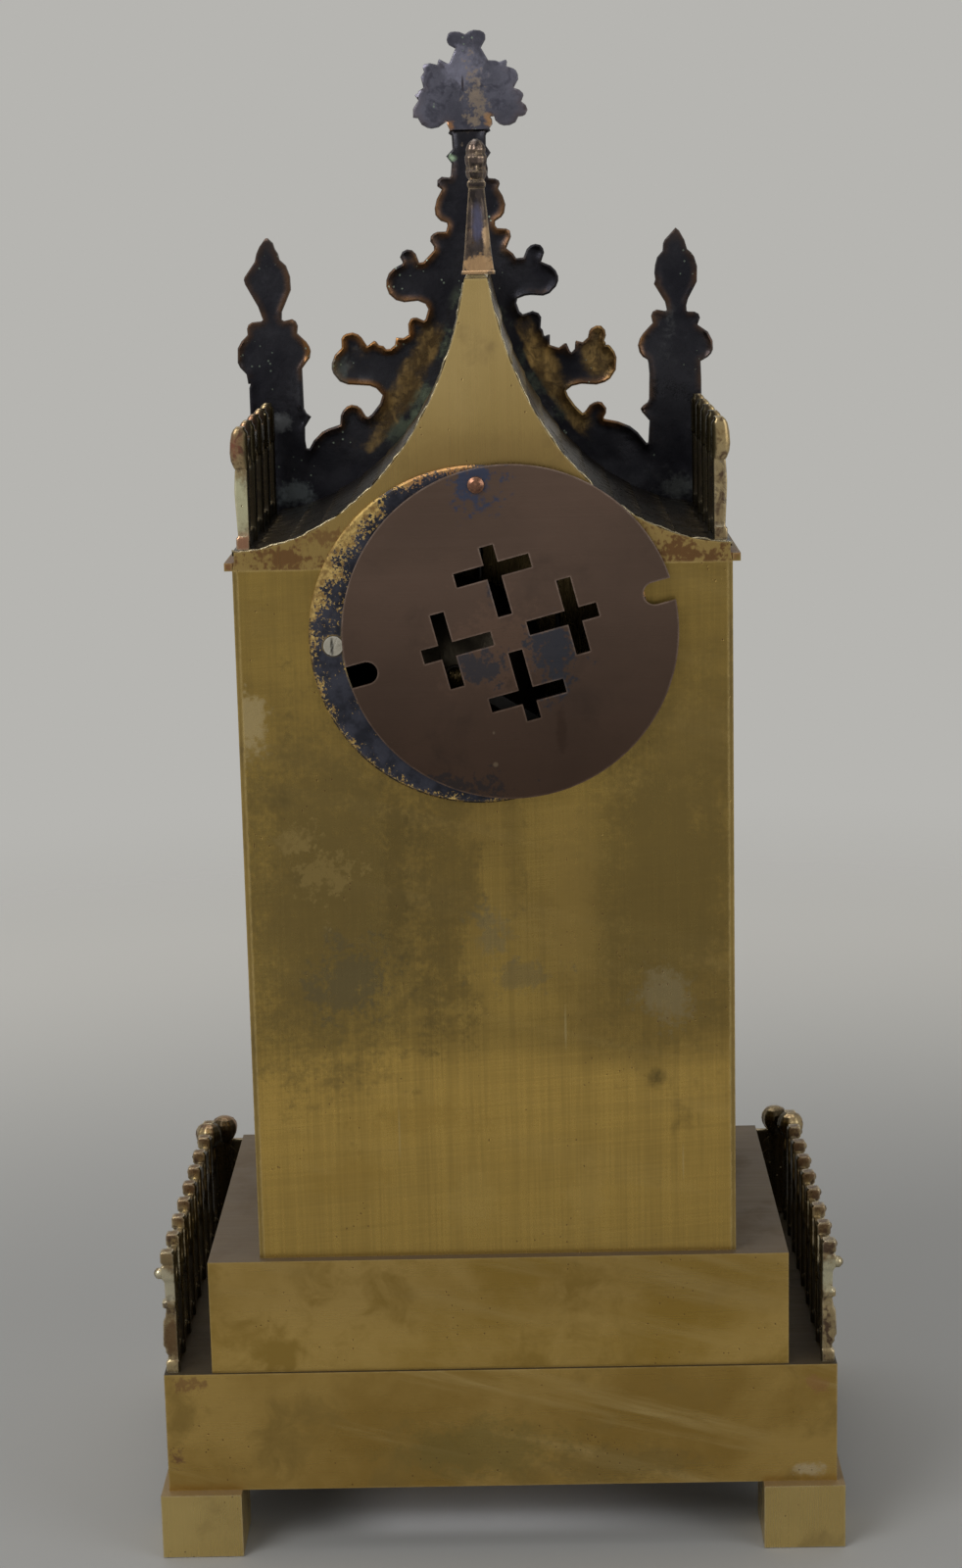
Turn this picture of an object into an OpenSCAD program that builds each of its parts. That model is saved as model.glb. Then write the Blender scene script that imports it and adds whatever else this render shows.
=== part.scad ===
// Gothic revival mantel clock with its movement, seen in the photograph from behind.
// Z is up, X runs across the clock, the dial faces -Y and the swinging rear cover faces +Y.
// The origin is the middle of the rectangle that the feet stand on. Sizes are in millimetres.

/* [Base] */
// Width across the outsides of the feet
feet_span_w = 226.2; // [200:0.2:260]
// Depth across the outsides of the feet
feet_span_d = 155; // [140:0.5:180]
// Width and depth of one square foot
foot_w = 26.7; // [18:0.1:34]
// Height of a foot
foot_h = 21.8; // [14:0.1:34]
// Ledge of foot that shows outside the lower plinth
foot_ledge = 2.4; // [1:0.1:5]
// Height of the lower plinth
base_h = 41; // [30:0.5:60]
// Setback of the upper plinth from the lower plinth at each side
plinth_side_step = 15.8; // [12:0.1:20]
// Setback of the upper plinth at the front
plinth_front_step = 15.8; // [12:0.1:20]
// Setback of the upper plinth at the back
plinth_back_step = 1.2; // [0.6:0.1:3]
// Height of the upper plinth
plinth_h = 38.4; // [28:0.2:60]
// Thickness of the sheet brass
sheet_t = 1.5; // [1:0.1:2.2]

/* [Case] */
// Width of the case
case_w = 156; // [146:0.5:168]
// Height of the case walls, from the plinth to the eaves
case_h = 226.5; // [200:0.5:260]
// Depth of the case behind the front casting
case_d = 115; // [105:0.5:125]
// Setback of the case from the back of the upper plinth
case_back_step = 3.4; // [1:0.1:6]
// Overhang of the eave beyond the case wall
eave_over = 2.5; // [1:0.1:4]
// Thickness of the eave ledge
eave_t = 2.5; // [1.5:0.1:4]

/* [Roof] */
// Height of the concave part of the gable, from the eave to the ridge
gable_rise = 82.5; // [70:0.5:95]
// Half width of the flat top of the gable
ridge_half = 3.5; // [2.5:0.1:5]
// Thickness of the roof sheet
roof_t = 1.2; // [0.8:0.1:2]
// Exposed length of one row of scales, down the slope
scale_row = 9.4; // [7:0.2:14]
// Width of one scale
scale_w = 9.5; // [7:0.25:14]
// How far the lower lip of a scale stands off the roof
scale_lip = 0.9; // [0.5:0.1:1.6]

/* [Galleries] */
// Height of the pierced galleries on the lower plinth
base_gallery_h = 38; // [30:0.5:46]
// Distance between the posts of the lower galleries
base_gallery_pitch = 16.5; // [14:0.5:24]
// Thickness of the lower gallery panel
gallery_t = 2.2; // [1.4:0.1:3]
// Radius of a gallery post
post_r = 2.2; // [1.6:0.1:2.8]
// Height of the galleries at the eaves
roof_gallery_h = 38.4; // [30:0.2:46]
// Distance between the posts of the eave galleries
roof_gallery_pitch = 25.5; // [18:0.5:26]

/* [Front casting] */
// Thickness of the front casting
facade_t = 3.2; // [2.4:0.1:4.5]
// How far the crockets and pinnacles sit to one side of the case
facade_x = 2.5; // [0:0.1:4]
// Distance of a pinnacle from the middle of the front casting
pinnacle_x = 69.45; // [66:0.05:71]
// Half width of a pinnacle shaft
pinnacle_half = 9.2; // [7:0.1:9.6]
// Width of the band of casting that shows above the roof
crest_band = 11.5; // [9:0.5:14]
// Depth of the relief on the front
relief_t = 2.6; // [1.6:0.1:3]

/* [Rear ring and cover] */
// Distance of the movement's axis from the middle of the case
move_x = 1.4; // [0:0.1:4]
// Height of the movement's axis below the eaves
move_drop = 21.7; // [18:0.1:30]
// Outer radius of the rear ring
ring_r = 53.3; // [51:0.1:56]
// Inner radius of the rear ring
ring_in_r = 43; // [42.4:0.1:43.6]
// Thickness of the rear ring
ring_t = 2.2; // [1.6:0.1:3]
// Radius of the swinging cover
cover_r = 52.6; // [50:0.1:54]
// Thickness of the swinging cover
cover_t = 1.2; // [0.8:0.1:1.6]
// Distance from the middle of the ring up to the cover's rivet
rivet_up = 47.4; // [46:0.1:48.4]
// Angle that the cover is swung aside in the photograph
cover_swung = 11.8; // [0:0.1:60]
// Slope of the line through the two ring screws
screw_slope = 2.6; // [0:0.1:6]
// Distance of a cross from the middle of the cover
cross_radius = 20.4; // [20:0.1:22]
// Width of a cross arm
cross_w = 4.5; // [3:0.1:5.5]

/* [Dial and bezel] */
// Radius of the dial
dial_r = 44.4; // [43:0.1:44.4]
// Outer radius of the bezel
bezel_r = 51.5; // [50:0.1:52]
// Radius of the pointer circle that the minute hand reaches
minute_track_r = 39; // [34:0.5:41]
// Thickness of the glass
glass_t = 1.4; // [1:0.1:1.6]

/* [Movement] */
// Radius of the two brass plates
plate_r = 40.4; // [40:0.1:40.5]
// Thickness of a movement plate
plate_t = 2; // [1.6:0.1:2.4]
// Distance between the insides of the plates
plate_gap = 38; // [37:0.5:40]
// Sideways distance of a spring barrel from the middle
barrel_x = 18.5; // [18.3:0.1:19]
// Distance of the spring barrels below the middle
barrel_drop = 14.5; // [13.5:0.1:15]
// Radius of a spring barrel
barrel_r = 15.4; // [14:0.1:16]
// Height of the pallet arbor above the middle
pallet_up = 35; // [34.5:0.1:36]
// Radius of the escape wheel
escape_r = 8.2; // [7.6:0.1:8.4]
// Length from the suspension to the middle of the pendulum bob
pendulum_len = 150; // [110:1:165]
// Radius of the pendulum bob
bob_r = 20; // [14:0.5:26]
// Radius of the bell
bell_r = 30; // [26:0.5:30]
// Depth of the bell
bell_h = 16; // [12:0.5:18]
// Running clearance between a shaft and its hole
run_gap = 0.05; // [0.03:0.01:0.08]

/* [Hidden] */
$fn = 48;

// Colours
brass = [0.60, 0.50, 0.27];
gilt = [0.74, 0.60, 0.30];
dark_brass = [0.36, 0.31, 0.23];
cover_brown = [0.27, 0.21, 0.18];
casting_black = [0.13, 0.14, 0.17];
steel = [0.55, 0.56, 0.60];
enamel = [0.93, 0.92, 0.88];

// Heights
base_z = foot_h;
plinth_z = base_z + base_h;
case_z = plinth_z + plinth_h;
eave_z = case_z + case_h;
move_z = eave_z - move_drop;

// Plan of the plinths and the case
front_trim = 0.3;
base_w = feet_span_w - 2 * foot_ledge;
base_back = feet_span_d / 2 - foot_ledge - 1.6;
base_front = -base_back + front_trim;
base_d = base_back - base_front;
plinth_w = base_w - 2 * plinth_side_step;
plinth_back = base_back - plinth_back_step;
plinth_front = base_front + plinth_front_step;
case_back_y = plinth_back - case_back_step;
case_front_y = case_back_y - case_d;
case_half = case_w / 2;
facade_front_y = case_front_y - facade_t;
relief_front_y = facade_front_y - relief_t;

// Concave outline shared by the gable, the roof and the front casting: a quarter of an ellipse
eave_lip = 5.8;
roof_half = case_half + 1;
curve_top = 20;
curve_a = roof_half - 2;
curve_b = gable_rise + curve_top;
curve_x = roof_half;
curve_z = eave_z + eave_lip + curve_b;
curve_start = acos((curve_x - ridge_half) / curve_a);
curve_end = acos((curve_x - case_half + 0.7) / curve_a);
ridge_z = curve_z - curve_b * sin(curve_start);
function curve_pt(t, grow = 0) =
  [curve_x - (curve_a + grow) * cos(t), curve_z - (curve_b + grow) * sin(t)];
function curve_pts(steps, grow = 0) =
  [for (i = [0:steps]) curve_pt(curve_start + (curve_end - curve_start) * i / steps, grow)];
function flip(points) = [for (p = points) [-p[0], p[1]]];
function backwards(points) = [for (i = [len(points) - 1:-1:0]) points[i]];

// Solids whose flat outline stands in the plane of the dial, from y0 back to y1
module upright(y0, y1) {
  translate([0, y1, 0]) rotate([90, 0, 0]) linear_extrude(y1 - y0) children();
}
// Solids whose outline, drawn as (y, z), stands across the clock from x0 to x1
module sideways(x0, x1) {
  translate([x0, 0, 0]) rotate([90, 0, 90]) linear_extrude(x1 - x0) children();
}
module rod_y(x, z, y0, y1, r) {
  translate([x, y1, z]) rotate([90, 0, 0]) cylinder(h = y1 - y0, r = r);
}
module turned_y(x, z, y0) {
  translate([x, y0, z]) rotate([-90, 0, 0]) rotate_extrude() children();
}
module block(x0, x1, y0, y1, z0, z1) {
  translate([x0, y0, z0]) cube([x1 - x0, y1 - y0, z1 - z0]);
}
module both_sides() {
  children();
  mirror([1, 0, 0]) children();
}

// Feet and plinths
foot_x = feet_span_w / 2 - foot_w / 2;
foot_y = feet_span_d / 2 - foot_w / 2;
flange_w = 26;
foot_screw_x = base_w / 2 - flange_w / 2;
foot_screw_y = base_back - flange_w / 2;
foot_screw_r = 1.6;
foot_screw_deep = 12;
screw_gap = 0.15;
rod_r = 2;
rod_gap = 0.3;
rod_x = case_half - 9;
rod_back_y = case_back_y - 10;
rod_front_y = case_front_y + 10;
nut_r = 4.2;
nut_t = 3;

module at_corners(x, y) {
  for (sx = [-1, 1], sy = [-1, 1]) translate([sx * x, sy * y, 0]) children();
}
module at_rods() {
  for (sx = [-1, 1], y = [rod_front_y, rod_back_y]) translate([sx * rod_x, y, 0]) children();
}

module feet() {
  color(brass)
    difference() {
      at_corners(foot_x, foot_y) translate([-foot_w / 2, -foot_w / 2, 0]) cube([foot_w, foot_w, foot_h]);
      at_corners(foot_screw_x, foot_screw_y) translate([0, 0, foot_h - foot_screw_deep])
        cylinder(h = foot_screw_deep + 1, r = foot_screw_r + screw_gap);
    }
}

module foot_screws() {
  color(steel)
    at_corners(foot_screw_x, foot_screw_y) {
      translate([0, 0, foot_h - foot_screw_deep + 1])
        cylinder(h = foot_screw_deep - 1 + sheet_t, r = foot_screw_r);
      difference() {
        translate([0, 0, foot_h + sheet_t]) cylinder(h = 1.8, r = 3.2);
        translate([-4, -0.4, foot_h + sheet_t + 1]) cube([8, 0.8, 2]);
      }
    }
}

module tray(x_half, y0, y1, z0, z1) {
  difference() {
    block(-x_half, x_half, y0, y1, z0, z1);
    block(-x_half + sheet_t, x_half - sheet_t, y0 + sheet_t, y1 - sheet_t, z0 - 1, z1 - sheet_t);
  }
}

module lower_plinth() {
  color(brass)
    difference() {
      union() {
        tray(base_w / 2, base_front, base_back, base_z, plinth_z);
        for (sx = [-1, 1], sy = [-1, 1])
          translate([sx * foot_screw_x, sy > 0 ? foot_screw_y : -foot_screw_y + front_trim,
            base_z + sheet_t / 2])
            cube([flange_w - 1, flange_w - 1, sheet_t], center = true);
      }
      at_corners(foot_screw_x, foot_screw_y) translate([0, 0, base_z - 1])
        cylinder(h = sheet_t + 2, r = foot_screw_r + screw_gap);
      at_rods() translate([0, 0, plinth_z - sheet_t - 1]) cylinder(h = sheet_t + 2, r = rod_r + rod_gap);
    }
}

module upper_plinth() {
  color(brass)
    difference() {
      tray(plinth_w / 2, plinth_front, plinth_back, plinth_z, case_z);
      at_rods() translate([0, 0, case_z - sheet_t - 1]) cylinder(h = sheet_t + 2, r = rod_r + rod_gap);
    }
}

module tie_rods() {
  color(steel)
    at_rods() translate([0, 0, plinth_z - sheet_t - nut_t - 2])
      cylinder(h = plinth_h + 2 * sheet_t + 2 * nut_t + 4, r = rod_r);
}

module tie_nuts() {
  color(brass)
    at_rods()
      for (z = [plinth_z - sheet_t - nut_t, case_z + sheet_t])
        translate([0, 0, z])
          difference() {
            cylinder(h = nut_t, r = nut_r, $fn = 6);
            translate([0, 0, -1]) cylinder(h = nut_t + 2, r = rod_r + 0.02);
          }
}

// Case walls
opening_r = ring_r - 4.8;
wall_tab = 16;

module case_back() {
  color(brass)
    difference() {
      block(-case_half + sheet_t, case_half - sheet_t, case_back_y - sheet_t, case_back_y, case_z, eave_z);
      rod_y(move_x, move_z, case_back_y - sheet_t - 1, case_back_y + 1, opening_r);
    }
}

module case_side() {
  difference() {
    union() {
      block(case_half - sheet_t, case_half, case_front_y, case_back_y, case_z, eave_z);
      block(case_half - wall_tab, case_half - sheet_t, case_front_y, case_back_y - sheet_t,
        case_z, case_z + sheet_t);
      block(case_half - wall_tab / 2, case_half - sheet_t, case_back_y - 2 * sheet_t,
        case_back_y - sheet_t, case_z + sheet_t, eave_z - 1);
    }
    for (y = [rod_front_y, rod_back_y]) translate([rod_x, y, case_z - 1])
      cylinder(h = sheet_t + 2, r = rod_r + rod_gap);
  }
}

module case_sides() {
  color(brass) both_sides() case_side();
}

// Eaves, gable and roof
eave_in = 12;
riser_top = eave_z + eave_lip - roof_t - 0.3;

module eave_cornices() {
  color(brass)
    both_sides()
      union() {
        block(case_half - eave_in, case_half + eave_over, case_front_y, case_back_y - sheet_t,
          eave_z, eave_z + eave_t);
        block(case_half - eave_in, case_half - 0.7, case_front_y, case_back_y - sheet_t,
          eave_z + eave_t, riser_top);
        block(case_half, case_half + eave_over, case_back_y - sheet_t, case_back_y, eave_z, eave_z + eave_t);
      }
}

module gable_outline() {
  curve = curve_pts(28);
  polygon(concat([[-case_half, eave_z], [case_half, eave_z], [case_half - 0.7, eave_z + eave_t]],
    backwards(curve), flip(curve), [[-case_half + 0.7, eave_z + eave_t]]));
}

module gable_plate() {
  color(brass)
    difference() {
      upright(case_back_y - sheet_t, case_back_y) gable_outline();
      rod_y(move_x, move_z, case_back_y - sheet_t - 1, case_back_y + 1, opening_r);
    }
}

roof_y0 = case_front_y;
roof_y1 = case_back_y - sheet_t;
roof_len = roof_y1 - roof_y0;
scale_count = floor(roof_len / scale_w);
scale_inset = 0.15;
scale_run = roof_len - 2 * scale_inset;
scale_pitch = scale_run / scale_count;
scale_from = curve_start + 3;
scale_to = curve_end - 11;
curve_run = (curve_a + curve_b) / 2 * (scale_to - scale_from) * PI / 180;
row_count = floor(curve_run / scale_row);
scale_steps = 5;
// One row of scales in plan: straight at the top and round lipped below, drawn along (y, slope)
function lip_points(row_len, shift) =
  [for (i = [-1:scale_count - 1], k = [1:scale_steps])
    let (a = 180 * k / scale_steps, y = (i + 0.5 + shift) * scale_pitch - scale_pitch / 2 * cos(a))
    if (y > 0.4 && y < scale_run - 0.4) [y, row_len + scale_pitch * 0.36 * sin(a)]];

module scale_row_plate(row) {
  t0 = scale_from + (scale_to - scale_from) * row / row_count;
  t1 = scale_from + (scale_to - scale_from) * (row + 1) / row_count;
  p0 = curve_pt(t0);
  p1 = curve_pt(t1);
  row_len = norm(p1 - p0);
  slope = atan2(p0[1] - p1[1], p1[0] - p0[0]);
  lift = atan2(scale_lip, row_len);
  points = lip_points(row_len, row % 2 == 0 ? 0 : 0.5);
  translate([p0[0], roof_y0 + scale_inset, p0[1]]) rotate([0, slope - lift, 0]) rotate([0, 0, -90])
    mirror([1, 0, 0]) translate([0, 0, -scale_lip]) linear_extrude(scale_lip)
      polygon(concat([[0, 0], [0, row_len]], points, [[scale_run, row_len], [scale_run, 0]]));
}

module roof_slope() {
  union() {
    upright(roof_y0, roof_y1) polygon(concat(curve_pts(20), backwards(curve_pts(20, roof_t))));
    for (row = [0:row_count - 1]) scale_row_plate(row);
  }
}

module roof_left() {
  color(gilt) roof_slope();
}

module roof_right() {
  color(gilt) mirror([1, 0, 0]) roof_slope();
}

module ridge_strip() {
  color(gilt)
    upright(roof_y0, roof_y1)
      polygon([[-ridge_half, ridge_z + 0.1], [-ridge_half + 1, ridge_z + 1.1],
        [ridge_half - 1, ridge_z + 1.1], [ridge_half, ridge_z + 0.1]]);
}

// Square foliate finial that stands over the back end of the ridge
finial_x = -0.8;
finial_foot = ridge_z + 1.3;
finial_y = case_back_y - 5;

module square_stage(z, height, half0, half1, cx = finial_x, cy = finial_y) {
  translate([cx, cy, z]) rotate([0, 0, 45]) cylinder(h = height + 0.02, r1 = half0 * sqrt(2),
    r2 = half1 * sqrt(2), $fn = 4);
}

module ridge_finial() {
  color(gilt)
    difference() {
      union() {
        square_stage(finial_foot, 0.8, 5.2, 5.2);
        square_stage(finial_foot + 0.8, 6.2, 4.9, 4.1);
        square_stage(finial_foot + 7, 19, 4.1, 2.4);
        square_stage(finial_foot + 26, 1.9, 2.8, 2.8);
        square_stage(finial_foot + 27.9, 2.6, 2.2, 2.9);
        square_stage(finial_foot + 30.5, 4.5, 2.9, 3.1);
        square_stage(finial_foot + 35, 3.8, 3.1, 2.3);
        square_stage(finial_foot + 38.8, 1.6, 2.3, 0.7);
      }
      block(finial_x - 1.4, finial_x + 1.4, finial_y + 2.4, finial_y + 6, finial_foot + 9, finial_foot + 22);
    }
}

// Pierced galleries. A bay is drawn along (run, height) and a post is turned.
arch_steps = 6;
module pointed_arch(half, spring, crown) {
  reach = (half * half + (crown - spring) * (crown - spring)) / (2 * half);
  top = acos((reach - half) / reach);
  side = [for (i = [0:arch_steps]) [half - reach + reach * cos(top * i / arch_steps),
    spring + reach * sin(top * i / arch_steps)]];
  other = [for (i = [arch_steps - 1:-1:0]) [-side[i][0], side[i][1]]];
  polygon(concat([[-half, 0], [half, 0]], side, other));
}

module gallery_panel(run, bays, height) {
  pitch = run / bays;
  half = pitch / 4 - 0.7;
  difference() {
    square([run, height]);
    for (i = [0:2 * bays - 1])
      translate([(i + 0.5) * pitch / 2, height * 0.13])
        pointed_arch(half, height * 0.42, height * 0.42 + half * 1.7);
    for (i = [0:bays - 1])
      translate([(i + 0.5) * pitch, height * 0.83]) circle(r = height * 0.07);
  }
}

// Cast post of a lower gallery, flat towards the clock: block, leaf panel, collar, shaft, ball and cap.
// Its outer face is drawn as (reach, height) and faces +X.
post_back = 0.9;
post_ball_r = 1.9;
post_ball_up = 34;
module base_post(height) {
  s = height / 41.9;
  upright(-0.95 * post_r, 0.95 * post_r)
    polygon([[-post_back * post_r, 0], [1.1 * post_r, 0], [1.1 * post_r, 3.7 * s], [0.7 * post_r, 4.4 * s],
      [0.8 * post_r, 5.8 * s], [1.4 * post_r, 9.5 * s], [1.4 * post_r, 16.5 * s], [0.8 * post_r, 20.8 * s],
      [0.8 * post_r, 22.3 * s], [1.25 * post_r, 22.8 * s], [1.25 * post_r, 24.6 * s],
      [0.6 * post_r, 25.4 * s], [0.6 * post_r, 31 * s], [1.1 * post_r, 32.4 * s], [1.25 * post_r, 34.6 * s],
      [1.25 * post_r, 37.4 * s], [0.95 * post_r, 37.9 * s], [1.2 * post_r, 38.5 * s],
      [1.15 * post_r, 40.4 * s], [0.6 * post_r, 41.9 * s], [-post_back * post_r, 41.9 * s]]);
  translate([1.25 * post_r + 0.6, 0, post_ball_up * s]) sphere(r = post_ball_r);
}

gallery_x = base_w / 2 - 3;
side_bays = floor((base_back - 3 + foot_y) / base_gallery_pitch);
side_run = side_bays * base_gallery_pitch;
side_y1 = base_back - 4;
side_y0 = side_y1 - side_run;
post_top = base_gallery_h + 3.9;
corner_ball_r = 4.6;

module base_side_gallery() {
  union() {
    sideways(gallery_x - gallery_t / 2, gallery_x + gallery_t / 2)
      translate([side_y0, plinth_z]) gallery_panel(side_run, side_bays, base_gallery_h);
    for (i = [0:side_bays]) translate([gallery_x, side_y0 + i * base_gallery_pitch, plinth_z])
      base_post(post_top);
    translate([gallery_x + 0.8, side_y0 + 1, plinth_z + post_top - corner_ball_r]) sphere(r = corner_ball_r);
  }
}

module base_side_galleries() {
  color(gilt) both_sides() base_side_gallery();
}

front_y = base_front + 4;
front_bays = 9;
front_run = 2 * gallery_x - 13;
leaf_h = 41;

module corner_leaf() {
  polygon([[0, 0], [8, 0], [9.2, 8], [7.8, 12], [9.6, 17], [7.6, 21], [8.6, 26], [6.4, 30], [6.6, 35],
    [3.8, 38], [2, leaf_h], [0, leaf_h - 4]]);
}

module base_front_gallery() {
  color(gilt)
    union() {
      upright(front_y - gallery_t / 2, front_y + gallery_t / 2) {
        translate([-front_run / 2, plinth_z]) gallery_panel(front_run, front_bays, base_gallery_h);
        for (sx = [-1, 1]) translate([sx * (front_run / 2 - 0.5), plinth_z])
          mirror([sx > 0 ? 1 : 0, 0]) corner_leaf();
      }
      for (i = [1:front_bays - 1])
        translate([-front_run / 2 + i * front_run / front_bays, front_y, plinth_z])
          rotate([0, 0, -90]) base_post(post_top);
      for (sx = [-1, 1])
        translate([sx * (front_run / 2 - 0.6), front_y, plinth_z + post_top - corner_ball_r])
          sphere(r = corner_ball_r);
    }
}

roof_gallery_x = case_half - 3.8;
roof_bays = floor((case_d - 9) / roof_gallery_pitch);
roof_run = roof_bays * roof_gallery_pitch;
roof_gallery_y1 = case_back_y - 4;
roof_gallery_y0 = roof_gallery_y1 - roof_run;
roof_gallery_z = eave_z + eave_lip + 0.55;

// Cast post of an eave gallery: square block, panelled shaft and a barrel-shaped bulb that stands out
module roof_post() {
  s = roof_gallery_h / 38.4;
  difference() {
    upright(-post_r, post_r)
      polygon([[-post_back * post_r, 0], [1.1 * post_r, 0], [1.1 * post_r, 3.8 * s], [0.8 * post_r, 4.4 * s],
        [0.95 * post_r, 11 * s], [1.05 * post_r, 18 * s], [0.9 * post_r, 24 * s], [0.9 * post_r, 27 * s],
        [-post_back * post_r, 27 * s]]);
    block(-0.45 * post_r, 0.45 * post_r, post_r - 0.4, post_r + 1, 5.6 * s, 23.6 * s);
  }
  upright(-1.15 * post_r, 1.15 * post_r)
    polygon([[-1.05 * post_r, 25.6 * s], [1.1 * post_r, 25.6 * s], [1.5 * post_r, 27.6 * s],
      [1.6 * post_r, 30 * s], [1.5 * post_r, 33.4 * s], [1.2 * post_r, 36.6 * s], [0.5 * post_r, 38.4 * s],
      [-0.6 * post_r, 38.4 * s], [-1.05 * post_r, 37 * s]]);
}

module roof_gallery() {
  union() {
    sideways(roof_gallery_x - gallery_t / 2, roof_gallery_x + gallery_t / 2)
      translate([roof_gallery_y0, roof_gallery_z]) gallery_panel(roof_run, roof_bays, roof_gallery_h * 0.87);
    for (i = [0:roof_bays])
      translate([roof_gallery_x, roof_gallery_y0 + i * roof_gallery_pitch, roof_gallery_z]) roof_post();
  }
}

module roof_galleries() {
  color(gilt) both_sides() roof_gallery();
}

// Front casting: a flat plate with crockets, spire, fleuron and two pinnacles cut into its outline
dial_hole_r = 46.6;
module lobe(x, z, r) {
  rod_y(x, z, facade_front_y, case_front_y, r);
}
module leaf(points) {
  upright(facade_front_y, case_front_y) polygon(points);
}

module crest_half() {
  crest = [for (i = [0:12]) let (t = 19 + i * 3.6)
    [curve_x - (curve_a - crest_band) * cos(t), curve_z - (curve_b - crest_band) * sin(t)]];
  leaf(concat([[0, eave_z], [0, ridge_z + 32], [6.9, ridge_z + 14], [9, ridge_z + 2]],
    crest, [[62, ridge_z - 61], [62, eave_z]]));
  // Scroll and ball beside the pinnacle
  lobe(46.5, ridge_z - 65, 11.2);
  lobe(42.6, ridge_z - 49, 3.6);
  leaf([[40.8, ridge_z - 56], [46, ridge_z - 55], [44, ridge_z - 50], [41.2, ridge_z - 50]]);
  // Lower crocket
  lobe(42.6, ridge_z - 32.2, 7);
  lobe(42.7, ridge_z - 24, 3.5);
  leaf([[24, ridge_z - 30], [26.7, ridge_z - 23], [29, ridge_z - 26.6], [31.2, ridge_z - 25],
    [33, ridge_z - 28], [35.9, ridge_z - 23], [38.5, ridge_z - 26], [41, ridge_z - 38.5],
    [34, ridge_z - 41], [29, ridge_z - 40]]);
  lobe(20.2, ridge_z - 18, 2.6);
  // Upper crocket
  lobe(23.8, ridge_z - 3.7, 5.9);
  lobe(21.7, ridge_z + 4.6, 3);
  leaf([[8, ridge_z - 6], [9, ridge_z + 6], [13, ridge_z + 1], [17, ridge_z + 2], [24, ridge_z - 9.4],
    [16.5, ridge_z - 10.6]]);
  lobe(11.3, ridge_z + 10.5, 2.7);
  leaf([[6, ridge_z + 9], [10, ridge_z + 9.4], [10, ridge_z + 11.4], [6, ridge_z + 12.6]]);
  // Stem with its lobes, balls and points
  leaf([[0, ridge_z + 12], [6.9, ridge_z + 12], [6.2, ridge_z + 22], [5.7, ridge_z + 31],
    [5.7, ridge_z + 35.6], [8, ridge_z + 38.4], [5.7, ridge_z + 41.2], [5.7, ridge_z + 46],
    [0, ridge_z + 46]]);
  lobe(7.6, ridge_z + 22, 4.7);
  lobe(8.6, ridge_z + 29, 2.6);
  leaf([[0, ridge_z + 45], [7.4, ridge_z + 45], [7.2, ridge_z + 47.4], [0, ridge_z + 47.4]]);
  // Fleuron
  leaf([[0, ridge_z + 46], [6.8, ridge_z + 47.4], [8, ridge_z + 50.6], [13, ridge_z + 54],
    [13, ridge_z + 66], [11.7, ridge_z + 70.6], [9, ridge_z + 68.2], [6.6, ridge_z + 69.6],
    [5.4, ridge_z + 73], [5, ridge_z + 75.4], [2.6, ridge_z + 75.6], [0, ridge_z + 75]]);
  lobe(11.2, ridge_z + 51.8, 4.4);
  lobe(13.4, ridge_z + 53.6, 3.9);
  lobe(12.6, ridge_z + 59.4, 4.2);
  lobe(11, ridge_z + 65, 4.5);
  lobe(3.8, ridge_z + 76.9, 3.1);
}

module pinnacle_outline() {
  tip = ridge_z + 12.8;
  for (s = [0, 1])
    mirror([s, 0]) {
      leaf([[0, eave_z - 4], [pinnacle_half, eave_z - 4], [pinnacle_half, tip - 66],
        [12.4, tip - 62], [pinnacle_half, tip - 58.8], [pinnacle_half, tip - 44],
        [8, tip - 31], [3, tip - 29], [3.3, tip - 26], [4, tip - 24], [7.9, tip - 13.6],
        [6.4, tip - 10.5], [3.9, tip - 7], [3.2, tip - 3.4], [0, tip]]);
      lobe(6.9, tip - 39.6, 6.2);
      lobe(6.8, tip - 30.3, 2.4);
    }
}

module facade() {
  color(casting_black)
    difference() {
      union() {
        block(-case_half, case_half, facade_front_y, case_front_y, case_z, eave_z + eave_t);
        translate([facade_x, 0, 0])
          for (s = [0, 1]) mirror([s, 0, 0]) {
            crest_half();
            translate([pinnacle_x, 0, 0]) pinnacle_outline();
          }
      }
      rod_y(move_x, move_z, facade_front_y - 1, case_front_y + 1, dial_hole_r);
    }
}

// Relief on the front: blind tracery under the dial, a cusped round frame and gable mouldings
tracery_half = 56;
sill_h = 6;
transom_z = move_z - ring_r - 9;
lancets = 3;
cusps = 12;
frame_in_r = bezel_r + 0.7;
frame_out_r = bezel_r + 3;

module lancet_row() {
  pitch = 2 * tracery_half / lancets;
  half = pitch / 2 - 2.2;
  height = transom_z - case_z - sill_h - 4;
  rose_z = height * 0.76;
  for (i = [0:lancets - 1])
    translate([-tracery_half + (i + 0.5) * pitch, case_z + sill_h])
      difference() {
        pointed_arch(half, height - half * 2.4, height);
        translate([-1.1, -1]) square([2.2, rose_z - pitch * 0.24 + 1]);
        translate([0, height * 0.58]) square([pitch, 2.4], center = true);
        difference() {
          translate([0, rose_z]) circle(r = pitch * 0.27);
          for (k = [0:3]) translate([0, rose_z]) rotate(45 + 90 * k)
            translate([pitch * 0.14, 0]) circle(r = pitch * 0.088);
        }
      }
}

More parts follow.
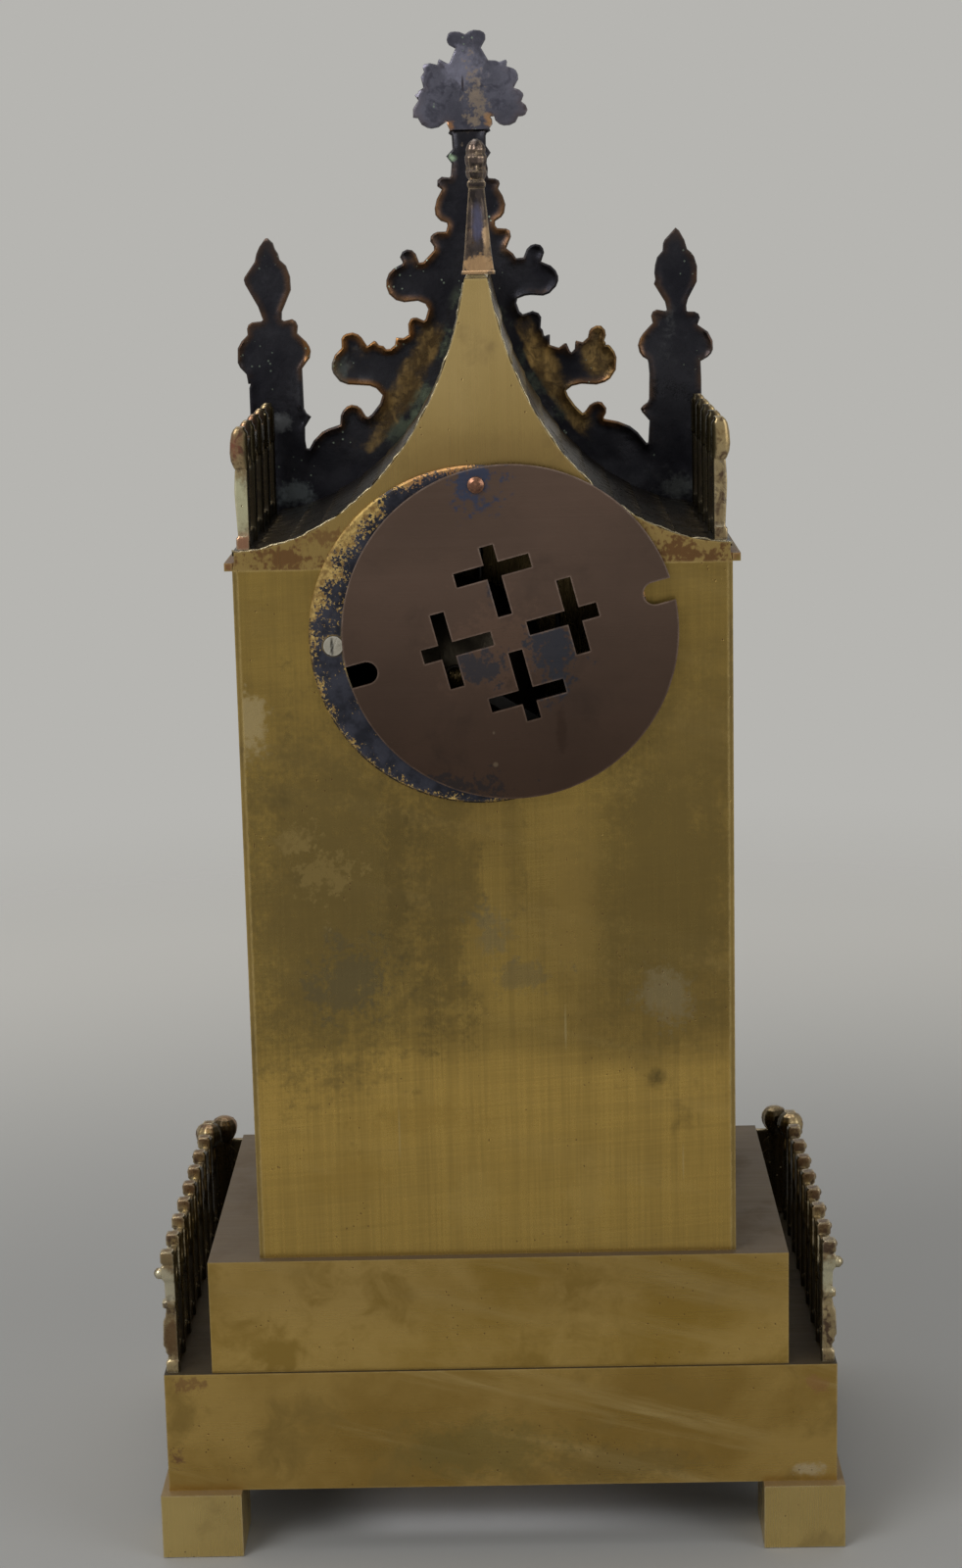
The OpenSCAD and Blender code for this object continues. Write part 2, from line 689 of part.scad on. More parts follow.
module facade_tracery() {
  color(gilt)
    union() {
      upright(relief_front_y, facade_front_y)
        difference() {
          translate([-tracery_half - 1.5, case_z]) square([2 * tracery_half + 3, transom_z - case_z]);
          lancet_row();
        }
      upright(relief_front_y - 1.4, facade_front_y) {
        translate([-tracery_half - 1.5, transom_z]) square([2 * tracery_half + 3, 3]);
        translate([-tracery_half - 1.5, case_z]) square([2 * tracery_half + 3, 3.4]);
      }
      upright(relief_front_y, facade_front_y)
        translate([move_x, move_z])
          difference() {
            union() {
              circle(r = frame_out_r);
              for (i = [0:cusps - 1]) rotate(360 * (i + 0.5) / cusps) translate([frame_out_r - 0.4, 0])
                circle(r = 2.1);
            }
            circle(r = frame_in_r);
            translate([-bezel_r - 8, -8.6]) square([12, 17.2]);
          }
    }
}

// Clustered piers that carry the pinnacles, with bases, capitals and gablets
pier_half = 6.8;
pier_front = relief_front_y - 1.6;

module pier(sx) {
  cx = facade_x + sx * pinnacle_x;
  tip = ridge_z + 12.8;
  translate([cx, 0, 0])
    union() {
      upright(relief_front_y, facade_front_y) {
        translate([-pier_half, case_z]) square([2 * pier_half, eave_z - case_z]);
        polygon([[-pier_half, eave_z], [pier_half, eave_z], [pier_half * 0.8, tip - 46], [0, tip - 29],
          [-pier_half * 0.8, tip - 46]]);
        polygon([[0, tip - 31], [2.4, tip - 26], [5.4, tip - 14], [0, tip - 3], [-5.4, tip - 14],
          [-2.4, tip - 26]]);
      }
      upright(pier_front, facade_front_y) {
        translate([-pier_half, case_z]) square([2 * pier_half, 9]);
        translate([-pier_half, case_z + 12]) square([2 * pier_half, 3]);
        translate([-pier_half, transom_z - 1]) square([2 * pier_half, 5]);
        translate([-pier_half, eave_z - 7]) square([2 * pier_half, 7]);
      }
      for (x = [-1, 0, 1])
        translate([x * pier_half * 0.64, relief_front_y, case_z + 8])
          cylinder(h = eave_z - case_z - 14, r = x == 0 ? 2.1 : 1.5);
    }
}

module facade_piers() {
  color(gilt)
    for (sx = [-1, 1]) pier(sx);
}

// Rear ring, its screws and the swinging cover
ring_back_y = case_back_y + ring_t;
cover_stand = 0.9;
cover_front_y = ring_back_y + cover_stand;
cover_back_y = cover_front_y + cover_t;
ring_screw_r = 1.5;
ring_screw_at = ring_in_r + 2.7;
screw_head_r = 3.1;
screw_head_proud = 0.6;
rivet_r = 1.6;
rivet_z = move_z + rivet_up;

module about_movement(angle = 0) {
  translate([move_x, 0, move_z]) rotate([0, angle, 0]) children();
}

module rear_ring() {
  color(brass)
    difference() {
      about_movement() turned_y(0, 0, case_back_y)
        polygon([[ring_in_r, 0], [ring_r, 0], [ring_r, ring_t - 0.6], [ring_r - 0.6, ring_t],
          [ring_in_r, ring_t]]);
      rod_y(move_x, rivet_z, case_back_y - 1, ring_back_y + 1, rivet_r);
      about_movement(screw_slope)
        for (sx = [-1, 1]) {
          rod_y(sx * ring_screw_at, 0, case_back_y - 1, ring_back_y + 1, ring_screw_r + screw_gap);
          rod_y(sx * ring_screw_at, 0, ring_back_y - 0.6, ring_back_y + 1, screw_head_r + screw_gap);
        }
    }
}

strap_x = dial_r - 1.8;
strap_t = 1.5;
strap_half = 6;
foot_back_y = case_back_y - 4.4;
foot_t = 2.6;

module ring_screws() {
  color(steel)
    about_movement(screw_slope)
      for (sx = [-1, 1])
        difference() {
          union() {
            rod_y(sx * ring_screw_at, 0, foot_back_y - foot_t - 1, ring_back_y - 0.5, ring_screw_r);
            rod_y(sx * ring_screw_at, 0, ring_back_y - 0.6, ring_back_y + screw_head_proud, screw_head_r);
          }
          translate([sx * ring_screw_at, ring_back_y + screw_head_proud, 0]) rotate([0, 62, 0])
            cube([2 * screw_head_r + 1, 0.9, 0.7], center = true);
        }
}

module cover_rivet() {
  color(dark_brass)
    turned_y(move_x, rivet_z, 0)
      polygon([[0, case_back_y], [rivet_r, case_back_y], [rivet_r, ring_back_y], [4, ring_back_y],
        [4, cover_front_y - 0.05], [rivet_r, cover_front_y - 0.05], [rivet_r, cover_back_y + 0.06],
        [2.7, cover_back_y + 0.06], [2.5, cover_back_y + 0.8], [1.5, cover_back_y + 1.4],
        [0, cover_back_y + 1.6]]);
}

cross_long = 14.6;
cross_side = 12.1;
cross_outer = 7.9;
notch_r = 3.5;
notch_deep = 9.5;

module latin_cross() {
  translate([-cross_long, -cross_w / 2]) square([cross_long + cross_outer, cross_w]);
  translate([-cross_w / 2, -cross_side]) square([cross_w, 2 * cross_side]);
}

// Outline of the cover about its own middle, with its notches level
module cover_outline() {
  notch_x = cover_r - notch_deep + notch_r;
  difference() {
    circle(r = cover_r);
    for (k = [0:3]) rotate(90 * k) translate([cross_radius, 0]) latin_cross();
    for (sx = [-1, 1]) {
      translate([sx * notch_x, 0]) circle(r = notch_r);
      translate([sx > 0 ? notch_x : -notch_x - notch_deep, -notch_r]) square([notch_deep, 2 * notch_r]);
    }
  }
}

module rear_cover() {
  color(cover_brown)
    translate([move_x, 0, rivet_z]) rotate([0, cover_swung, 0])
      difference() {
        translate([0, 0, -rivet_up]) rotate([0, screw_slope, 0])
          upright(cover_front_y, cover_back_y) cover_outline();
        rod_y(0, 0, cover_front_y - 1, cover_back_y + 1, rivet_r + run_gap);
      }
}

// Front ring that carries the dial, and the straps that draw it back to the rear ring
seat_y = facade_front_y;
ring_lip_y = seat_y - 3;
dial_front_y = seat_y - 0.9;
dial_t = 1.3;
dial_back_y = dial_front_y + dial_t;
collar_in_r = dial_r + 0.2;
collar_out_r = dial_hole_r - 0.2;
hinge_x = -bezel_r - 2.9;
hinge_y = ring_lip_y - 1.5;
knuckle_r = 1.8;
pin_r = 0.8;
knuckle_half = 4;
knuckle_len = 4.2;
side_gap = 0.3;

module knuckle(z0, z1, back) {
  translate([hinge_x, hinge_y, z0]) cylinder(h = z1 - z0, r = knuckle_r);
  if (back) block(hinge_x - 0.4, hinge_x + 4.6, hinge_y + 0.9, ring_lip_y + 1.5, z0, z1);
  else block(hinge_x, hinge_x + 6, hinge_y - knuckle_r, hinge_y - 0.2, z0, z1);
}

module front_ring() {
  color(gilt)
    about_movement()
      difference() {
        union() {
          turned_y(0, 0, 0)
            polygon([[dial_r - 1, ring_lip_y], [bezel_r, ring_lip_y], [bezel_r, seat_y],
              [collar_out_r, seat_y], [collar_out_r, case_front_y + 3], [collar_in_r, case_front_y + 3],
              [collar_in_r, dial_front_y], [dial_r - 1, dial_front_y]]);
          for (s = [0, 1]) mirror([0, 0, s])
            knuckle(knuckle_half + side_gap, knuckle_half + side_gap + knuckle_len, true);
        }
        translate([hinge_x, hinge_y, -12]) cylinder(h = 24, r = pin_r);
        block(hinge_x - 5, -bezel_r + 1.1, hinge_y - 3, ring_lip_y + 1.4, -knuckle_half - side_gap,
          knuckle_half + side_gap);
        rotate([0, screw_slope, 0]) for (sx = [-1, 1])
          translate([sx > 0 ? strap_x : -strap_x - 8, case_front_y + 0.4, 0]) rotate([0, 90, 0])
            cylinder(h = 8, r = 1.02);
      }
}

module movement_straps() {
  color(brass)
    about_movement(screw_slope)
      for (s = [0, 1]) mirror([s, 0, 0])
        difference() {
          union() {
            block(strap_x - strap_t, strap_x, dial_back_y + 0.3, foot_back_y, -strap_half, strap_half);
            block(strap_x - strap_t, ring_screw_at + 3.4, foot_back_y - foot_t, foot_back_y,
              -strap_half, strap_half);
            translate([strap_x - 0.5, case_front_y + 0.4, 0]) rotate([0, 90, 0])
              cylinder(h = collar_out_r - strap_x + 0.3, r = 1);
          }
          rod_y(ring_screw_at, 0, foot_back_y - foot_t - 1, foot_back_y + 1, ring_screw_r + 0.02);
        }
}

// Dial with raised cartouches for the hours, a sunk minute track and feet that reach the movement
dial_foot_r = 1.1;
dial_foot_at = [[34.8, 12.7], [-34.8, 12.7], [-12.7, -34.8], [12.7, -34.8]];
dial_centre_r = 3.4;
wind_hole_r = 3;
cartouche_r = 31.5;

module dial() {
  color(enamel)
    about_movement()
      difference() {
        union() {
          rod_y(0, 0, dial_front_y, dial_back_y, dial_r);
          for (p = dial_foot_at) rod_y(p[0], p[1], dial_back_y - 0.1, front_y1 + 1.6, dial_foot_r);
          for (i = [0:11]) rotate([0, 30 * i, 0])
            upright(dial_front_y - 0.5, dial_front_y + 0.1)
              polygon([[-4.2, cartouche_r - 4.5], [0, cartouche_r - 6], [4.2, cartouche_r - 4.5],
                [5.2, cartouche_r + 3.6], [0, cartouche_r + 5.4], [-5.2, cartouche_r + 3.6]]);
          turned_y(0, 0, dial_front_y)
            polygon([[dial_centre_r, 0.1], [dial_centre_r, -0.5], [12, -0.5], [12.5, 0.1]]);
        }
        rod_y(0, 0, dial_front_y - 2, dial_back_y + 1, dial_centre_r);
        for (sx = [-1, 1])
          rod_y(sx * barrel_x, -barrel_drop, dial_front_y - 2, dial_back_y + 1, wind_hole_r);
        turned_y(0, 0, dial_front_y)
          polygon([[minute_track_r, -0.1], [minute_track_r + 2, -0.1], [minute_track_r + 2, 0.15],
            [minute_track_r, 0.15]]);
      }
}

bezel_back_y = ring_lip_y - 0.3;
bezel_front_y = bezel_back_y - 6;
glass_y = bezel_front_y + 2.2;
glass_r = bezel_r - 4.8;

module bezel_frame() {
  color(gilt)
    about_movement()
      difference() {
        union() {
          turned_y(0, 0, 0)
            polygon([[glass_r + 0.1, bezel_back_y], [bezel_r - 0.4, bezel_back_y],
              [bezel_r, bezel_back_y - 1.2], [bezel_r - 0.8, bezel_back_y - 2.6],
              [bezel_r - 2, bezel_back_y - 3.2], [bezel_r - 2.4, bezel_front_y + 0.8],
              [bezel_r - 3.8, bezel_front_y], [glass_r - 0.6, bezel_front_y + 0.9],
              [glass_r - 2, glass_y], [glass_r + 0.1, glass_y]]);
          knuckle(-knuckle_half, knuckle_half, false);
        }
        translate([hinge_x, hinge_y, -12]) cylinder(h = 24, r = pin_r + run_gap);
        for (s = [0, 1]) mirror([0, 0, s])
          block(hinge_x - 5, -bezel_r + 2.4, hinge_y - 2.4, hinge_y + 3, knuckle_half, knuckle_half + 8);
      }
}

module dial_glass() {
  color([0.8, 0.88, 0.9, 0.3])
    about_movement() rod_y(0, 0, glass_y, glass_y + glass_t, glass_r);
}

module bezel_pin() {
  color(steel)
    about_movement() {
      translate([hinge_x, hinge_y, -knuckle_half - knuckle_len - 0.6])
        cylinder(h = 2 * (knuckle_half + knuckle_len) + 1.2, r = pin_r);
      for (s = [0, 1]) mirror([0, 0, s])
        translate([hinge_x, hinge_y, knuckle_half + knuckle_len + side_gap])
          cylinder(h = 0.9, r1 = 1.3, r2 = 0.9);
    }
}

// Movement. Positions are (x, height) about its middle; depths are measured from the plates.
front_y0 = dial_back_y + 10.4;
front_y1 = front_y0 + plate_t;
back_y0 = front_y1 + plate_gap;
back_y1 = back_y0 + plate_t;
pivot_r = 0.6;
arbor_r = 0.9;

function tooth_ring(teeth, tip_r, root_r, tip_share, root_share, turn) =
  [for (i = [0:teeth - 1], k = [0:3])
    let (half = (k == 0 || k == 3 ? root_share : tip_share) * 180 / teeth,
      a = turn + 360 * i / teeth + (k < 2 ? -half : half),
      r = k == 0 || k == 3 ? root_r : tip_r)
    [r * cos(a), r * sin(a)]];
// Where two circles about p and q meet, on the left of the way from p to q if side is 1
function meet(p, q, rp, rq, side) =
  let (d = norm(q - p), along = (rp * rp - rq * rq + d * d) / (2 * d),
    off = side * sqrt(rp * rp - along * along), u = (q - p) / d)
  p + along * u + off * [-u[1], u[0]];
function heading(p, q) = atan2(q[1] - p[1], q[0] - p[0]);
function mesh_distance(size, teeth_a, teeth_b) = size * (teeth_a + teeth_b) / 2;

// Flat toothed outline. A tooth, or a gap if gap is true, points along the angle toward.
module toothed(teeth, size, toward, gap = false) {
  r = size * teeth / 2;
  polygon(tooth_ring(teeth, r + 0.55 * size, r - 1.05 * size, 0.16, 0.56,
    toward + (gap ? 180 / teeth : 0)));
}
module crossings(rim_r, hub_r, arms, arm_w) {
  difference() {
    circle(r = rim_r);
    circle(r = hub_r);
    for (k = [0:arms - 1]) rotate(360 * k / arms) translate([0, -arm_w / 2]) square([rim_r + 1, arm_w]);
  }
}
module crossed_wheel(teeth, size, toward, arms, arm_w, rim = 0) {
  r = size * teeth / 2;
  difference() {
    toothed(teeth, size, toward);
    crossings(rim > 0 ? rim : r - 2.4 * size - 0.5, arbor_r + 1.6, arms, arm_w);
  }
}
module arbor(y0 = front_y1 + 0.3, y1 = back_y0 - 0.3) {
  rod_y(0, 0, y0, y1, arbor_r);
  rod_y(0, 0, front_y0 + 0.4, back_y1 - 0.4, pivot_r);
}

// Tooth sizes and counts of the going train
great_teeth = 84;
great_pinion = 12;
great_size = 0.41;
inter_teeth = 72;
inter_pinion = 12;
inter_size = 0.36;
centre_teeth = 84;
centre_pinion = 7;
centre_size = 0.3;
third_teeth = 80;
third_pinion = 7;
third_size = 0.24;
escape_teeth = 33;
wheel_t = 1.3;
pinion_t = 4;

// Arbor positions
going_at = [barrel_x, -barrel_drop];
strike_at = [-barrel_x, -barrel_drop];
centre_at = [0, 0];
escape_at = [0, pallet_up - 12];
pallet_at = [0, pallet_up];
great_reach = mesh_distance(great_size, great_teeth, great_pinion);
inter_at = meet(going_at, centre_at, great_reach,
  mesh_distance(inter_size, inter_teeth, inter_pinion), -1);
third_at = meet(centre_at, escape_at, mesh_distance(centre_size, centre_teeth, centre_pinion),
  mesh_distance(third_size, third_teeth, third_pinion), 1);

// Tooth sizes, counts and positions of the striking train
pin_teeth = 78;
pin_pinion = 8;
pin_size = 0.3;
warn_teeth = 64;
warn_pinion = 8;
warn_size = 0.26;
pin_at = strike_at + great_reach * [cos(105), sin(105)];
warn_at = pin_at + mesh_distance(pin_size, pin_teeth, pin_pinion) * [cos(64), sin(64)];
fly_at = warn_at + mesh_distance(warn_size, warn_teeth, warn_pinion) * [cos(80), sin(80)];
lift_r = 9;
hammer_at = [-23.5, 28];

// Depths of the wheels behind the front plate
strike_great_y = front_y1 + 1.1;
drum_y0 = front_y1 + 3;
drum_y1 = front_y1 + 22.2;
going_great_y = drum_y1 + 0.2;
pin_y = front_y1 + 25;
centre_y = front_y1 + 27;
inter_y = front_y1 + 31.3;
third_y = front_y1 + 12.5;
warn_y = front_y1 + 16.5;
escape_y = front_y1 + 6.5;

pillar_r = 2.5;
tenon_r = 1.5;
pillar_at = [[30.4, 21.6], [-32.4, 18], [0, -37], [19, 31.9]];
bell_at = [8.1, -16];
bell_foot_at = [-19.6, -32.9];
barrel_arbor_r = 2.2;
barrel_bore_r = barrel_arbor_r + run_gap;

// Tooth sizes and counts of the motion work, whose minute wheel stands beside the line to the pallets
cannon_teeth = 12;
minute_teeth = 36;
minute_pinion = 10;
hour_teeth = 40;
cannon_size = 0.5;
hour_size = 0.48;
motion_reach = mesh_distance(cannon_size, cannon_teeth, minute_teeth);
motion_side_at = [0, 20];
motion_at = meet(centre_at, motion_side_at, motion_reach, motion_reach, 1);

module plate_holes(y0, y1) {
  for (p = [inter_at, third_at, escape_at, pin_at, warn_at, fly_at])
    rod_y(p[0], p[1], y0 - 1, y1 + 1, pivot_r + run_gap);
  for (p = pillar_at) rod_y(p[0], p[1], y0 - 1, y1 + 1, tenon_r + 0.02);
  rod_y(hammer_at[0], hammer_at[1], y0 - 1, y1 + 1, arbor_r + run_gap);
}

module front_plate() {
  color(brass)
    about_movement()
      difference() {
        union() {
          rod_y(0, 0, front_y0, front_y1, plate_r);
          rod_y(motion_at[0], motion_at[1], hour_wheel_y - 1.2, front_y0 + 0.1, stud_r);
        }
        plate_holes(front_y0, front_y1);
        rod_y(pallet_at[0], pallet_at[1], front_y0 - 1, front_y1 + 1, pivot_r + run_gap);
        rod_y(0, 0, front_y0 - 1, front_y1 + 1, centre_arbor_r + run_gap);
        for (sx = [-1, 1]) rod_y(sx * barrel_x, -barrel_drop, front_y0 - 1, front_y1 + 1, barrel_bore_r);
        for (p = dial_foot_at) rod_y(p[0], p[1], front_y0 - 1, front_y1 + 1, dial_foot_r + run_gap);
      }
}

module back_plate() {
  color(brass)
    about_movement()
      difference() {
        rod_y(0, 0, back_y0, back_y1, plate_r);
        plate_holes(back_y0, back_y1);
        rod_y(0, 0, back_y0 - 1, back_y1 + 1, pivot_r + run_gap);
        rod_y(pallet_at[0], pallet_at[1], back_y0 - 1, back_y1 + 1, arbor_r + 1.2);
        for (sx = [-1, 1]) rod_y(sx * barrel_x, -barrel_drop, back_y0 - 1, back_y1 + 1, 1.5 + run_gap);
        rod_y(bell_foot_at[0], bell_foot_at[1], back_y0 - 1, back_y1 + 1, 1.52);
      }
}

module pillars() {
  color(brass)
    about_movement()
      for (p = pillar_at)
        turned_y(p[0], p[1], 0)
          polygon([[0, front_y0 - 0.6], [tenon_r, front_y0 - 0.6], [tenon_r, front_y1],
            [pillar_r + 0.4, front_y1], [pillar_r + 0.4, front_y1 + 2], [pillar_r - 0.5, front_y1 + 4],
            [pillar_r - 0.5, back_y0 - 4], [pillar_r + 0.4, back_y0 - 2], [pillar_r + 0.4, back_y0],
            [tenon_r, back_y0], [tenon_r, back_y1 + 0.5], [0, back_y1 + 0.5]]);
}

// Spring barrels with their great wheels and the coiled springs that show at the open end
module spring_barrel(at, great_y, toward) {
  difference() {
    union() {
      rod_y(at[0], at[1], drum_y0, drum_y1, barrel_r);
      translate([at[0], 0, at[1]]) upright(great_y, great_y + 1.7)
        toothed(great_teeth, great_size, toward);
      rod_y(at[0], at[1], min(great_y, drum_y0), max(great_y, drum_y1) + 0.4, barrel_arbor_r + 2);
    }
    rod_y(at[0], at[1], drum_y0 - 5, drum_y1 + 5, barrel_bore_r);
  }
}

module spring_barrels() {
  color(brass)
    about_movement() {
      spring_barrel(going_at, going_great_y, heading(going_at, inter_at));
      spring_barrel(strike_at, strike_great_y, heading(strike_at, pin_at));
    }
}

ratchet_teeth = 24;
ratchet_r = 6.4;
ratchet_y = front_y0 - 1.9;
square_half = 1.7;
module ratchet_outline() {
  polygon([for (i = [0:ratchet_teeth - 1], k = [0:1])
    let (a = 360 * (i + (k == 0 ? 0 : 0.12)) / ratchet_teeth, r = k == 0 ? ratchet_r - 1.1 : ratchet_r)
    [r * cos(a), r * sin(a)]]);
}

// Barrel arbor with its winding square and ratchet wheel
module winding_arbor(at) {
  translate([at[0], 0, at[1]])
    union() {
      rod_y(0, 0, front_y0 - 2.4, back_y0 - 0.2, barrel_arbor_r);
      rod_y(0, 0, back_y0 - 0.3, back_y1 - 0.2, 1.5);
      upright(ratchet_y, ratchet_y + 1.6) ratchet_outline();
      block(-square_half, square_half, dial_front_y + 0.6, front_y0 - 2, -square_half, square_half);
    }
}

module going_arbor() {
  color(steel) about_movement() winding_arbor(going_at);
}

module strike_arbor() {
  color(steel) about_movement() winding_arbor(strike_at);
}

module click(at) {
  translate([at[0], 0, at[1]]) {
    upright(ratchet_y, ratchet_y + 1.4)
      polygon([[ratchet_r * cos(172) + 0.2, ratchet_r * sin(172) + 0.15], [-8.2, 3.2], [-9.6, 4.6],
        [-10.6, 3.4], [-9.6, 1.9], [-7.2, 0.6]]);
    rod_y(-9.6, 3.3, ratchet_y - 0.5, front_y0, 1.1);
  }
}

module winding_clicks() {
  color(steel)
    about_movement()
      for (at = [going_at, strike_at]) click(at);
}

// Motion work: the cannon pinion turns the minute wheel, which turns the hour wheel once in twelve
stud_r = 1;
centre_arbor_r = 1.2;
cannon_pipe_r = 2;
hour_pipe_r = 2.9;
cannon_y = front_y0 - 5.6;
hour_wheel_y = front_y0 - 8.2;
hour_hand_y = dial_front_y - 1.1;
minute_hand_y = dial_front_y - 2.3;
hand_t = 0.4;
motion_dir = heading(centre_at, motion_at);

// Slimmer teeth with more play, for wheels that are turned past each other
module running_teeth(teeth, size, toward, gap, reach) {
  r = size * teeth / 2;
  polygon(tooth_ring(teeth, r + reach * size, r - 1.2 * size, 0.14, 0.5, toward + (gap ? 180 / teeth : 0)));
}

module cannon_pinion() {
  color(brass)
    about_movement()
      difference() {
        union() {
          upright(cannon_y, cannon_y + 2.4)
            running_teeth(cannon_teeth, cannon_size, motion_dir, false, 0.6);
          rod_y(0, 0, minute_hand_y - 0.6, cannon_y + 3.6, cannon_pipe_r);
        }
        rod_y(0, 0, minute_hand_y - 2, cannon_y + 5, centre_arbor_r + run_gap);
      }
}

module minute_wheel() {
  color(brass)
    about_movement()
      translate([motion_at[0], 0, motion_at[1]])
        difference() {
          union() {
            upright(cannon_y + 0.5, cannon_y + 1.8)
              running_teeth(minute_teeth, cannon_size, motion_dir + 180, true, 0.6);
            upright(hour_wheel_y - 0.4, cannon_y + 0.6)
              running_teeth(minute_pinion, hour_size * 1.0417, motion_dir + 180, true, 0.55);
          }
          rod_y(0, 0, hour_wheel_y - 2, cannon_y + 5, stud_r + run_gap);
        }
}

module hour_wheel() {
  color(brass)
    about_movement()
      difference() {
        union() {
          upright(hour_wheel_y, hour_wheel_y + 1.2)
            difference() {
              running_teeth(hour_teeth, hour_size, motion_dir, false, 0.55);
              crossings(7.6, 4.2, 4, 1.4);
            }
          rod_y(0, 0, hour_hand_y - 0.5, hour_wheel_y + 1.2, hour_pipe_r);
        }
        rod_y(0, 0, hour_hand_y - 2, hour_wheel_y + 3, cannon_pipe_r + run_gap);
      }
}

// Hands in the trefoil style, with round tips and pierced bosses
module trefoil_hand(reach, boss_r, hole_r, y1) {
  y0 = y1 - hand_t;
  difference() {
    union() {
      rod_y(0, 0, y0, y1, boss_r);
      upright(y0, y1)
        polygon([[-boss_r * 0.5, 0], [boss_r * 0.5, 0], [0.7, reach * 0.62], [-0.7, reach * 0.62]]);
      for (p = [[0, reach * 0.7], [-reach * 0.075, reach * 0.6], [reach * 0.075, reach * 0.6]])
        rod_y(p[0], p[1], y0, y1, reach * 0.085);
      upright(y0, y1) polygon([[-0.8, reach * 0.75], [0.8, reach * 0.75], [0.1, reach], [-0.1, reach]]);
      upright(y0, y1) polygon([[-1.2, 0], [1.2, 0], [0.8, -boss_r - 3], [-0.8, -boss_r - 3]]);
    }
    rod_y(0, 0, y0 - 1, y1 + 1, hole_r);
    rod_y(0, reach * 0.64, y0 - 1, y1 + 1, reach * 0.035);
  }
}

// The time shown: ten past ten
shown_hour = 10;
shown_minute = 10;

module hour_hand() {
  color(steel)
    about_movement(30 * (shown_hour - 12) + shown_minute / 2)
      trefoil_hand(cartouche_r - 7, 4.2, hour_pipe_r + 0.02, hour_hand_y);
}

module minute_hand() {
  color(steel)
    about_movement(6 * shown_minute)
      trefoil_hand(minute_track_r - 0.5, 3.4, cannon_pipe_r + 0.02, minute_hand_y);
}

module hand_nut() {
  color(brass)
    about_movement()
      difference() {
        turned_y(0, 0, minute_hand_y - 0.6)
          polygon([[0, 0], [2.6, 0], [2.6, -0.4], [1.8, -1.2], [0, -1.2]]);
        rod_y(0, 0, minute_hand_y - 3, minute_hand_y, 0.82);
      }
}

// Wheels between the plates
module centre_wheel() {
  color(brass)
    about_movement()
      union() {
        upright(centre_y, centre_y + wheel_t)
          crossed_wheel(centre_teeth, centre_size, heading(centre_at, third_at), 5, 1.6);
        upright(inter_y - 1.3, inter_y + 2.7)
          toothed(inter_pinion, inter_size, heading(centre_at, inter_at), true);
        rod_y(0, 0, front_y1 + 0.3, back_y0 - 0.3, 1.5);
        rod_y(0, 0, minute_hand_y - 0.5, front_y1 + 0.5, centre_arbor_r);
        rod_y(0, 0, minute_hand_y - 1.9, minute_hand_y - 0.4, 0.8);
        rod_y(0, 0, back_y0 - 0.4, back_y1 - 0.4, pivot_r);
      }
}

module intermediate_wheel() {
  color(brass)
    about_movement()
      translate([inter_at[0], 0, inter_at[1]])
        union() {
          upright(inter_y, inter_y + wheel_t)
            crossed_wheel(inter_teeth, inter_size, heading(inter_at, centre_at), 5, 1.6);
          upright(going_great_y - 1, going_great_y + 3)
            toothed(great_pinion, great_size, heading(inter_at, going_at), true);
          arbor();
        }
}

module third_wheel() {
  color(brass)
    about_movement()
      translate([third_at[0], 0, third_at[1]])
        union() {
          upright(third_y, third_y + wheel_t)
            crossed_wheel(third_teeth, third_size, heading(third_at, escape_at), 5, 1.2);
          upright(centre_y - 1.3, centre_y + 2.7)
            toothed(centre_pinion, centre_size, heading(third_at, centre_at), true);
          rod_y(0, 0, front_y1 + 0.3, back_y0 - 0.3, 0.75);
          rod_y(0, 0, front_y0 + 0.4, back_y1 - 0.4, pivot_r);
        }
}

module escape_wheel() {
  color(brass)
    about_movement()
      translate([escape_at[0], 0, escape_at[1]])
        union() {
          upright(escape_y, escape_y + 1.1)
            difference() {
              polygon([for (i = [0:escape_teeth - 1], k = [0:2])
                let (a = 90 + 360 * (i + (k == 0 ? 0.5 : k == 1 ? 0.95 : 1.08)) / escape_teeth,
                  r = k == 0 ? escape_r - 1.7 : escape_r)
                [r * cos(a), r * sin(a)]]);
              crossings(escape_r - 2.5, 1.9, 4, 1);
            }
          upright(third_y - 1.3, third_y + 2.7)
            toothed(third_pinion, third_size, heading(escape_at, third_at), true);
          rod_y(0, 0, front_y1 + 0.3, back_y0 - 0.3, 0.6);
          rod_y(0, 0, front_y0 + 0.4, back_y1 - 0.4, 0.5);
        }
}

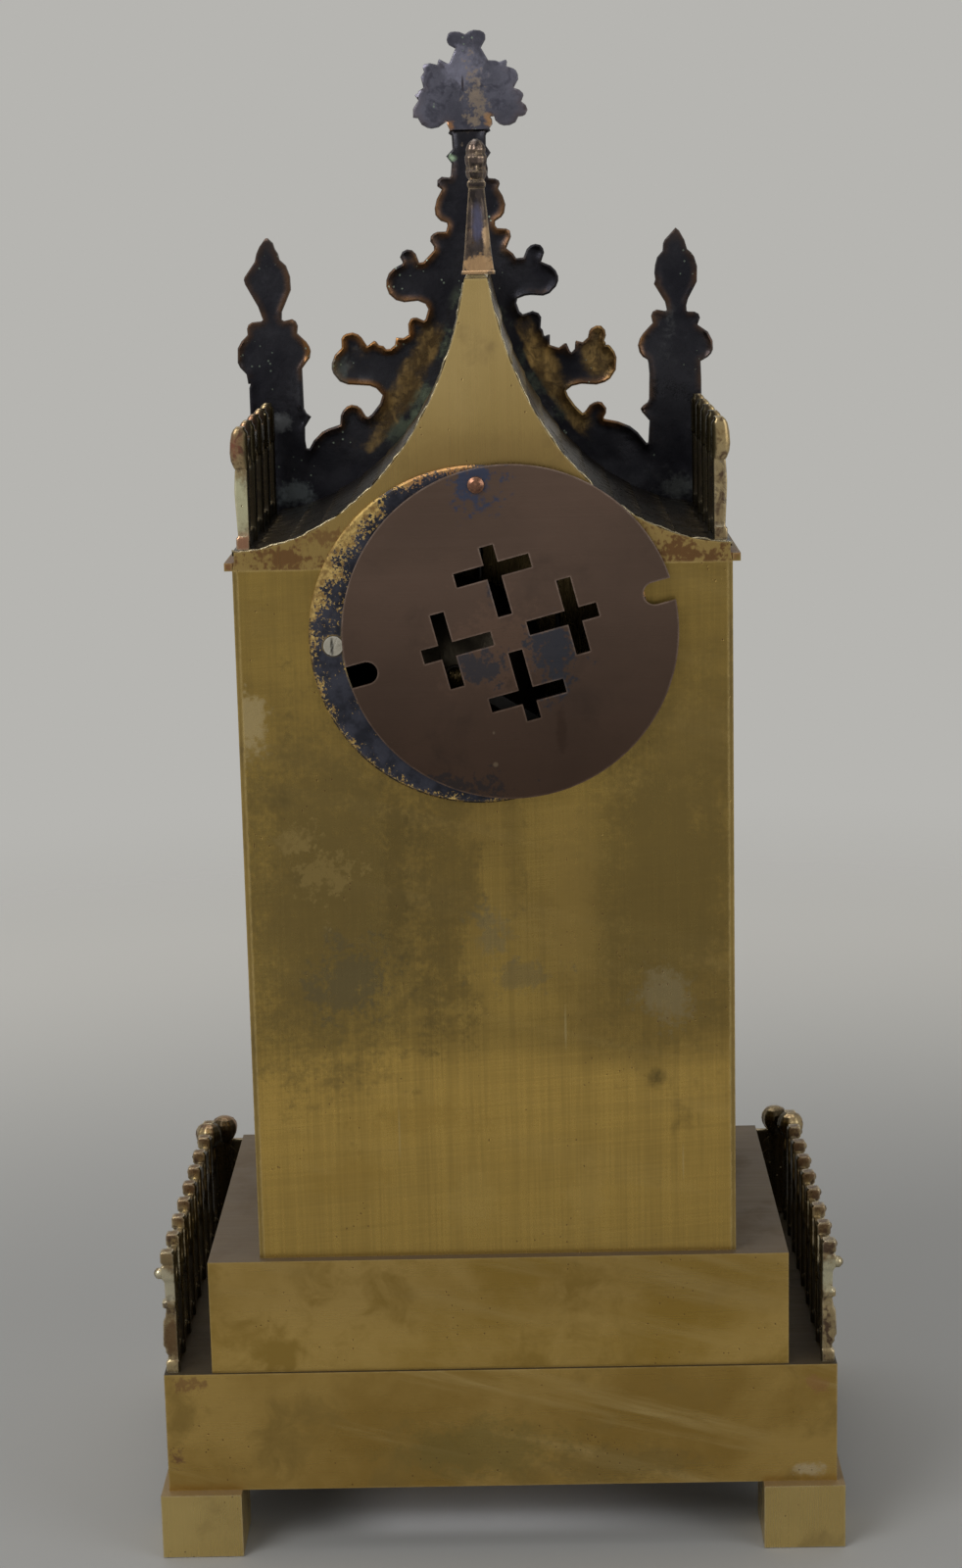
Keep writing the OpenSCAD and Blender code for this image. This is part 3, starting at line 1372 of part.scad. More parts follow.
module strike_wheels() {
  color(brass)
    about_movement() {
      translate([pin_at[0], 0, pin_at[1]])
        union() {
          upright(pin_y, pin_y + wheel_t)
            crossed_wheel(pin_teeth, pin_size, heading(pin_at, warn_at), 4, 2.4, lift_r - 1.2);
          upright(strike_great_y - 0.7, strike_great_y + 3)
            toothed(great_pinion, great_size, heading(pin_at, strike_at), true);
          for (k = [0:7]) rotate([0, 22.5 + 45 * k, 0]) rod_y(lift_r, 0, pin_y - 2.6, pin_y + 0.2, 0.55);
          arbor();
        }
      translate([warn_at[0], 0, warn_at[1]])
        union() {
          upright(warn_y, warn_y + wheel_t)
            crossed_wheel(warn_teeth, warn_size, heading(warn_at, fly_at), 4, 1.4);
          upright(pin_y - 1.3, pin_y + 2.7)
            toothed(warn_pinion, pin_size, heading(warn_at, pin_at), true);
          rod_y(0, 0, front_y1 + 0.3, back_y0 - 0.3, 0.8);
          rod_y(0, 0, front_y0 + 0.4, back_y1 - 0.4, pivot_r);
        }
      translate([fly_at[0], 0, fly_at[1]])
        union() {
          upright(warn_y - 1.3, warn_y + 2.7)
            toothed(warn_pinion, warn_size, heading(fly_at, warn_at), true);
          block(-4.4, 4.4, warn_y + 5, warn_y + 17, -0.35, 0.35);
          rod_y(0, 0, front_y1 + 0.3, back_y0 - 0.3, 0.75);
          rod_y(0, 0, front_y0 + 0.4, back_y1 - 0.4, pivot_r);
        }
    }
}

// Anchor with its crutch, and the cock that carries its back pivot and the pendulum
contact_angle = 48;
nib = escape_r - 0.65;
crutch_len = 46;
pendulum_y = back_y1 + 12;
crutch_y = back_y1 + 2.8;
pendulum_rod_r = 1.1;
swing_gap = 0.25;
cock_y = back_y1 + 7;

module anchor_half() {
  tip = [nib * sin(contact_angle), nib * cos(contact_angle) - 12];
  out = [(escape_r + 1) * sin(contact_angle + 4), (escape_r + 1) * cos(contact_angle + 4) - 12];
  polygon([[0, 1.9], [5.2, -0.6], [out[0] + 1.3, out[1] + 0.6], tip + [0.25, -0.1], tip,
    out + [-0.5, 1.4], [4.4, -2.6], [0, -1.3]]);
}

module anchor() {
  color(steel)
    about_movement()
      translate([pallet_at[0], 0, pallet_at[1]])
        union() {
          upright(escape_y - 0.2, escape_y + 1.3) for (s = [0, 1]) mirror([s, 0]) anchor_half();
          rod_y(0, 0, escape_y - 1, escape_y + 2, 2);
          rod_y(0, 0, front_y1 + 0.3, crutch_y + 2, arbor_r);
          rod_y(0, 0, front_y0 - 0.6, cock_y + 1.4, pivot_r);
          upright(crutch_y, crutch_y + 1.2) {
            circle(r = 2.2);
            translate([-0.8, -crutch_len]) square([1.6, crutch_len]);
            translate([-2.6, -crutch_len - 2]) square([5.2, 3]);
          }
          for (sx = [-1, 1])
            block(min(sx * (pendulum_rod_r + swing_gap), sx * (pendulum_rod_r + swing_gap + 1.1)),
              max(sx * (pendulum_rod_r + swing_gap), sx * (pendulum_rod_r + swing_gap + 1.1)),
              crutch_y + 1, pendulum_y + 2.2, -crutch_len - 2, -crutch_len + 1);
        }
}

module back_cock() {
  color(brass)
    about_movement()
      difference() {
        union() {
          block(-14, 14, cock_y, cock_y + 1.6, pallet_up - 4, pallet_up + 4);
          block(-5, 5, cock_y, cock_y + 1.6, pallet_up + 3, pallet_up + 11);
          for (sx = [-1, 1]) {
            block(min(sx * 9.5, sx * 14), max(sx * 9.5, sx * 14), back_y1, cock_y + 0.1,
              pallet_up - 4, pallet_up + 1);
            rod_y(sx * 11.8, pallet_up - 0.5, cock_y + 1.5, cock_y + 2.7, 1.7);
          }
          block(-4, 4, cock_y + 1.5, pendulum_y + 4, pallet_up + 6, pallet_up + 10.5);
          block(-4, 4, pendulum_y - 3, pendulum_y + 3, pallet_up + 0.6, pallet_up + 7);
        }
        rod_y(0, pallet_up, cock_y - 1, cock_y + 1.45, pivot_r + run_gap);
        block(-0.35, 0.35, pendulum_y - 2.4, pendulum_y + 2.4, pallet_up, pallet_up + 2.4);
      }
}

chop_h = 4;
spring_drop = 7;
rod_top = pallet_up - spring_drop;
bob_at = pallet_up - pendulum_len;
bob_t = 13;

module suspension_spring() {
  color(steel)
    about_movement()
      block(-0.15, 0.15, pendulum_y - 2, pendulum_y + 2, rod_top, pallet_up + 1.6);
}

module pendulum_rod() {
  color(steel)
    about_movement()
      union() {
        difference() {
          block(-1.8, 1.8, pendulum_y - 2.6, pendulum_y + 2.6, rod_top - chop_h, rod_top + 1.4);
          block(-0.17, 0.17, pendulum_y - 2.05, pendulum_y + 2.05, rod_top - 0.02, rod_top + 2);
        }
        translate([0, pendulum_y, bob_at - bob_r - 9])
          cylinder(h = rod_top - chop_h + 0.1 - bob_at + bob_r + 9, r = pendulum_rod_r);
      }
}

module pendulum_bob() {
  color(gilt)
    about_movement()
      difference() {
        turned_y(0, bob_at, pendulum_y - bob_t / 2)
          polygon([[0, 0], [bob_r * 0.42, 0.5], [bob_r * 0.78, 2.2], [bob_r - 0.8, bob_t / 2 - 1.1],
            [bob_r, bob_t / 2 - 0.6], [bob_r, bob_t / 2 + 0.6], [bob_r - 0.8, bob_t / 2 + 1.1],
            [bob_r * 0.78, bob_t - 2.2], [bob_r * 0.42, bob_t - 0.5], [0, bob_t]]);
        translate([0, pendulum_y, bob_at - bob_r - 1])
          cylinder(h = 2 * bob_r + 2, r = pendulum_rod_r + run_gap);
      }
}

module rating_nut() {
  color(brass)
    about_movement()
      translate([0, pendulum_y, bob_at - bob_r - 3.6])
        difference() {
          union() {
            cylinder(h = 2.4, r = 4);
            translate([0, 0, 2.3]) cylinder(h = 1.2, r1 = 3, r2 = 2.2);
          }
          translate([0, 0, -1]) cylinder(h = 6, r = pendulum_rod_r + 0.02);
        }
}

// Count wheel with its notches, on the outside of the back plate
count_r = 14.8;
count_y = back_y1 + 0.8;
count_steps = [1, 2, 3, 4, 5, 6, 7, 8, 9, 10, 11, 12];
function steps_before(n) = n <= 0 ? 0 : count_steps[n - 1] + 1 + steps_before(n - 1);

module count_wheel() {
  color(brass)
    about_movement()
      translate([strike_at[0], 0, strike_at[1]])
        union() {
          upright(count_y, count_y + 1)
            difference() {
              circle(r = count_r);
              for (n = [0:11]) rotate(-360 * steps_before(n) / 90) translate([count_r - 1.6, -0.5])
                square([3, 1]);
              crossings(count_r - 4, 3.4, 4, 2.4);
            }
          rod_y(0, 0, back_y1, count_y + 2.4, 1.6);
        }
}

// Bell, its stand and the hammer that strikes its rim
bell_wall = 1.3;
bell_behind = 32.3;
bell_apex_y = pendulum_y + bell_behind;
bell_arc_r = (bell_r * bell_r + bell_h * bell_h) / (2 * bell_h);
bell_top_y = bell_apex_y + 0.2;

module bell_section() {
  difference() {
    intersection() {
      translate([0, bell_apex_y - bell_arc_r]) circle(r = bell_arc_r);
      translate([1.55, bell_apex_y - bell_h]) square([bell_r + 5, bell_h + 2]);
    }
    translate([0, bell_apex_y - bell_arc_r]) circle(r = bell_arc_r - bell_wall);
  }
}

module bell() {
  color([0.5, 0.46, 0.38])
    about_movement() turned_y(bell_at[0], bell_at[1], 0) bell_section();
}

module bell_stand() {
  reach = norm(bell_at - bell_foot_at);
  color(steel)
    about_movement()
      union() {
        rod_y(bell_foot_at[0], bell_foot_at[1], back_y0 + 0.3, back_y1 + 0.2, 1.5);
        rod_y(bell_foot_at[0], bell_foot_at[1], back_y1, back_y1 + 1.4, 2.8);
        rod_y(bell_foot_at[0], bell_foot_at[1], back_y1, bell_top_y + 2.2, 2);
        translate([bell_foot_at[0], 0, bell_foot_at[1]]) rotate([0, -heading(bell_foot_at, bell_at), 0])
          block(0, reach, bell_top_y, bell_top_y + 2.2, -2, 2);
        rod_y(bell_at[0], bell_at[1], bell_top_y, bell_top_y + 2.2, 3.4);
        rod_y(bell_at[0], bell_at[1], bell_apex_y - bell_wall - 3, bell_top_y + 6, 1.5);
      }
}

module bell_nut() {
  color(gilt)
    about_movement()
      difference() {
        union() {
          turned_y(bell_at[0], bell_at[1], bell_top_y + 2.3)
            polygon([[0, 0], [3, 0], [3.2, 1.6], [2.6, 3.2], [1.4, 4.2], [0, 4.4]]);
          rod_y(bell_at[0], bell_at[1], bell_apex_y - bell_wall - 2.6, bell_apex_y - bell_wall - 0.5, 3);
        }
        rod_y(bell_at[0], bell_at[1], bell_apex_y - 8, bell_top_y + 6.2, 1.52);
      }
}

hammer_head_r = 3.3;
hammer_gap = 0.8;
head_y = bell_apex_y - bell_h + 3;
head_at = [bell_at[0] - bell_r - hammer_gap - hammer_head_r, bell_at[1] + 4];

hammer_tail = 13.2;

module hammer() {
  from = [hammer_at[0], back_y1 + 3.5, hammer_at[1]];
  to = [head_at[0], head_y, head_at[1]];
  run = to - from;
  color(steel)
    about_movement()
      union() {
        rod_y(hammer_at[0], hammer_at[1], front_y0 + 0.3, back_y1 + 5.4, arbor_r);
        rod_y(hammer_at[0], hammer_at[1], back_y1 + 1, back_y1 + 5, 2.6);
        translate([hammer_at[0], 0, hammer_at[1]]) upright(pin_y - 2.5, pin_y - 1.2) {
          circle(r = 2);
          polygon([[-0.9, 0], [0.9, 0], [-0.6, -hammer_tail], [-1.8, -hammer_tail]]);
        }
        translate(from) rotate([0, acos(run[2] / norm(run)), atan2(run[1], run[0])])
          cylinder(h = norm(run), r = 0.85);
        rod_y(head_at[0], head_at[1], head_y - 3.6, head_y + 3.6, hammer_head_r);
      }
}

feet();
foot_screws();
lower_plinth();
upper_plinth();
case_back();
case_sides();
tie_rods();
tie_nuts();
eave_cornices();
gable_plate();
roof_left();
roof_right();
ridge_strip();
ridge_finial();
roof_galleries();
facade();
facade_tracery();
facade_piers();
base_side_galleries();
base_front_gallery();
rear_ring();
ring_screws();
cover_rivet();
rear_cover();
front_ring();
movement_straps();
dial();
bezel_frame();
dial_glass();
bezel_pin();
hour_hand();
minute_hand();
hand_nut();
front_plate();
back_plate();
pillars();
spring_barrels();
going_arbor();
strike_arbor();
winding_clicks();
cannon_pinion();
minute_wheel();
hour_wheel();
intermediate_wheel();
centre_wheel();
third_wheel();
escape_wheel();
strike_wheels();
anchor();
back_cock();
suspension_spring();
pendulum_rod();
pendulum_bob();
rating_nut();
count_wheel();
hammer();
bell();
bell_stand();
bell_nut();
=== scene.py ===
"""Dresses the gothic mantel clock: studio, camera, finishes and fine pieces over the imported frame."""

import logging
import math
from dataclasses import dataclass, field, replace
from enum import Enum
from functools import reduce
from typing import Any, Callable, Sequence

import bpy
import numpy as np
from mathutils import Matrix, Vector
from mathutils.geometry import delaunay_2d_cdt

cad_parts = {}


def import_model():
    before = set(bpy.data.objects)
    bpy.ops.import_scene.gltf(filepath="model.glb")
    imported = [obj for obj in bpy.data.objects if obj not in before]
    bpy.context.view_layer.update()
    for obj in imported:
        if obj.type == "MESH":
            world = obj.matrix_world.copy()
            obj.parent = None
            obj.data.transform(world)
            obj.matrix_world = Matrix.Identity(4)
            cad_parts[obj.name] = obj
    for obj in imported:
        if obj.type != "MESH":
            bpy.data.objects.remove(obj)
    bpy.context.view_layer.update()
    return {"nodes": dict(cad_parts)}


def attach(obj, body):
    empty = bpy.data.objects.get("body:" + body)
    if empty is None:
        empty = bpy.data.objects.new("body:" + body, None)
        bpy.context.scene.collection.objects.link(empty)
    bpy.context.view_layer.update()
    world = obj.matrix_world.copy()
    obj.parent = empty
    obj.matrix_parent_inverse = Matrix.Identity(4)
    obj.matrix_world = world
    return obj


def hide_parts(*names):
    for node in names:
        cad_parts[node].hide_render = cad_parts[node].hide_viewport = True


log = logging.getLogger("clock")
MM = 0.001
CHUNK = 2000
FAR_IN = 9.0
Colour = tuple[float, float, float]
Place = tuple[float, float, float]
Tree = bpy.types.NodeTree
Socket = bpy.types.NodeSocket
Material = bpy.types.Material
Depth = Callable[[np.ndarray, np.ndarray, np.ndarray], np.ndarray]


class Body(Enum):
    """The rigid bodies that the new pieces ride on."""

    CASE = "case"


class Axis(Enum):
    """The axis that a flat piece faces."""

    X = 0
    Y = 1


# ---------------------------------------------------------------- node helpers


class Graph:
    """A thin wrapper round a node tree, for short building code."""

    def __init__(self, tree: Tree) -> None:
        """Keeps the tree and empties it."""
        self.tree = tree
        tree.nodes.clear()

    def add(self, kind: str, **settings: Any) -> bpy.types.Node:
        """Adds a node.

        Args:
            kind: the node's type, where ShaderNode is left out.
            **settings: attributes of the node; an input's value is given as in_NAME or in_INDEX.

        Returns:
            The new node.
        """
        node = self.tree.nodes.new(kind if kind.startswith("NodeGroup") else f"ShaderNode{kind}")
        for name, value in settings.items():
            if not name.startswith("in_"):
                setattr(node, name, value)
        for name, value in settings.items():
            if name.startswith("in_"):
                key = name[3:]
                self.feed(node.inputs[int(key) if key.isdigit() else key.replace("_", " ")], value)
        return node

    def feed(self, socket: Socket, value: Any) -> None:
        """Links an output to an input, or sets the input's own value."""
        if isinstance(value, bpy.types.NodeSocket):
            self.tree.links.new(value, socket)
        elif isinstance(value, tuple) and len(value) == 3 and socket.type == "RGBA":
            socket.default_value = (*value, 1.0)
        else:
            socket.default_value = value

    def out(self, kind: str, output: int | str = 0, **settings: Any) -> Socket:
        """Adds a node and returns one of its outputs."""
        return self.add(kind, **settings).outputs[output]

    def math(self, operation: str, a: Any, b: Any = 0.0, clamp: bool = False) -> Socket:
        """One Math node; returns its value."""
        return self.out("Math", operation=operation, use_clamp=clamp, in_0=a, in_1=b)

    def plus(self, a: Any, b: Any, clamp: bool = False) -> Socket:
        """Returns a + b."""
        return self.math("ADD", a, b, clamp)

    def minus(self, a: Any, b: Any) -> Socket:
        """Returns a - b."""
        return self.math("SUBTRACT", a, b)

    def times(self, *values: Any) -> Socket:
        """Returns the product of the values, taken in turn."""
        return reduce(lambda a, b: self.math("MULTIPLY", a, b), values)

    def vector(self, operation: str, *values: Any, output: str = "Vector") -> Socket:
        """One VectorMath node; returns the named output."""
        return self.out("VectorMath", output, operation=operation, **{f"in_{i}": v for i, v in enumerate(values)})

    def mix(self, factor: Any, a: Any, b: Any, blend: str = "MIX") -> Socket:
        """Mixes two colours; returns the result."""
        return self.out("Mix", 2, data_type="RGBA", blend_type=blend, in_0=factor, in_6=a, in_7=b)

    def over(self, colour: Any, tint: Any, *masks: Any) -> Socket:
        """Lays a tint over a colour, as strongly as the product of the masks says; returns the result."""
        return self.mix(self.times(*masks), colour, tint)

    def ramp(self, value: Any, low: Any, high: Any, start: float = 0.0, end: float = 1.0) -> Socket:
        """Maps low..high smoothly to start..end; returns the value."""
        return self.out("MapRange", interpolation_type="SMOOTHSTEP", in_0=value, in_1=low, in_2=high, in_3=start,
                        in_4=end)

    def noise(self, vector: Socket, scale: Any, detail: float = 4.0, rough: float = 0.55) -> Socket:
        """One noise texture; returns its value."""
        return self.out("TexNoise", in_Vector=vector, in_Scale=scale, in_Detail=detail, in_Roughness=rough)

    def place(self, vector: Socket, shift: Place = (0.0, 0.0, 0.0), turn: Place = (0.0, 0.0, 0.0),
              scale: Place = (1.0, 1.0, 1.0)) -> Socket:
        """Scales, turns and shifts a position; returns the new position."""
        return self.out("Mapping", in_Vector=vector, in_Location=shift, in_Rotation=turn, in_Scale=scale)

    def split(self, vector: Socket) -> tuple[Socket, Socket, Socket]:
        """Returns a vector's x, y and z."""
        return tuple(self.add("SeparateXYZ", in_0=vector).outputs)

    def attribute(self, name: str) -> Socket:
        """Returns a mesh's own value by its name."""
        return self.out("Attribute", "Fac", attribute_name=name)

    def effect(self, tree: Tree, vector: Socket, **values: Any) -> Socket:
        """Places one of the shared effects; returns its mask."""
        return self.out("Group", node_tree=tree, in_Vector=vector, **{f"in_{k}": v for k, v in values.items()})

    def close(self, mask: Socket) -> Tree:
        """Ends a node group with its mask; returns the group's tree."""
        self.feed(self.add("NodeGroupOutput").inputs[0], mask)
        return self.tree

    def either(self, factor: Socket, a: Socket, b: Socket) -> Socket:
        """Mixes two shaders; returns the result."""
        return self.out("MixShader", in_0=factor, in_1=a, in_2=b)

    def surface(self, colour: Any, rough: Any, metal: Any, height: Socket, strength: float, depth: float) -> None:
        """Ends a material with a bumped surface.

        Args:
            colour: its base colour.
            rough: its roughness.
            metal: how metallic it is.
            height: the bump's height.
            strength: the bump's strength.
            depth: the bump's depth in metres.
        """
        bump = self.out("Bump", in_Strength=strength, in_Distance=depth, in_Height=height)
        shader = self.out("BsdfPrincipled", in_Base_Color=colour, in_Roughness=rough, in_Metallic=metal,
                          in_Normal=bump)
        self.feed(self.add("OutputMaterial").inputs[0], shader)


def start_material(name: str) -> tuple[Material, Graph, Socket]:
    """Starts a material; returns it, its graph and the position on the piece."""
    material = bpy.data.materials.new(name)
    material.use_nodes = True
    g = Graph(material.node_tree)
    return material, g, g.out("TexCoord", "Object")


def start_group(name: str, **inputs: float | Place | None) -> tuple[Graph, list[Socket]]:
    """Starts a node group that makes a mask of a position.

    Args:
        name: the group's name.
        **inputs: the default of each input after Vector: a number, or a vector or None for a vector.

    Returns:
        Its graph and its inputs' sockets, Vector first.
    """
    tree = bpy.data.node_groups.new(name, "ShaderNodeTree")
    for label, default in {"Vector": None, **inputs}.items():
        kind = "NodeSocketFloat" if isinstance(default, float) else "NodeSocketVector"
        socket = tree.interface.new_socket(name=label, in_out="INPUT", socket_type=kind)
        if default is not None:
            socket.default_value = default
    tree.interface.new_socket(name="Mask", in_out="OUTPUT", socket_type="NodeSocketFloat")
    g = Graph(tree)
    return g, list(g.add("NodeGroupInput").outputs)[:len(inputs) + 1]


class Effects:
    """The shared effects, each a node group built once: blotches, brush marks, worn edges, specks and spots."""

    def __init__(self) -> None:
        """Builds the five groups."""
        self.blotches = self.build_blotches()
        self.brushing = self.build_brushing()
        self.edges = self.build_edges()
        self.specks = self.build_specks()
        self.spot = self.build_spot()

    @staticmethod
    def build_blotches() -> Tree:
        """Cloudy stains: noise warped by a coarser noise, then cut between Low and High."""
        g, (vector, scale, low, high) = start_group("blotches", Scale=20.0, Low=0.4, High=0.6)
        coarse = g.out("TexNoise", 1, in_Vector=vector, in_Scale=scale, in_Detail=2.0)
        warp = g.vector("MULTIPLY_ADD", coarse, (0.02, 0.02, 0.02), vector)
        return g.close(g.ramp(g.noise(warp, scale, 7.0, 0.6), low, high))

    @staticmethod
    def build_brushing() -> Tree:
        """Fine parallel marks: noise drawn out along Z, in two widths."""
        g, (vector, across, along) = start_group("brushing", Across=1500.0, Along=25.0)
        drawn = g.vector("MULTIPLY", vector, g.out("CombineXYZ", in_0=across, in_1=across, in_2=along))
        fine, wide = g.noise(drawn, 1.0, 3.0, 0.6), g.noise(drawn, 0.13, 3.0, 0.6)
        return g.close(g.ramp(g.plus(g.times(fine, 0.55), g.times(wide, 0.45)), 0.34, 0.66))

    @staticmethod
    def build_edges() -> Tree:
        """Worn edges: how far a rounded normal leans from the true one, broken up by noise."""
        g, (vector, breakup) = start_group("worn_edges", Breakup=0.5)
        bevel = g.out("Bevel", samples=4, in_Radius=0.0011)
        lean = g.vector("DOT_PRODUCT", bevel, g.out("NewGeometry", "True Normal"), output="Value")
        torn = g.ramp(g.noise(vector, 260.0, 5.0, 0.65), 0.38, 0.62)
        broken = g.plus(g.times(torn, breakup), g.minus(1.0, breakup))
        return g.close(g.math("MULTIPLY", g.ramp(lean, 0.985, 0.80), broken, True))

    @staticmethod
    def build_specks() -> Tree:
        """Scattered pits and spots: small Voronoi cells, kept where a coarse noise allows."""
        g, (vector, scale, size, spread) = start_group("specks", Scale=400.0, Size=0.2, Spread=0.5)
        dot = g.math("LESS_THAN", g.out("TexVoronoi", "Distance", in_Vector=vector, in_Scale=scale), size)
        return g.close(g.times(dot, g.math("LESS_THAN", g.noise(vector, 45.0, 3.0), spread)))

    @staticmethod
    def build_spot() -> Tree:
        """One soft-edged mark: 1 at Centre, 0 beyond Reach, with a ragged outline."""
        g, (vector, centre, reach, ragged) = start_group("spot", Centre=None, Reach=(0.01, 0.01, 0.01), Ragged=0.5)
        scaled = g.vector("DIVIDE", g.vector("SUBTRACT", vector, centre), reach)
        length = g.vector("LENGTH", scaled, output="Value")
        torn = g.plus(g.times(g.noise(vector, 110.0, 6.0, 0.65), 0.6), g.times(g.noise(vector, 620.0, 4.0, 0.6), 0.4))
        return g.close(g.ramp(g.plus(length, g.times(g.minus(torn, 0.5), ragged, 3.0)), 1.0, 0.35))


# ---------------------------------------------------------------- finishes


@dataclass(frozen=True)
class Mark:
    """A stain, a bright patch, or painted shade or sheen at a known place, in millimetres."""

    centre: Place
    reach: Place
    tint: Colour
    strength: float = 0.6
    ragged: float = 0.5

    def over(self, g: Graph, effects: Effects, here: Socket, colour: Socket, *masks: Socket) -> Socket:
        """Lays the mark over a colour; returns the result."""
        centre, reach = (tuple(v * MM for v in given) for given in (self.centre, self.reach))
        mask = g.effect(effects.spot, here, Centre=centre, Reach=reach, Ragged=self.ragged)
        return g.over(colour, self.tint, mask, self.strength, *masks)


def marks(y: float, deep: float, rows: Sequence[Sequence[float]]) -> tuple[Mark, ...]:
    """Makes the marks of one face.

    Args:
        y: the face's place.
        deep: how far they reach to both sides of it.
        rows: x, z, reach in x and z, red, green, blue, strength and raggedness of each.

    Returns:
        The marks.
    """
    return tuple(Mark((x, y, z), (wide, deep, high), (red, green, blue), strength, ragged)
                 for x, z, wide, high, red, green, blue, strength, ragged in rows)


@dataclass(frozen=True)
class AgedMetal:
    """Stained, brushed and edge-worn metal.

    The tones are mixed by cloudy masks: main to second by large blotches, then the stain tone by finer ones,
    then brush marks, marks at known places, and bright metal along the edges.
    """

    name: str
    main: Colour
    second: Colour
    stain: Colour
    bright: Colour
    scale: float = 14.0
    stain_scale: float = 42.0
    stain_low: float = 0.5
    stain_high: float = 0.75
    metal: float = 0.85
    rough: float = 0.38
    rough_swing: float = 0.16
    brush: float = 0.35
    brush_depth: float = 0.00002
    edge: float = 0.7
    pits: Colour = (0.10, 0.05, 0.02)
    pit_size: float = 0.13
    pit_spread: float = 0.42
    seed: Place = (0.0, 0.0, 0.0)
    marks: tuple[Mark, ...] = ()
    # band: a lighter tone below a height, painted as the floor's reflection in the metal.
    band: tuple[float, float, Colour] | None = None
    # Darkening by height, full at the first height and none at the second: painted shade on the gable and the roof, a
    # painted sheen gradient on the cover, and darker towards the top on the upper plinth.
    height_darkening: tuple[float, float, Colour] | None = None
    # Tone of the top faces and its strength: dust, and painted shade on the lower and upper plinths.
    dust_and_shade: tuple[Colour, float] | None = None
    # Bright tint where the rim value is small: reach, tint and strength; on the roof it is a painted highlight along
    # the scale lips.
    rim: tuple[float, Colour, float] | None = None
    # Painted shade inside the case: the switch, the box (half width, middle and half depth in metres) and its tint.
    dark_inside: bool = False
    inside: tuple[float, float, float] = (0.0768, 0.0108, 0.0571)
    inside_tint: Colour = (0.035, 0.026, 0.017)
    # Painted shade on the faces that look towards the clock: tint and strength, and the axis they look along.
    inner: tuple[Colour, float] | None = None
    inner_axis: int = 0
    # Tint of the painted shade laid by the mesh's own values, as on the gallery posts behind the nearest one.
    painted_shade: Colour | None = None
    level: bool = False
    sweeps: float = 0.0
    crossed: float = 0.0

    def brushed(self, g: Graph, effects: Effects, moved: Socket) -> Socket:
        """Brush marks that run upright, level, or both ways; returns their mask."""
        lay = moved
        if self.level:
            x, y, z = g.split(moved)
            lay = g.out("CombineXYZ", in_0=z, in_1=y, in_2=x)
        brush = g.effect(effects.brushing, lay)
        if self.crossed:
            turned = g.place(moved, turn=(0.0, 1.5, 0.0))
            brush = g.mix(self.crossed, brush, g.effect(effects.brushing, turned))
        return brush

    def shaded(self, g: Graph, here: Socket, colour: Socket) -> Socket:
        """Darkens the colour towards a height, and paints shade inside the case and where the mesh's own values say;
        returns the result.
        """
        x, y, z = g.split(here)
        # Darkening by height: painted shade on the gable and the roof, a painted sheen gradient on the cover.
        if self.height_darkening:
            low, high, tint = self.height_darkening
            shade = g.mix(g.ramp(z, high * MM, low * MM), (1.0, 1.0, 1.0), tint)
            colour = g.mix(1.0, colour, shade, "MULTIPLY")
        # Painted shade inside the case.
        if self.dark_inside:
            half, middle, depth = self.inside
            within = g.times(g.math("LESS_THAN", g.math("ABSOLUTE", x), half),
                             g.math("LESS_THAN", g.math("ABSOLUTE", g.minus(y, middle)), depth))
            colour = g.mix(within, colour, self.inside_tint)
        # Painted shade where the mesh's own values say, as on the gallery posts behind the nearest one.
        if self.painted_shade:
            colour = g.over(colour, self.painted_shade, g.attribute("painted_shade"), 0.95)
        return colour

    def build(self, effects: Effects) -> Material:
        """Builds the material.

        Args:
            effects: the shared node groups.

        Returns:
            The new material.
        """
        material, g, here = start_material(self.name)
        moved = g.place(here, shift=self.seed)
        large = g.effect(effects.blotches, moved, Scale=self.scale, Low=0.36, High=0.64)
        fine = g.effect(effects.blotches, moved, Scale=self.stain_scale, Low=self.stain_low, High=self.stain_high)
        brush = self.brushed(g, effects, moved)
        pits = g.effect(effects.specks, moved, Scale=420.0, Size=self.pit_size, Spread=self.pit_spread)
        normal = g.out("NewGeometry", "Normal")
        colour = g.mix(large, self.main, self.second)
        # Painted reflection: below a wavy height the colour turns to the band's lighter tint, as the floor seen in the
        # metal.
        if self.band:
            low, high, tint = self.band
            wave = g.times(g.minus(g.noise(moved, 9.0, 3.0), 0.5), 0.05)
            colour = g.mix(g.ramp(g.plus(g.split(here)[2], wave), high, low), colour, tint)
        colour = g.mix(fine, colour, self.stain)
        colour = g.over(colour, g.mix(0.55, colour, self.stain), g.minus(1.0, brush), self.brush)
        if self.sweeps:
            swept = g.place(g.place(moved, turn=(0.0, 0.26, 0.0)), scale=(8.0, 8.0, 105.0))
            streak = g.ramp(g.noise(swept, 1.0, 6.0, 0.62), 0.46, 0.70)
            colour = g.over(colour, self.bright, streak, large, self.sweeps)
        for mark in self.marks:
            colour = mark.over(g, effects, here, colour)
        colour = g.over(colour, self.pits, pits, 0.7)
        colour = g.over(colour, self.bright, g.effect(effects.edges, moved, Breakup=0.6), self.edge)
        # Bright tint by the rim value; on the roof a painted highlight on the scale lips.
        if self.rim:
            reach, tint, strength = self.rim
            torn = g.ramp(g.noise(moved, 120.0, 6.0, 0.7), 0.36, 0.60)
            colour = g.over(colour, tint, g.ramp(g.attribute("rim"), reach, 0.0), torn, strength)
        colour = self.shaded(g, here, colour)
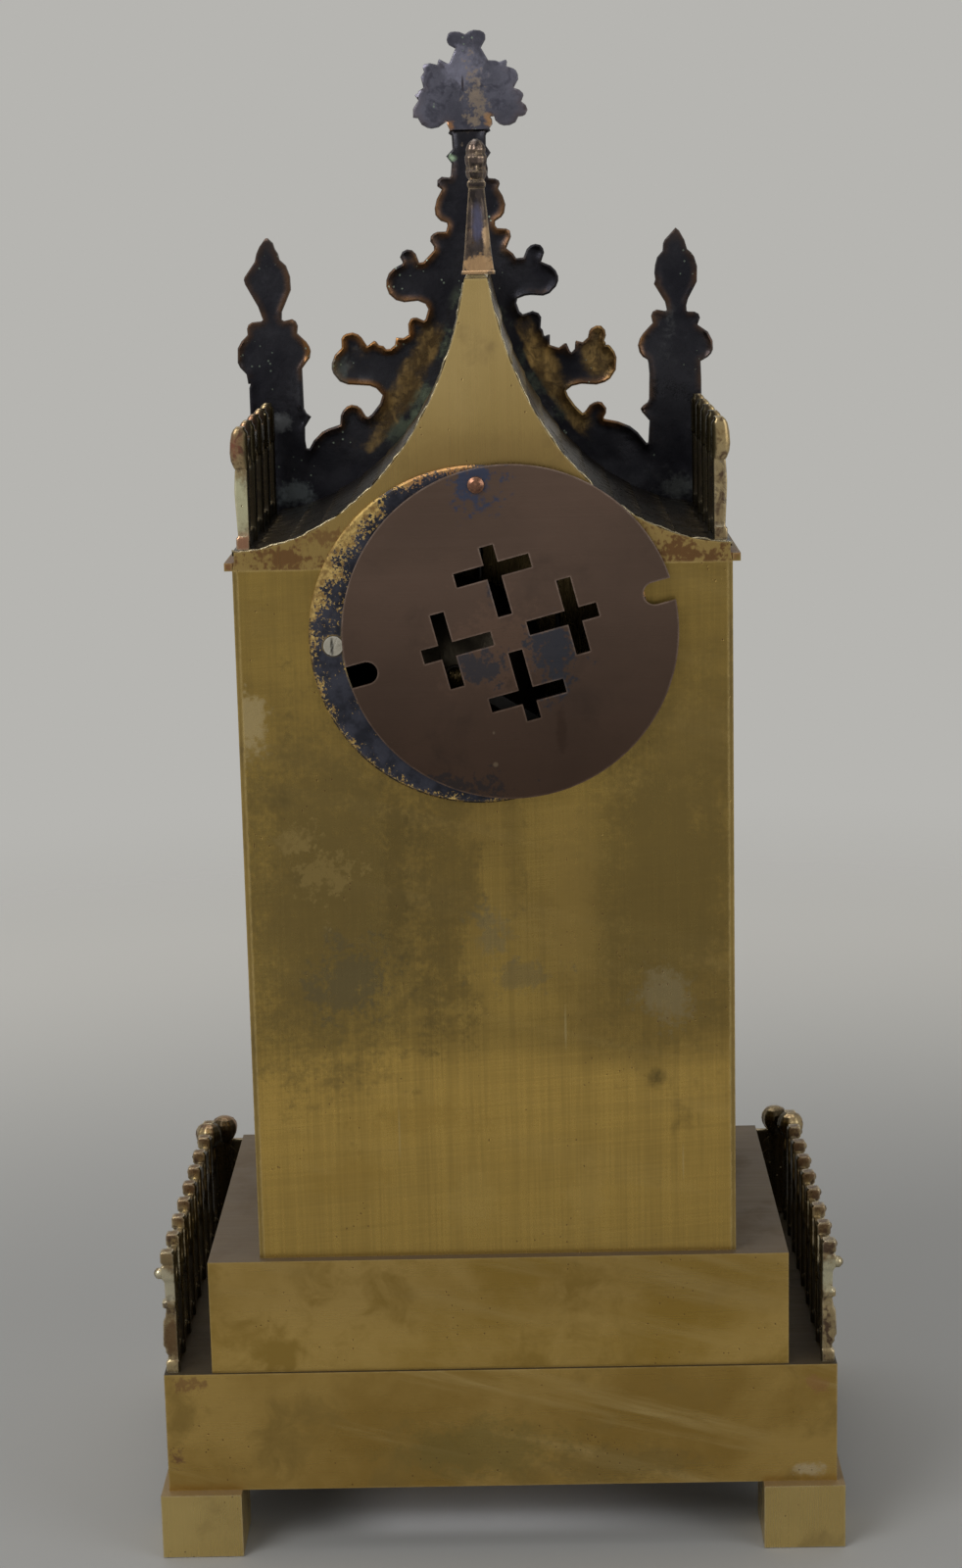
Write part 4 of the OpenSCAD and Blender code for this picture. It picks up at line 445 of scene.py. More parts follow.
        # Painted shade on the faces that look towards the clock, with bright specks left in it.
        if self.inner:
            tint, strength = self.inner
            side = g.math("SIGN", g.split(here)[self.inner_axis])
            inward = g.ramp(g.times(g.split(normal)[self.inner_axis], side), -0.15, -0.55)
            colour = g.over(colour, g.mix(pits, tint, self.bright), inward, strength)
        rough = g.plus(self.rough, g.times(g.minus(fine, brush), self.rough_swing), True)
        metal: Any = self.metal
        # Top faces: dust, and on the plinths painted shade (near black in the lower plinth's recess).
        if self.dust_and_shade:
            tint, strength = self.dust_and_shade
            lying = g.times(g.ramp(g.split(normal)[2], 0.75, 0.95), strength)
            dust_and_shade_tone = g.mix(g.noise(moved, 70.0, 6.0, 0.65), tint, g.mix(0.12, tint, self.stain))
            colour = g.mix(lying, colour, dust_and_shade_tone)
            rough = g.plus(rough, g.times(lying, 0.25), True)
            metal = g.minus(self.metal, g.times(lying, self.metal * 0.6))
        g.surface(colour, rough, metal, g.minus(brush, g.times(pits, 2.0)), 0.6, self.brush_depth)
        return material


@dataclass(frozen=True)
class OldCasting:
    """The dark bronze of the front casting, seen from behind.

    Near-black metal is clouded with haze; the rim value lets brown metal show along the edges, the gilt and
    green values let worn gilding and verdigris show, and above the ledge the fleuron wears a painted bluish sheen.
    """

    name: str
    dark: Colour = (0.013, 0.013, 0.018)
    cloud: Colour = (0.033, 0.033, 0.040)
    haze: Colour = (0.12, 0.125, 0.13)
    brown: Colour = (0.21, 0.10, 0.032)
    gilt: tuple[Colour, Colour] = ((0.09, 0.058, 0.026), (0.44, 0.29, 0.105))
    green: Colour = (0.20, 0.25, 0.17)
    fleuron_sheen: tuple[Colour, Colour] = ((0.135, 0.135, 0.175), (0.050, 0.050, 0.068))
    specks: Colour = (0.24, 0.30, 0.24)
    middle: float = 0.0025
    ledge: float = 0.4626
    rim: float = 3.0
    pinnacles: float = 0.0585
    marks: tuple[Mark, ...] = ()

    def build(self, effects: Effects) -> Material:
        """Builds the material.

        Args:
            effects: the shared node groups.

        Returns:
            The new material.
        """
        material, g, here = start_material(self.name)
        x, _, height = g.split(here)
        flank = g.ramp(g.math("ABSOLUTE", g.minus(x, self.middle)), self.pinnacles, self.pinnacles + 0.002)
        behind = g.ramp(g.split(g.out("NewGeometry", "Normal"))[1], -0.3, 0.1)
        large = g.effect(effects.blotches, here, Scale=30.0, Low=0.36, High=0.66)
        fine = g.effect(effects.blotches, here, Scale=150.0, Low=0.40, High=0.66)
        misty = g.effect(effects.blotches, here, Scale=48.0, Low=0.58, High=0.80)
        streaks = g.effect(effects.brushing, here, Across=260.0, Along=50.0)
        colour = g.over(g.mix(large, self.dark, self.cloud), self.haze, misty, fine, 0.8)
        # Painted reflection: above the ledge the back faces take the fleuron's bluish sheen.
        crest = g.ramp(height, self.ledge - 0.0002, self.ledge + 0.0003)
        fleuron = g.mix(g.math("MAXIMUM", fine, g.times(large, 0.7)), *self.fleuron_sheen)
        colour = g.over(colour, fleuron, crest, behind)
        near = g.ramp(g.attribute("rim"), self.rim, 0.2)
        torn = g.ramp(g.noise(here, 30.0, 6.0, 0.62), 0.42, 0.62)
        colour = g.over(colour, self.brown, near, torn, g.minus(0.95, g.times(crest, 0.7)),
                        g.minus(1.0, g.times(flank, 0.6)), g.ramp(height, 0.416, 0.430, 1.0, 0.5))
        worn = g.attribute("gilt")
        shows = g.ramp(g.plus(g.noise(here, 60.0, 7.0, 0.62), g.times(worn, 0.45)), 0.64, 0.90)
        gilding = g.mix(g.times(streaks, fine), *self.gilt)
        colour = g.over(colour, gilding, shows, g.ramp(worn, 0.05, 0.5), behind)
        mould = g.ramp(g.noise(here, 90.0, 6.0, 0.65), 0.46, 0.62)
        colour = g.over(colour, self.green, g.attribute("green"), mould, 0.55)
        for mark in self.marks:
            colour = mark.over(g, effects, here, colour, behind)
        dots = g.effect(effects.specks, here, Scale=420.0, Size=0.15, Spread=0.43)
        colour = g.over(colour, self.specks, dots, g.minus(0.75, g.times(flank, 0.35)))
        relief = g.effect(effects.edges, here, Breakup=0.5)
        colour = g.over(colour, self.gilt[1], relief, g.minus(1.0, g.times(behind, 0.92)), 0.55)
        rough = g.plus(0.40, g.times(g.minus(fine, large), 0.2), True)
        g.surface(colour, rough, 0.88, g.noise(here, 200.0, 6.0, 0.6), 0.5, 0.0004)
        return material


@dataclass(frozen=True)
class WornRing:
    """Blue-black lacquer worn through to brass in crisp flecks.

    A fine noise is cut at a height that falls with the angle and the radius, so the brass is close between
    nine and eleven o'clock as seen from behind, and elsewhere only along the outer rim.
    """

    name: str
    lacquer: tuple[Colour, Colour] = ((0.050, 0.052, 0.070), (0.022, 0.023, 0.031))
    brass: tuple[Colour, Colour] = ((0.64, 0.45, 0.16), (0.27, 0.165, 0.06))
    reddish: Colour = (0.42, 0.20, 0.09)
    centre: tuple[float, float] = (1.4, 306.0)
    radius: float = 53.3

    def share(self, g: Graph, here: Socket) -> tuple[Socket, Socket]:
        """How much more brass shows at a place, by its angle and radius; returns it and the angle."""
        x, _, z = g.split(here)
        x, z = g.minus(x, self.centre[0] * MM), g.minus(z, self.centre[1] * MM)
        turn = g.math("ARCTAN2", z, x)
        reach = g.math("SQRT", g.plus(g.times(x, x), g.times(z, z)))
        outer = g.ramp(reach, (self.radius - 4.0) * MM, self.radius * MM)
        inner = g.ramp(reach, (self.radius - 7.0) * MM, (self.radius - 1.5) * MM)
        close = g.times(g.ramp(turn, -0.03, 0.22), g.ramp(turn, 1.08, 0.80))
        share = g.plus(g.times(close, g.ramp(reach, 0.045, 0.050, 0.45, 1.0), 0.100), g.times(outer, 0.085))
        upper = g.times(inner, g.ramp(turn, 1.7, 1.3), g.ramp(turn, 0.9, 1.2, 0.0, 0.06))
        return g.plus(share, upper), turn

    def build(self, effects: Effects) -> Material:
        """Builds the material.

        Args:
            effects: the shared node groups.

        Returns:
            The new material.
        """
        material, g, here = start_material(self.name)
        share, turn = self.share(g, here)
        fine, coarse = g.noise(here, 1000.0, 5.0, 0.68), g.noise(here, 130.0, 5.0, 0.6)
        shows = g.ramp(g.plus(g.plus(g.times(fine, 0.6), g.times(coarse, 0.4)), share), 0.590, 0.612)
        lacquer = g.mix(g.ramp(g.noise(here, 160.0, 6.0, 0.65), 0.35, 0.65), *self.lacquer)
        brass = g.mix(g.ramp(g.noise(here, 520.0, 5.0, 0.65), 0.38, 0.62), *self.brass)
        brass = g.over(brass, self.reddish, g.ramp(turn, 0.95, 1.25), 0.7)
        colour = g.mix(shows, lacquer, brass)
        colour = g.over(colour, self.brass[0], g.effect(effects.edges, here, Breakup=0.7), 0.6)
        g.surface(colour, g.minus(0.50, g.times(shows, 0.14)), 0.9, g.minus(1.0, shows), 0.4, 0.00008)
        return material


@dataclass(frozen=True)
class PlainFinish:
    """A smooth finish with slight unevenness: enamel, glass, ink, blued steel or dark steel."""

    name: str
    colour: Colour
    second: Colour
    rough: float = 0.2
    metal: float = 0.0
    coat: float = 0.0
    transmission: float = 0.0
    glass_ior: float = 1.45

    def build(self, effects: Effects) -> Material:
        """Builds the material.

        Args:
            effects: the shared node groups.

        Returns:
            The new material.
        """
        material, g, here = start_material(self.name)
        if self.transmission > 0.0:
            look = {"in_Base_Color": self.colour, "in_Roughness": self.rough, "in_IOR": self.glass_ior}
        else:
            cloud = g.effect(effects.blotches, here, Scale=30.0, Low=0.35, High=0.7)
            look = {"in_Base_Color": g.mix(cloud, self.colour, self.second),
                    "in_Roughness": g.ramp(cloud, 0.0, 1.0, self.rough, self.rough * 1.5)}
        shader = g.out("BsdfPrincipled", in_Metallic=self.metal, in_Coat_Weight=self.coat,
                       in_Transmission_Weight=self.transmission, **look)
        g.feed(g.add("OutputMaterial").inputs[0], shader)
        return material


Finish = AgedMetal | OldCasting | WornRing | PlainFinish


def dress(nodes: dict[str, bpy.types.Object], names: Sequence[str], material: Material) -> None:
    """Gives each named CAD node the material in all its slots."""
    for name in names:
        piece = nodes[name]
        if not piece.material_slots:
            piece.data.materials.append(material)
        for slot in piece.material_slots:
            slot.material = material


def link(name: str, data: Any) -> bpy.types.Object:
    """Makes an object of its data and puts it in the scene; returns it."""
    piece = bpy.data.objects.new(name, data)
    bpy.context.scene.collection.objects.link(piece)
    return piece


def store(mesh: bpy.types.Mesh, name: str, values: np.ndarray) -> None:
    """Stores one value per point under a name."""
    mesh.attributes.new(name, "FLOAT", "POINT").data.foreach_set("value", values.astype(np.float32))


# ---------------------------------------------------------------- surfaces


def smooth(value: np.ndarray, low: float, high: float) -> np.ndarray:
    """Rises from 0 at low to 1 at high along 3t^2 - 2t^3."""
    t = np.clip((value - low) / (high - low), 0.0, 1.0)
    return t * t * (3.0 - 2.0 * t)


def ripple(*axes: np.ndarray, size: float = 1.0, seed: float = 0.0) -> np.ndarray:
    """Uneven hand-made surface: three sine products of rising frequency, from -1 to 1."""
    total = np.zeros(np.broadcast(*axes).shape)
    for octave, weight in ((1.0, 0.55), (2.17, 0.3), (4.71, 0.15)):
        wave = np.ones_like(total)
        for order, axis in enumerate(axes):
            wave = wave * np.sin(axis * octave / size + seed * (order + 1.3) + 1.7 * octave)
        total += weight * wave
    return total


def denser(rows: Sequence[Sequence[float]], parts: int) -> list[np.ndarray]:
    """Splits the steps between rows into equal parts, by linear interpolation; returns the columns."""
    given = np.array(rows, float)
    run = np.arange(len(given), dtype=float)
    dense = np.linspace(0, len(given) - 1, (len(given) - 1) * parts + 1)
    return [np.interp(dense, run, column) for column in given.T]


@dataclass
class Soup:
    """Closed surfaces in millimetres, gathered to become one mesh; each point has its distance to the rim and its
    painted shade.
    """

    points: list[np.ndarray] = field(default_factory=list)
    faces: list[list[int]] = field(default_factory=list)
    rims: list[np.ndarray] = field(default_factory=list)
    painted_shades: list[np.ndarray] = field(default_factory=list)
    count: int = 0

    def add(self, points: np.ndarray, faces: Sequence[Sequence[int]], rim: np.ndarray | None = None,
            painted_shade: np.ndarray | None = None) -> None:
        """Adds one surface.

        Args:
            points: positions in millimetres, shaped (n, 3).
            faces: indices of each face into points.
            rim: the distance to the nearest edge for each point, in millimetres.
            painted_shade: how dark the painted shade lies at each point, from 0 to 1.
        """
        self.faces += [[int(i) + self.count for i in face] for face in faces]
        self.points.append(points)
        self.rims.append(np.full(len(points), FAR_IN) if rim is None else rim)
        self.painted_shades.append(np.zeros(len(points)) if painted_shade is None else painted_shade)
        self.count += len(points)

    def grid(self, points: np.ndarray, closed_u: bool = False, flip: bool = False,
             rim: np.ndarray | None = None, painted_shade: np.ndarray | None = None) -> None:
        """Adds a closed surface from a grid that wraps along its columns.

        Where the rows don't wrap, the first and the last row are closed with one face each.

        Args:
            points: positions shaped (rows, columns, 3).
            closed_u: joins the last row to the first, as for a ring.
            flip: turns the faces over.
            rim: distances shaped (rows, columns).
            painted_shade: the same for the painted shade.
        """
        rows, cols = points.shape[:2]
        index = np.arange(rows * cols).reshape(rows, cols)
        here, down = (index, np.roll(index, -1, 0)) if closed_u else (index[:-1], index[1:])
        faces = np.stack([here, np.roll(here, -1, 1), np.roll(down, -1, 1), down], -1).reshape(-1, 4).tolist()
        if not closed_u:
            faces += [index[0][::-1].tolist(), index[-1].tolist()]
        if flip:
            faces = [face[::-1] for face in faces]
        self.add(points.reshape(-1, 3), faces, None if rim is None else rim.reshape(-1),
                 None if painted_shade is None else painted_shade.reshape(-1))

    def turned(self, profile: Sequence[tuple[float, float]], at: Place, sides: int = 20,
               lobes: int = 0, depth: float = 0.0, square: float = 0.0, fine: int = 3,
               lobe_from: float = -1e9, lobe_to: float = 1e9,
               panel: Place | None = None) -> None:
        """Adds an upright turned form: the profile (radius, height) carried round Z.

        The radius is multiplied by 1 + depth*cos(lobes*angle) between two heights, and by the outline of a
        square with rounded corners where square is above 0.

        Args:
            profile: (radius, height) pairs from the foot up, in millimetres.
            at: the foot of its axis.
            sides: points in each circle.
            lobes: leaves or flutes round the axis.
            depth: how deep they are, as a share of the radius.
            square: 0 for round, 1 for square.
            fine: rows between two profile points.
            lobe_from: the lowest height with lobes.
            lobe_to: the highest height with lobes.
            panel: the lowest and highest height and the depth of a sunk panel on each square side.
        """
        radius, height = denser(profile, fine)
        angle = np.linspace(0, 2 * np.pi, sides, endpoint=False) + (np.pi / 4 if square else 0.0)
        boxed = 1.0 / np.maximum(np.abs(np.cos(angle)), np.abs(np.sin(angle)))
        section = 1.0 + square * (boxed - 1.0)
        window = smooth(height, lobe_from - 0.6, lobe_from) * (1 - smooth(height, lobe_to, lobe_to + 0.6))
        reach = radius[:, None] * section[None, :] * (1 + depth * window[:, None] * np.cos(lobes * angle)[None, :])
        if panel:
            low, high, sunk = panel
            off_centre = np.minimum(np.abs(np.tan(angle)), 1 / np.maximum(np.abs(np.tan(angle)), 1e-9))
            tall = smooth(height, low, low + 0.5) * (1 - smooth(height, high - 0.5, high))
            reach = reach - sunk * tall[:, None] * (1 - smooth(off_centre, 0.5, 0.62))[None, :]
        points = np.stack([at[0] + reach * np.cos(angle), at[1] + reach * np.sin(angle),
                           at[2] + np.broadcast_to(height[:, None], reach.shape)], -1)
        slope = np.abs(np.gradient(radius)) + 1e-6
        rim = np.broadcast_to((0.3 / slope)[:, None], reach.shape)
        self.grid(points, flip=True, rim=np.minimum(rim, FAR_IN))

    def cast_bar(self, rows: Sequence[tuple[float, float, float, float, float]], at: Place,
                 outward: tuple[int, int], sides: int = 28, panel: float = 0.0, beads: float = 0.0,
                 shade_below: float | None = None) -> None:
        """Adds an upright cast bar with its flat side inwards.

        Each section is a superellipse, |x/a|^n + |y/b|^n = 1, between the inner and the outer reach; the panel
        is sunk into its middle on both sides in y, and beads stand along its outer face as a sine of the height.

        Args:
            rows: (height, inner reach, outer reach, half width, n) from the foot up, in millimetres.
            at: the foot of its axis.
            outward: the direction in x and y that its outer side looks along.
            sides: points in each section.
            panel: how deep the panel is sunk, in millimetres.
            beads: how far the beads stand off.
            shade_below: the height below which painted shade covers all but the outer edge, or None for a bar without
                it.
        """
        height, inner, outer, half, power = (column[:, None] for column in denser(rows, 3))
        angle = np.linspace(0, 2 * np.pi, sides, endpoint=False)[None, :]
        middle, reach = (outer + inner) / 2, (outer - inner) / 2
        across = np.sign(np.cos(angle)) * np.abs(np.cos(angle)) ** (2 / power)
        deep = np.sign(np.sin(angle)) * np.abs(np.sin(angle)) ** (2 / power)
        shaft = smooth(power, 7.2, 8.0)
        x = middle + reach * across + beads * shaft * np.maximum(across, 0) ** 3 * np.sin(height * 2.9)
        field_part = (1 - smooth(np.abs(across), 0.45, 0.62)) * (np.abs(deep) > 0.5)
        y = half * deep - np.sign(deep) * panel * shaft * field_part
        z = height + np.zeros_like(x)
        points = np.stack([at[0] + outward[0] * x - outward[1] * y, at[1] + outward[1] * x + outward[0] * y,
                           at[2] + z], -1)
        # Painted shade on the inner side below the given height.
        painted_shade = np.zeros(x.shape)
        if shade_below is not None:
            painted_shade = (1 - smooth(across, -0.1, 0.45)) * (1 - smooth(z, shade_below - 1, shade_below + 1))
        self.grid(points, flip=True, rim=np.broadcast_to((1 - np.abs(across)) * 4, x.shape), painted_shade=painted_shade)

    def plate(self, loops: Sequence[np.ndarray], front: Depth, back: Depth, step: float = 2.5,
              rounding: float = 0.5, axis: Axis = Axis.Y, more: np.ndarray | None = None) -> None:
        """Adds a flat piece with modelled faces, cut to an outline with holes.

        The outline, rings just inside it and an inner lattice are joined into triangles; each point's depth on
        the two faces is a function of its place (u, v) and of d, its distance to the nearest edge, and
        r - sqrt(r^2 - (r - d)^2) rounds the edges.

        Args:
            loops: the outline first and then the holes, each shaped (n, 2), in millimetres.
            front: function (u, v, d) for the face on the lower side of the axis.
            back: function (u, v, d) for the face on the upper side of the axis.
            step: the lattice pitch.
            rounding: the radius along the edges.
            axis: Y for a plate that stands across the clock and X for one that runs from front to back.
            more: further points of the faces, where their depth changes at once.
        """
        loops = [split_edges(np.asarray(loop, float), step * 0.6) for loop in loops]
        starts = np.vstack(loops)
        ends = np.vstack([np.roll(loop, -1, 0) for loop in loops])
        extra = [ring_inside(starts, ends, loops, d) for d in (rounding * 0.35, rounding, rounding * 2.2)]
        low, high = starts.min(0), starts.max(0)
        u, v = np.meshgrid(np.arange(low[0], high[0], step), np.arange(low[1], high[1], step * 0.866))
        u = u + (np.arange(u.shape[0]) % 2)[:, None] * step / 2
        lattice = np.stack([u.ravel(), v.ravel()], -1)
        lattice = lattice[inside(lattice, starts, ends)]
        lattice = lattice[edge_distance(lattice, starts, ends) > max(rounding * 3.0, step * 0.5)]
        if more is not None:
            more = more[inside(more, starts, ends)]
            extra.append(more[edge_distance(more, starts, ends) > rounding])
        places = np.vstack([starts, *extra, lattice])
        edges, base = [], 0
        for loop in loops:
            edges += [(base + i, base + (i + 1) % len(loop)) for i in range(len(loop))]
            base += len(loop)
        found, _, triangles, *_ = delaunay_2d_cdt([Vector(p) for p in places], edges, [], 0, 1e-5)
        found = np.array([tuple(p) for p in found])
        triangles = np.array([list(t) for t in triangles])
        triangles = triangles[inside(found[triangles].mean(1), starts, ends)]
        a, b, c = (found[triangles[:, i]] for i in range(3))
        turn = np.cross(b - a, c - a)
        triangles[turn < 0] = triangles[turn < 0][:, ::-1]
        away = edge_distance(found, starts, ends)
        curve = rounding - np.sqrt(np.maximum(rounding ** 2 - (rounding - np.minimum(away, rounding)) ** 2, 0.0))
        near = front(found[:, 0], found[:, 1], away) + curve
        far = back(found[:, 0], found[:, 1], away) - curve
        pairs = np.vstack([triangles[:, [0, 1]], triangles[:, [1, 2]], triangles[:, [2, 0]]])
        size = len(found)
        code, mirror = pairs[:, 0] * size + pairs[:, 1], pairs[:, 1] * size + pairs[:, 0]
        rim_edges = pairs[~np.isin(code, mirror)]
        walls = np.stack([rim_edges[:, 1], rim_edges[:, 0], rim_edges[:, 0] + size, rim_edges[:, 1] + size], -1)
        faces = triangles.tolist() + (triangles[:, ::-1] + size).tolist() + walls.tolist()
        points = np.vstack([np.insert(found, axis.value, depth, axis=1) for depth in (near, far)])
        if axis is Axis.X:
            faces = [face[::-1] for face in faces]
        self.add(points, faces, np.tile(away, 2))

    def build(self, name: str, slot: str, material: Material, replaced: Sequence[str] = (), sharp: float = 38.0,
              body: Body = Body.CASE) -> bpy.types.Object:
        """Makes the mesh, gives it its material and its body.

        Args:
            name: the piece's name.
            slot: the record's material slot; not used.
            material: its finish.
            replaced: the CAD nodes that it stands for.
            sharp: edges that turn by more degrees than this stay sharp.
            body: the body that it rides on.

        Returns:
            The new object.
        """
        mesh = bpy.data.meshes.new(name)
        mesh.from_pydata((np.vstack(self.points) * MM).tolist(), [], self.faces)
        mesh.polygons.foreach_set("use_smooth", np.ones(len(mesh.polygons), bool))
        mesh.set_sharp_from_angle(angle=math.radians(sharp))
        store(mesh, "rim", np.concatenate(self.rims))
        store(mesh, "painted_shade", np.concatenate(self.painted_shades))
        mesh.materials.append(material)
        piece = link(name, mesh)
        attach(piece, body.value)
        if replaced:
            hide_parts(*replaced)
        log.info("%s: %d points, %d faces", name, len(mesh.vertices), len(mesh.polygons))
        return piece


def split_edges(loop: np.ndarray, longest: float) -> np.ndarray:
    """Splits each edge of a closed loop into equal parts no longer than the given length."""
    parts = []
    for a, b in zip(loop, np.roll(loop, -1, 0)):
        number = max(1, int(np.ceil(np.hypot(*(b - a)) / longest)))
        parts.append(a + (b - a) * (np.arange(number) / number)[:, None])
    return np.vstack(parts)


def edge_distance(places: np.ndarray, starts: np.ndarray, ends: np.ndarray) -> np.ndarray:
    """Distance from each place to the nearest of the segments start-end, by projection on to each."""
    best = np.empty(len(places))
    run = ends - starts
    square = np.maximum((run ** 2).sum(1), 1e-12)
    for first in range(0, len(places), CHUNK):
        away = places[first:first + CHUNK, None, :] - starts[None]
        t = np.clip((away * run[None]).sum(2) / square[None], 0.0, 1.0)
        best[first:first + CHUNK] = np.sqrt(((away - t[..., None] * run[None]) ** 2).sum(2).min(1))
    return best


def inside(places: np.ndarray, starts: np.ndarray, ends: np.ndarray) -> np.ndarray:
    """Whether a level ray from each place crosses the segments an odd number of times."""
    result = np.empty(len(places), bool)
    for first in range(0, len(places), CHUNK):
        u, v = places[first:first + CHUNK, 0, None], places[first:first + CHUNK, 1, None]
        straddles = (starts[None, :, 1] > v) != (ends[None, :, 1] > v)
        rise = np.where(ends[:, 1] == starts[:, 1], 1e-12, ends[:, 1] - starts[:, 1])
        crossing = starts[None, :, 0] + (v - starts[None, :, 1]) * (ends - starts)[None, :, 0] / rise[None]
        result[first:first + CHUNK] = (straddles & (u < crossing)).sum(1) % 2 == 1
    return result


def ring_inside(starts: np.ndarray, ends: np.ndarray, loops: Sequence[np.ndarray], depth: float) -> np.ndarray:
    """Places the given depth inside the loops: each point moved along its normal, kept where it is that deep."""
    moved = []
    for loop in loops:
        along = np.roll(loop, -1, 0) - np.roll(loop, 1, 0)
        normal = np.stack([-along[:, 1], along[:, 0]], -1) / np.maximum(np.hypot(*along.T), 1e-9)[:, None]
        moved += [loop + normal * depth, loop - normal * depth]
    places = np.vstack(moved)
    places = places[inside(places, starts, ends)]
    return places[edge_distance(places, starts, ends) > depth * 0.93]


def circle(x: float, z: float, radius: float, count: int = 48) -> np.ndarray:
    """A circle's points, anticlockwise."""
    angle = np.linspace(0, 2 * np.pi, count, endpoint=False)
    return np.stack([x + radius * np.cos(angle), z + radius * np.sin(angle)], -1)


def arch(x: float, z: float, half: float, spring: float, crown: float, count: int = 8) -> np.ndarray:
    """A pointed arch over (x, z): straight jambs to the spring, then two arcs that meet at the crown."""
    rise = crown - spring
    reach = (half * half + rise * rise) / (2 * half)
    angle = np.linspace(0, math.acos((reach - half) / reach), count)
    side = np.stack([half - reach + reach * np.cos(angle), spring + reach * np.sin(angle)], -1)
    other = side[-2::-1] * (-1, 1)
    return np.vstack([[(-half, 0.0), (half, 0.0)], side, other]) + (x, z)


# ---------------------------------------------------------------- the clock


@dataclass(frozen=True)
class Works:
    """Sizes that several sub-assemblies share, in millimetres; they repeat the part's own values."""

    move_x: float = 1.4
    move_z: float = 306.0
    plinth_z: float = 62.8
    case_z: float = 101.2
    eave_z: float = 327.7
    case_half: float = 78.0
    case_front_y: float = -46.1
    facade_front_y: float = -49.3
    curve_x: float = 79.0
    curve_z: float = 436.0
    curve_a: float = 77.0
    curve_b: float = 102.5

    def curve_depth(self, x: np.ndarray, z: np.ndarray) -> np.ndarray:
        """How far a place lies above the roof's curve: (1 - its scaled distance from the centre) in mm."""
        reach = np.hypot((self.curve_x - np.abs(x)) / self.curve_a, (self.curve_z - z) / self.curve_b)
        return (1.0 - reach) * 0.5 * (self.curve_a + self.curve_b)


CLOCK = Works()

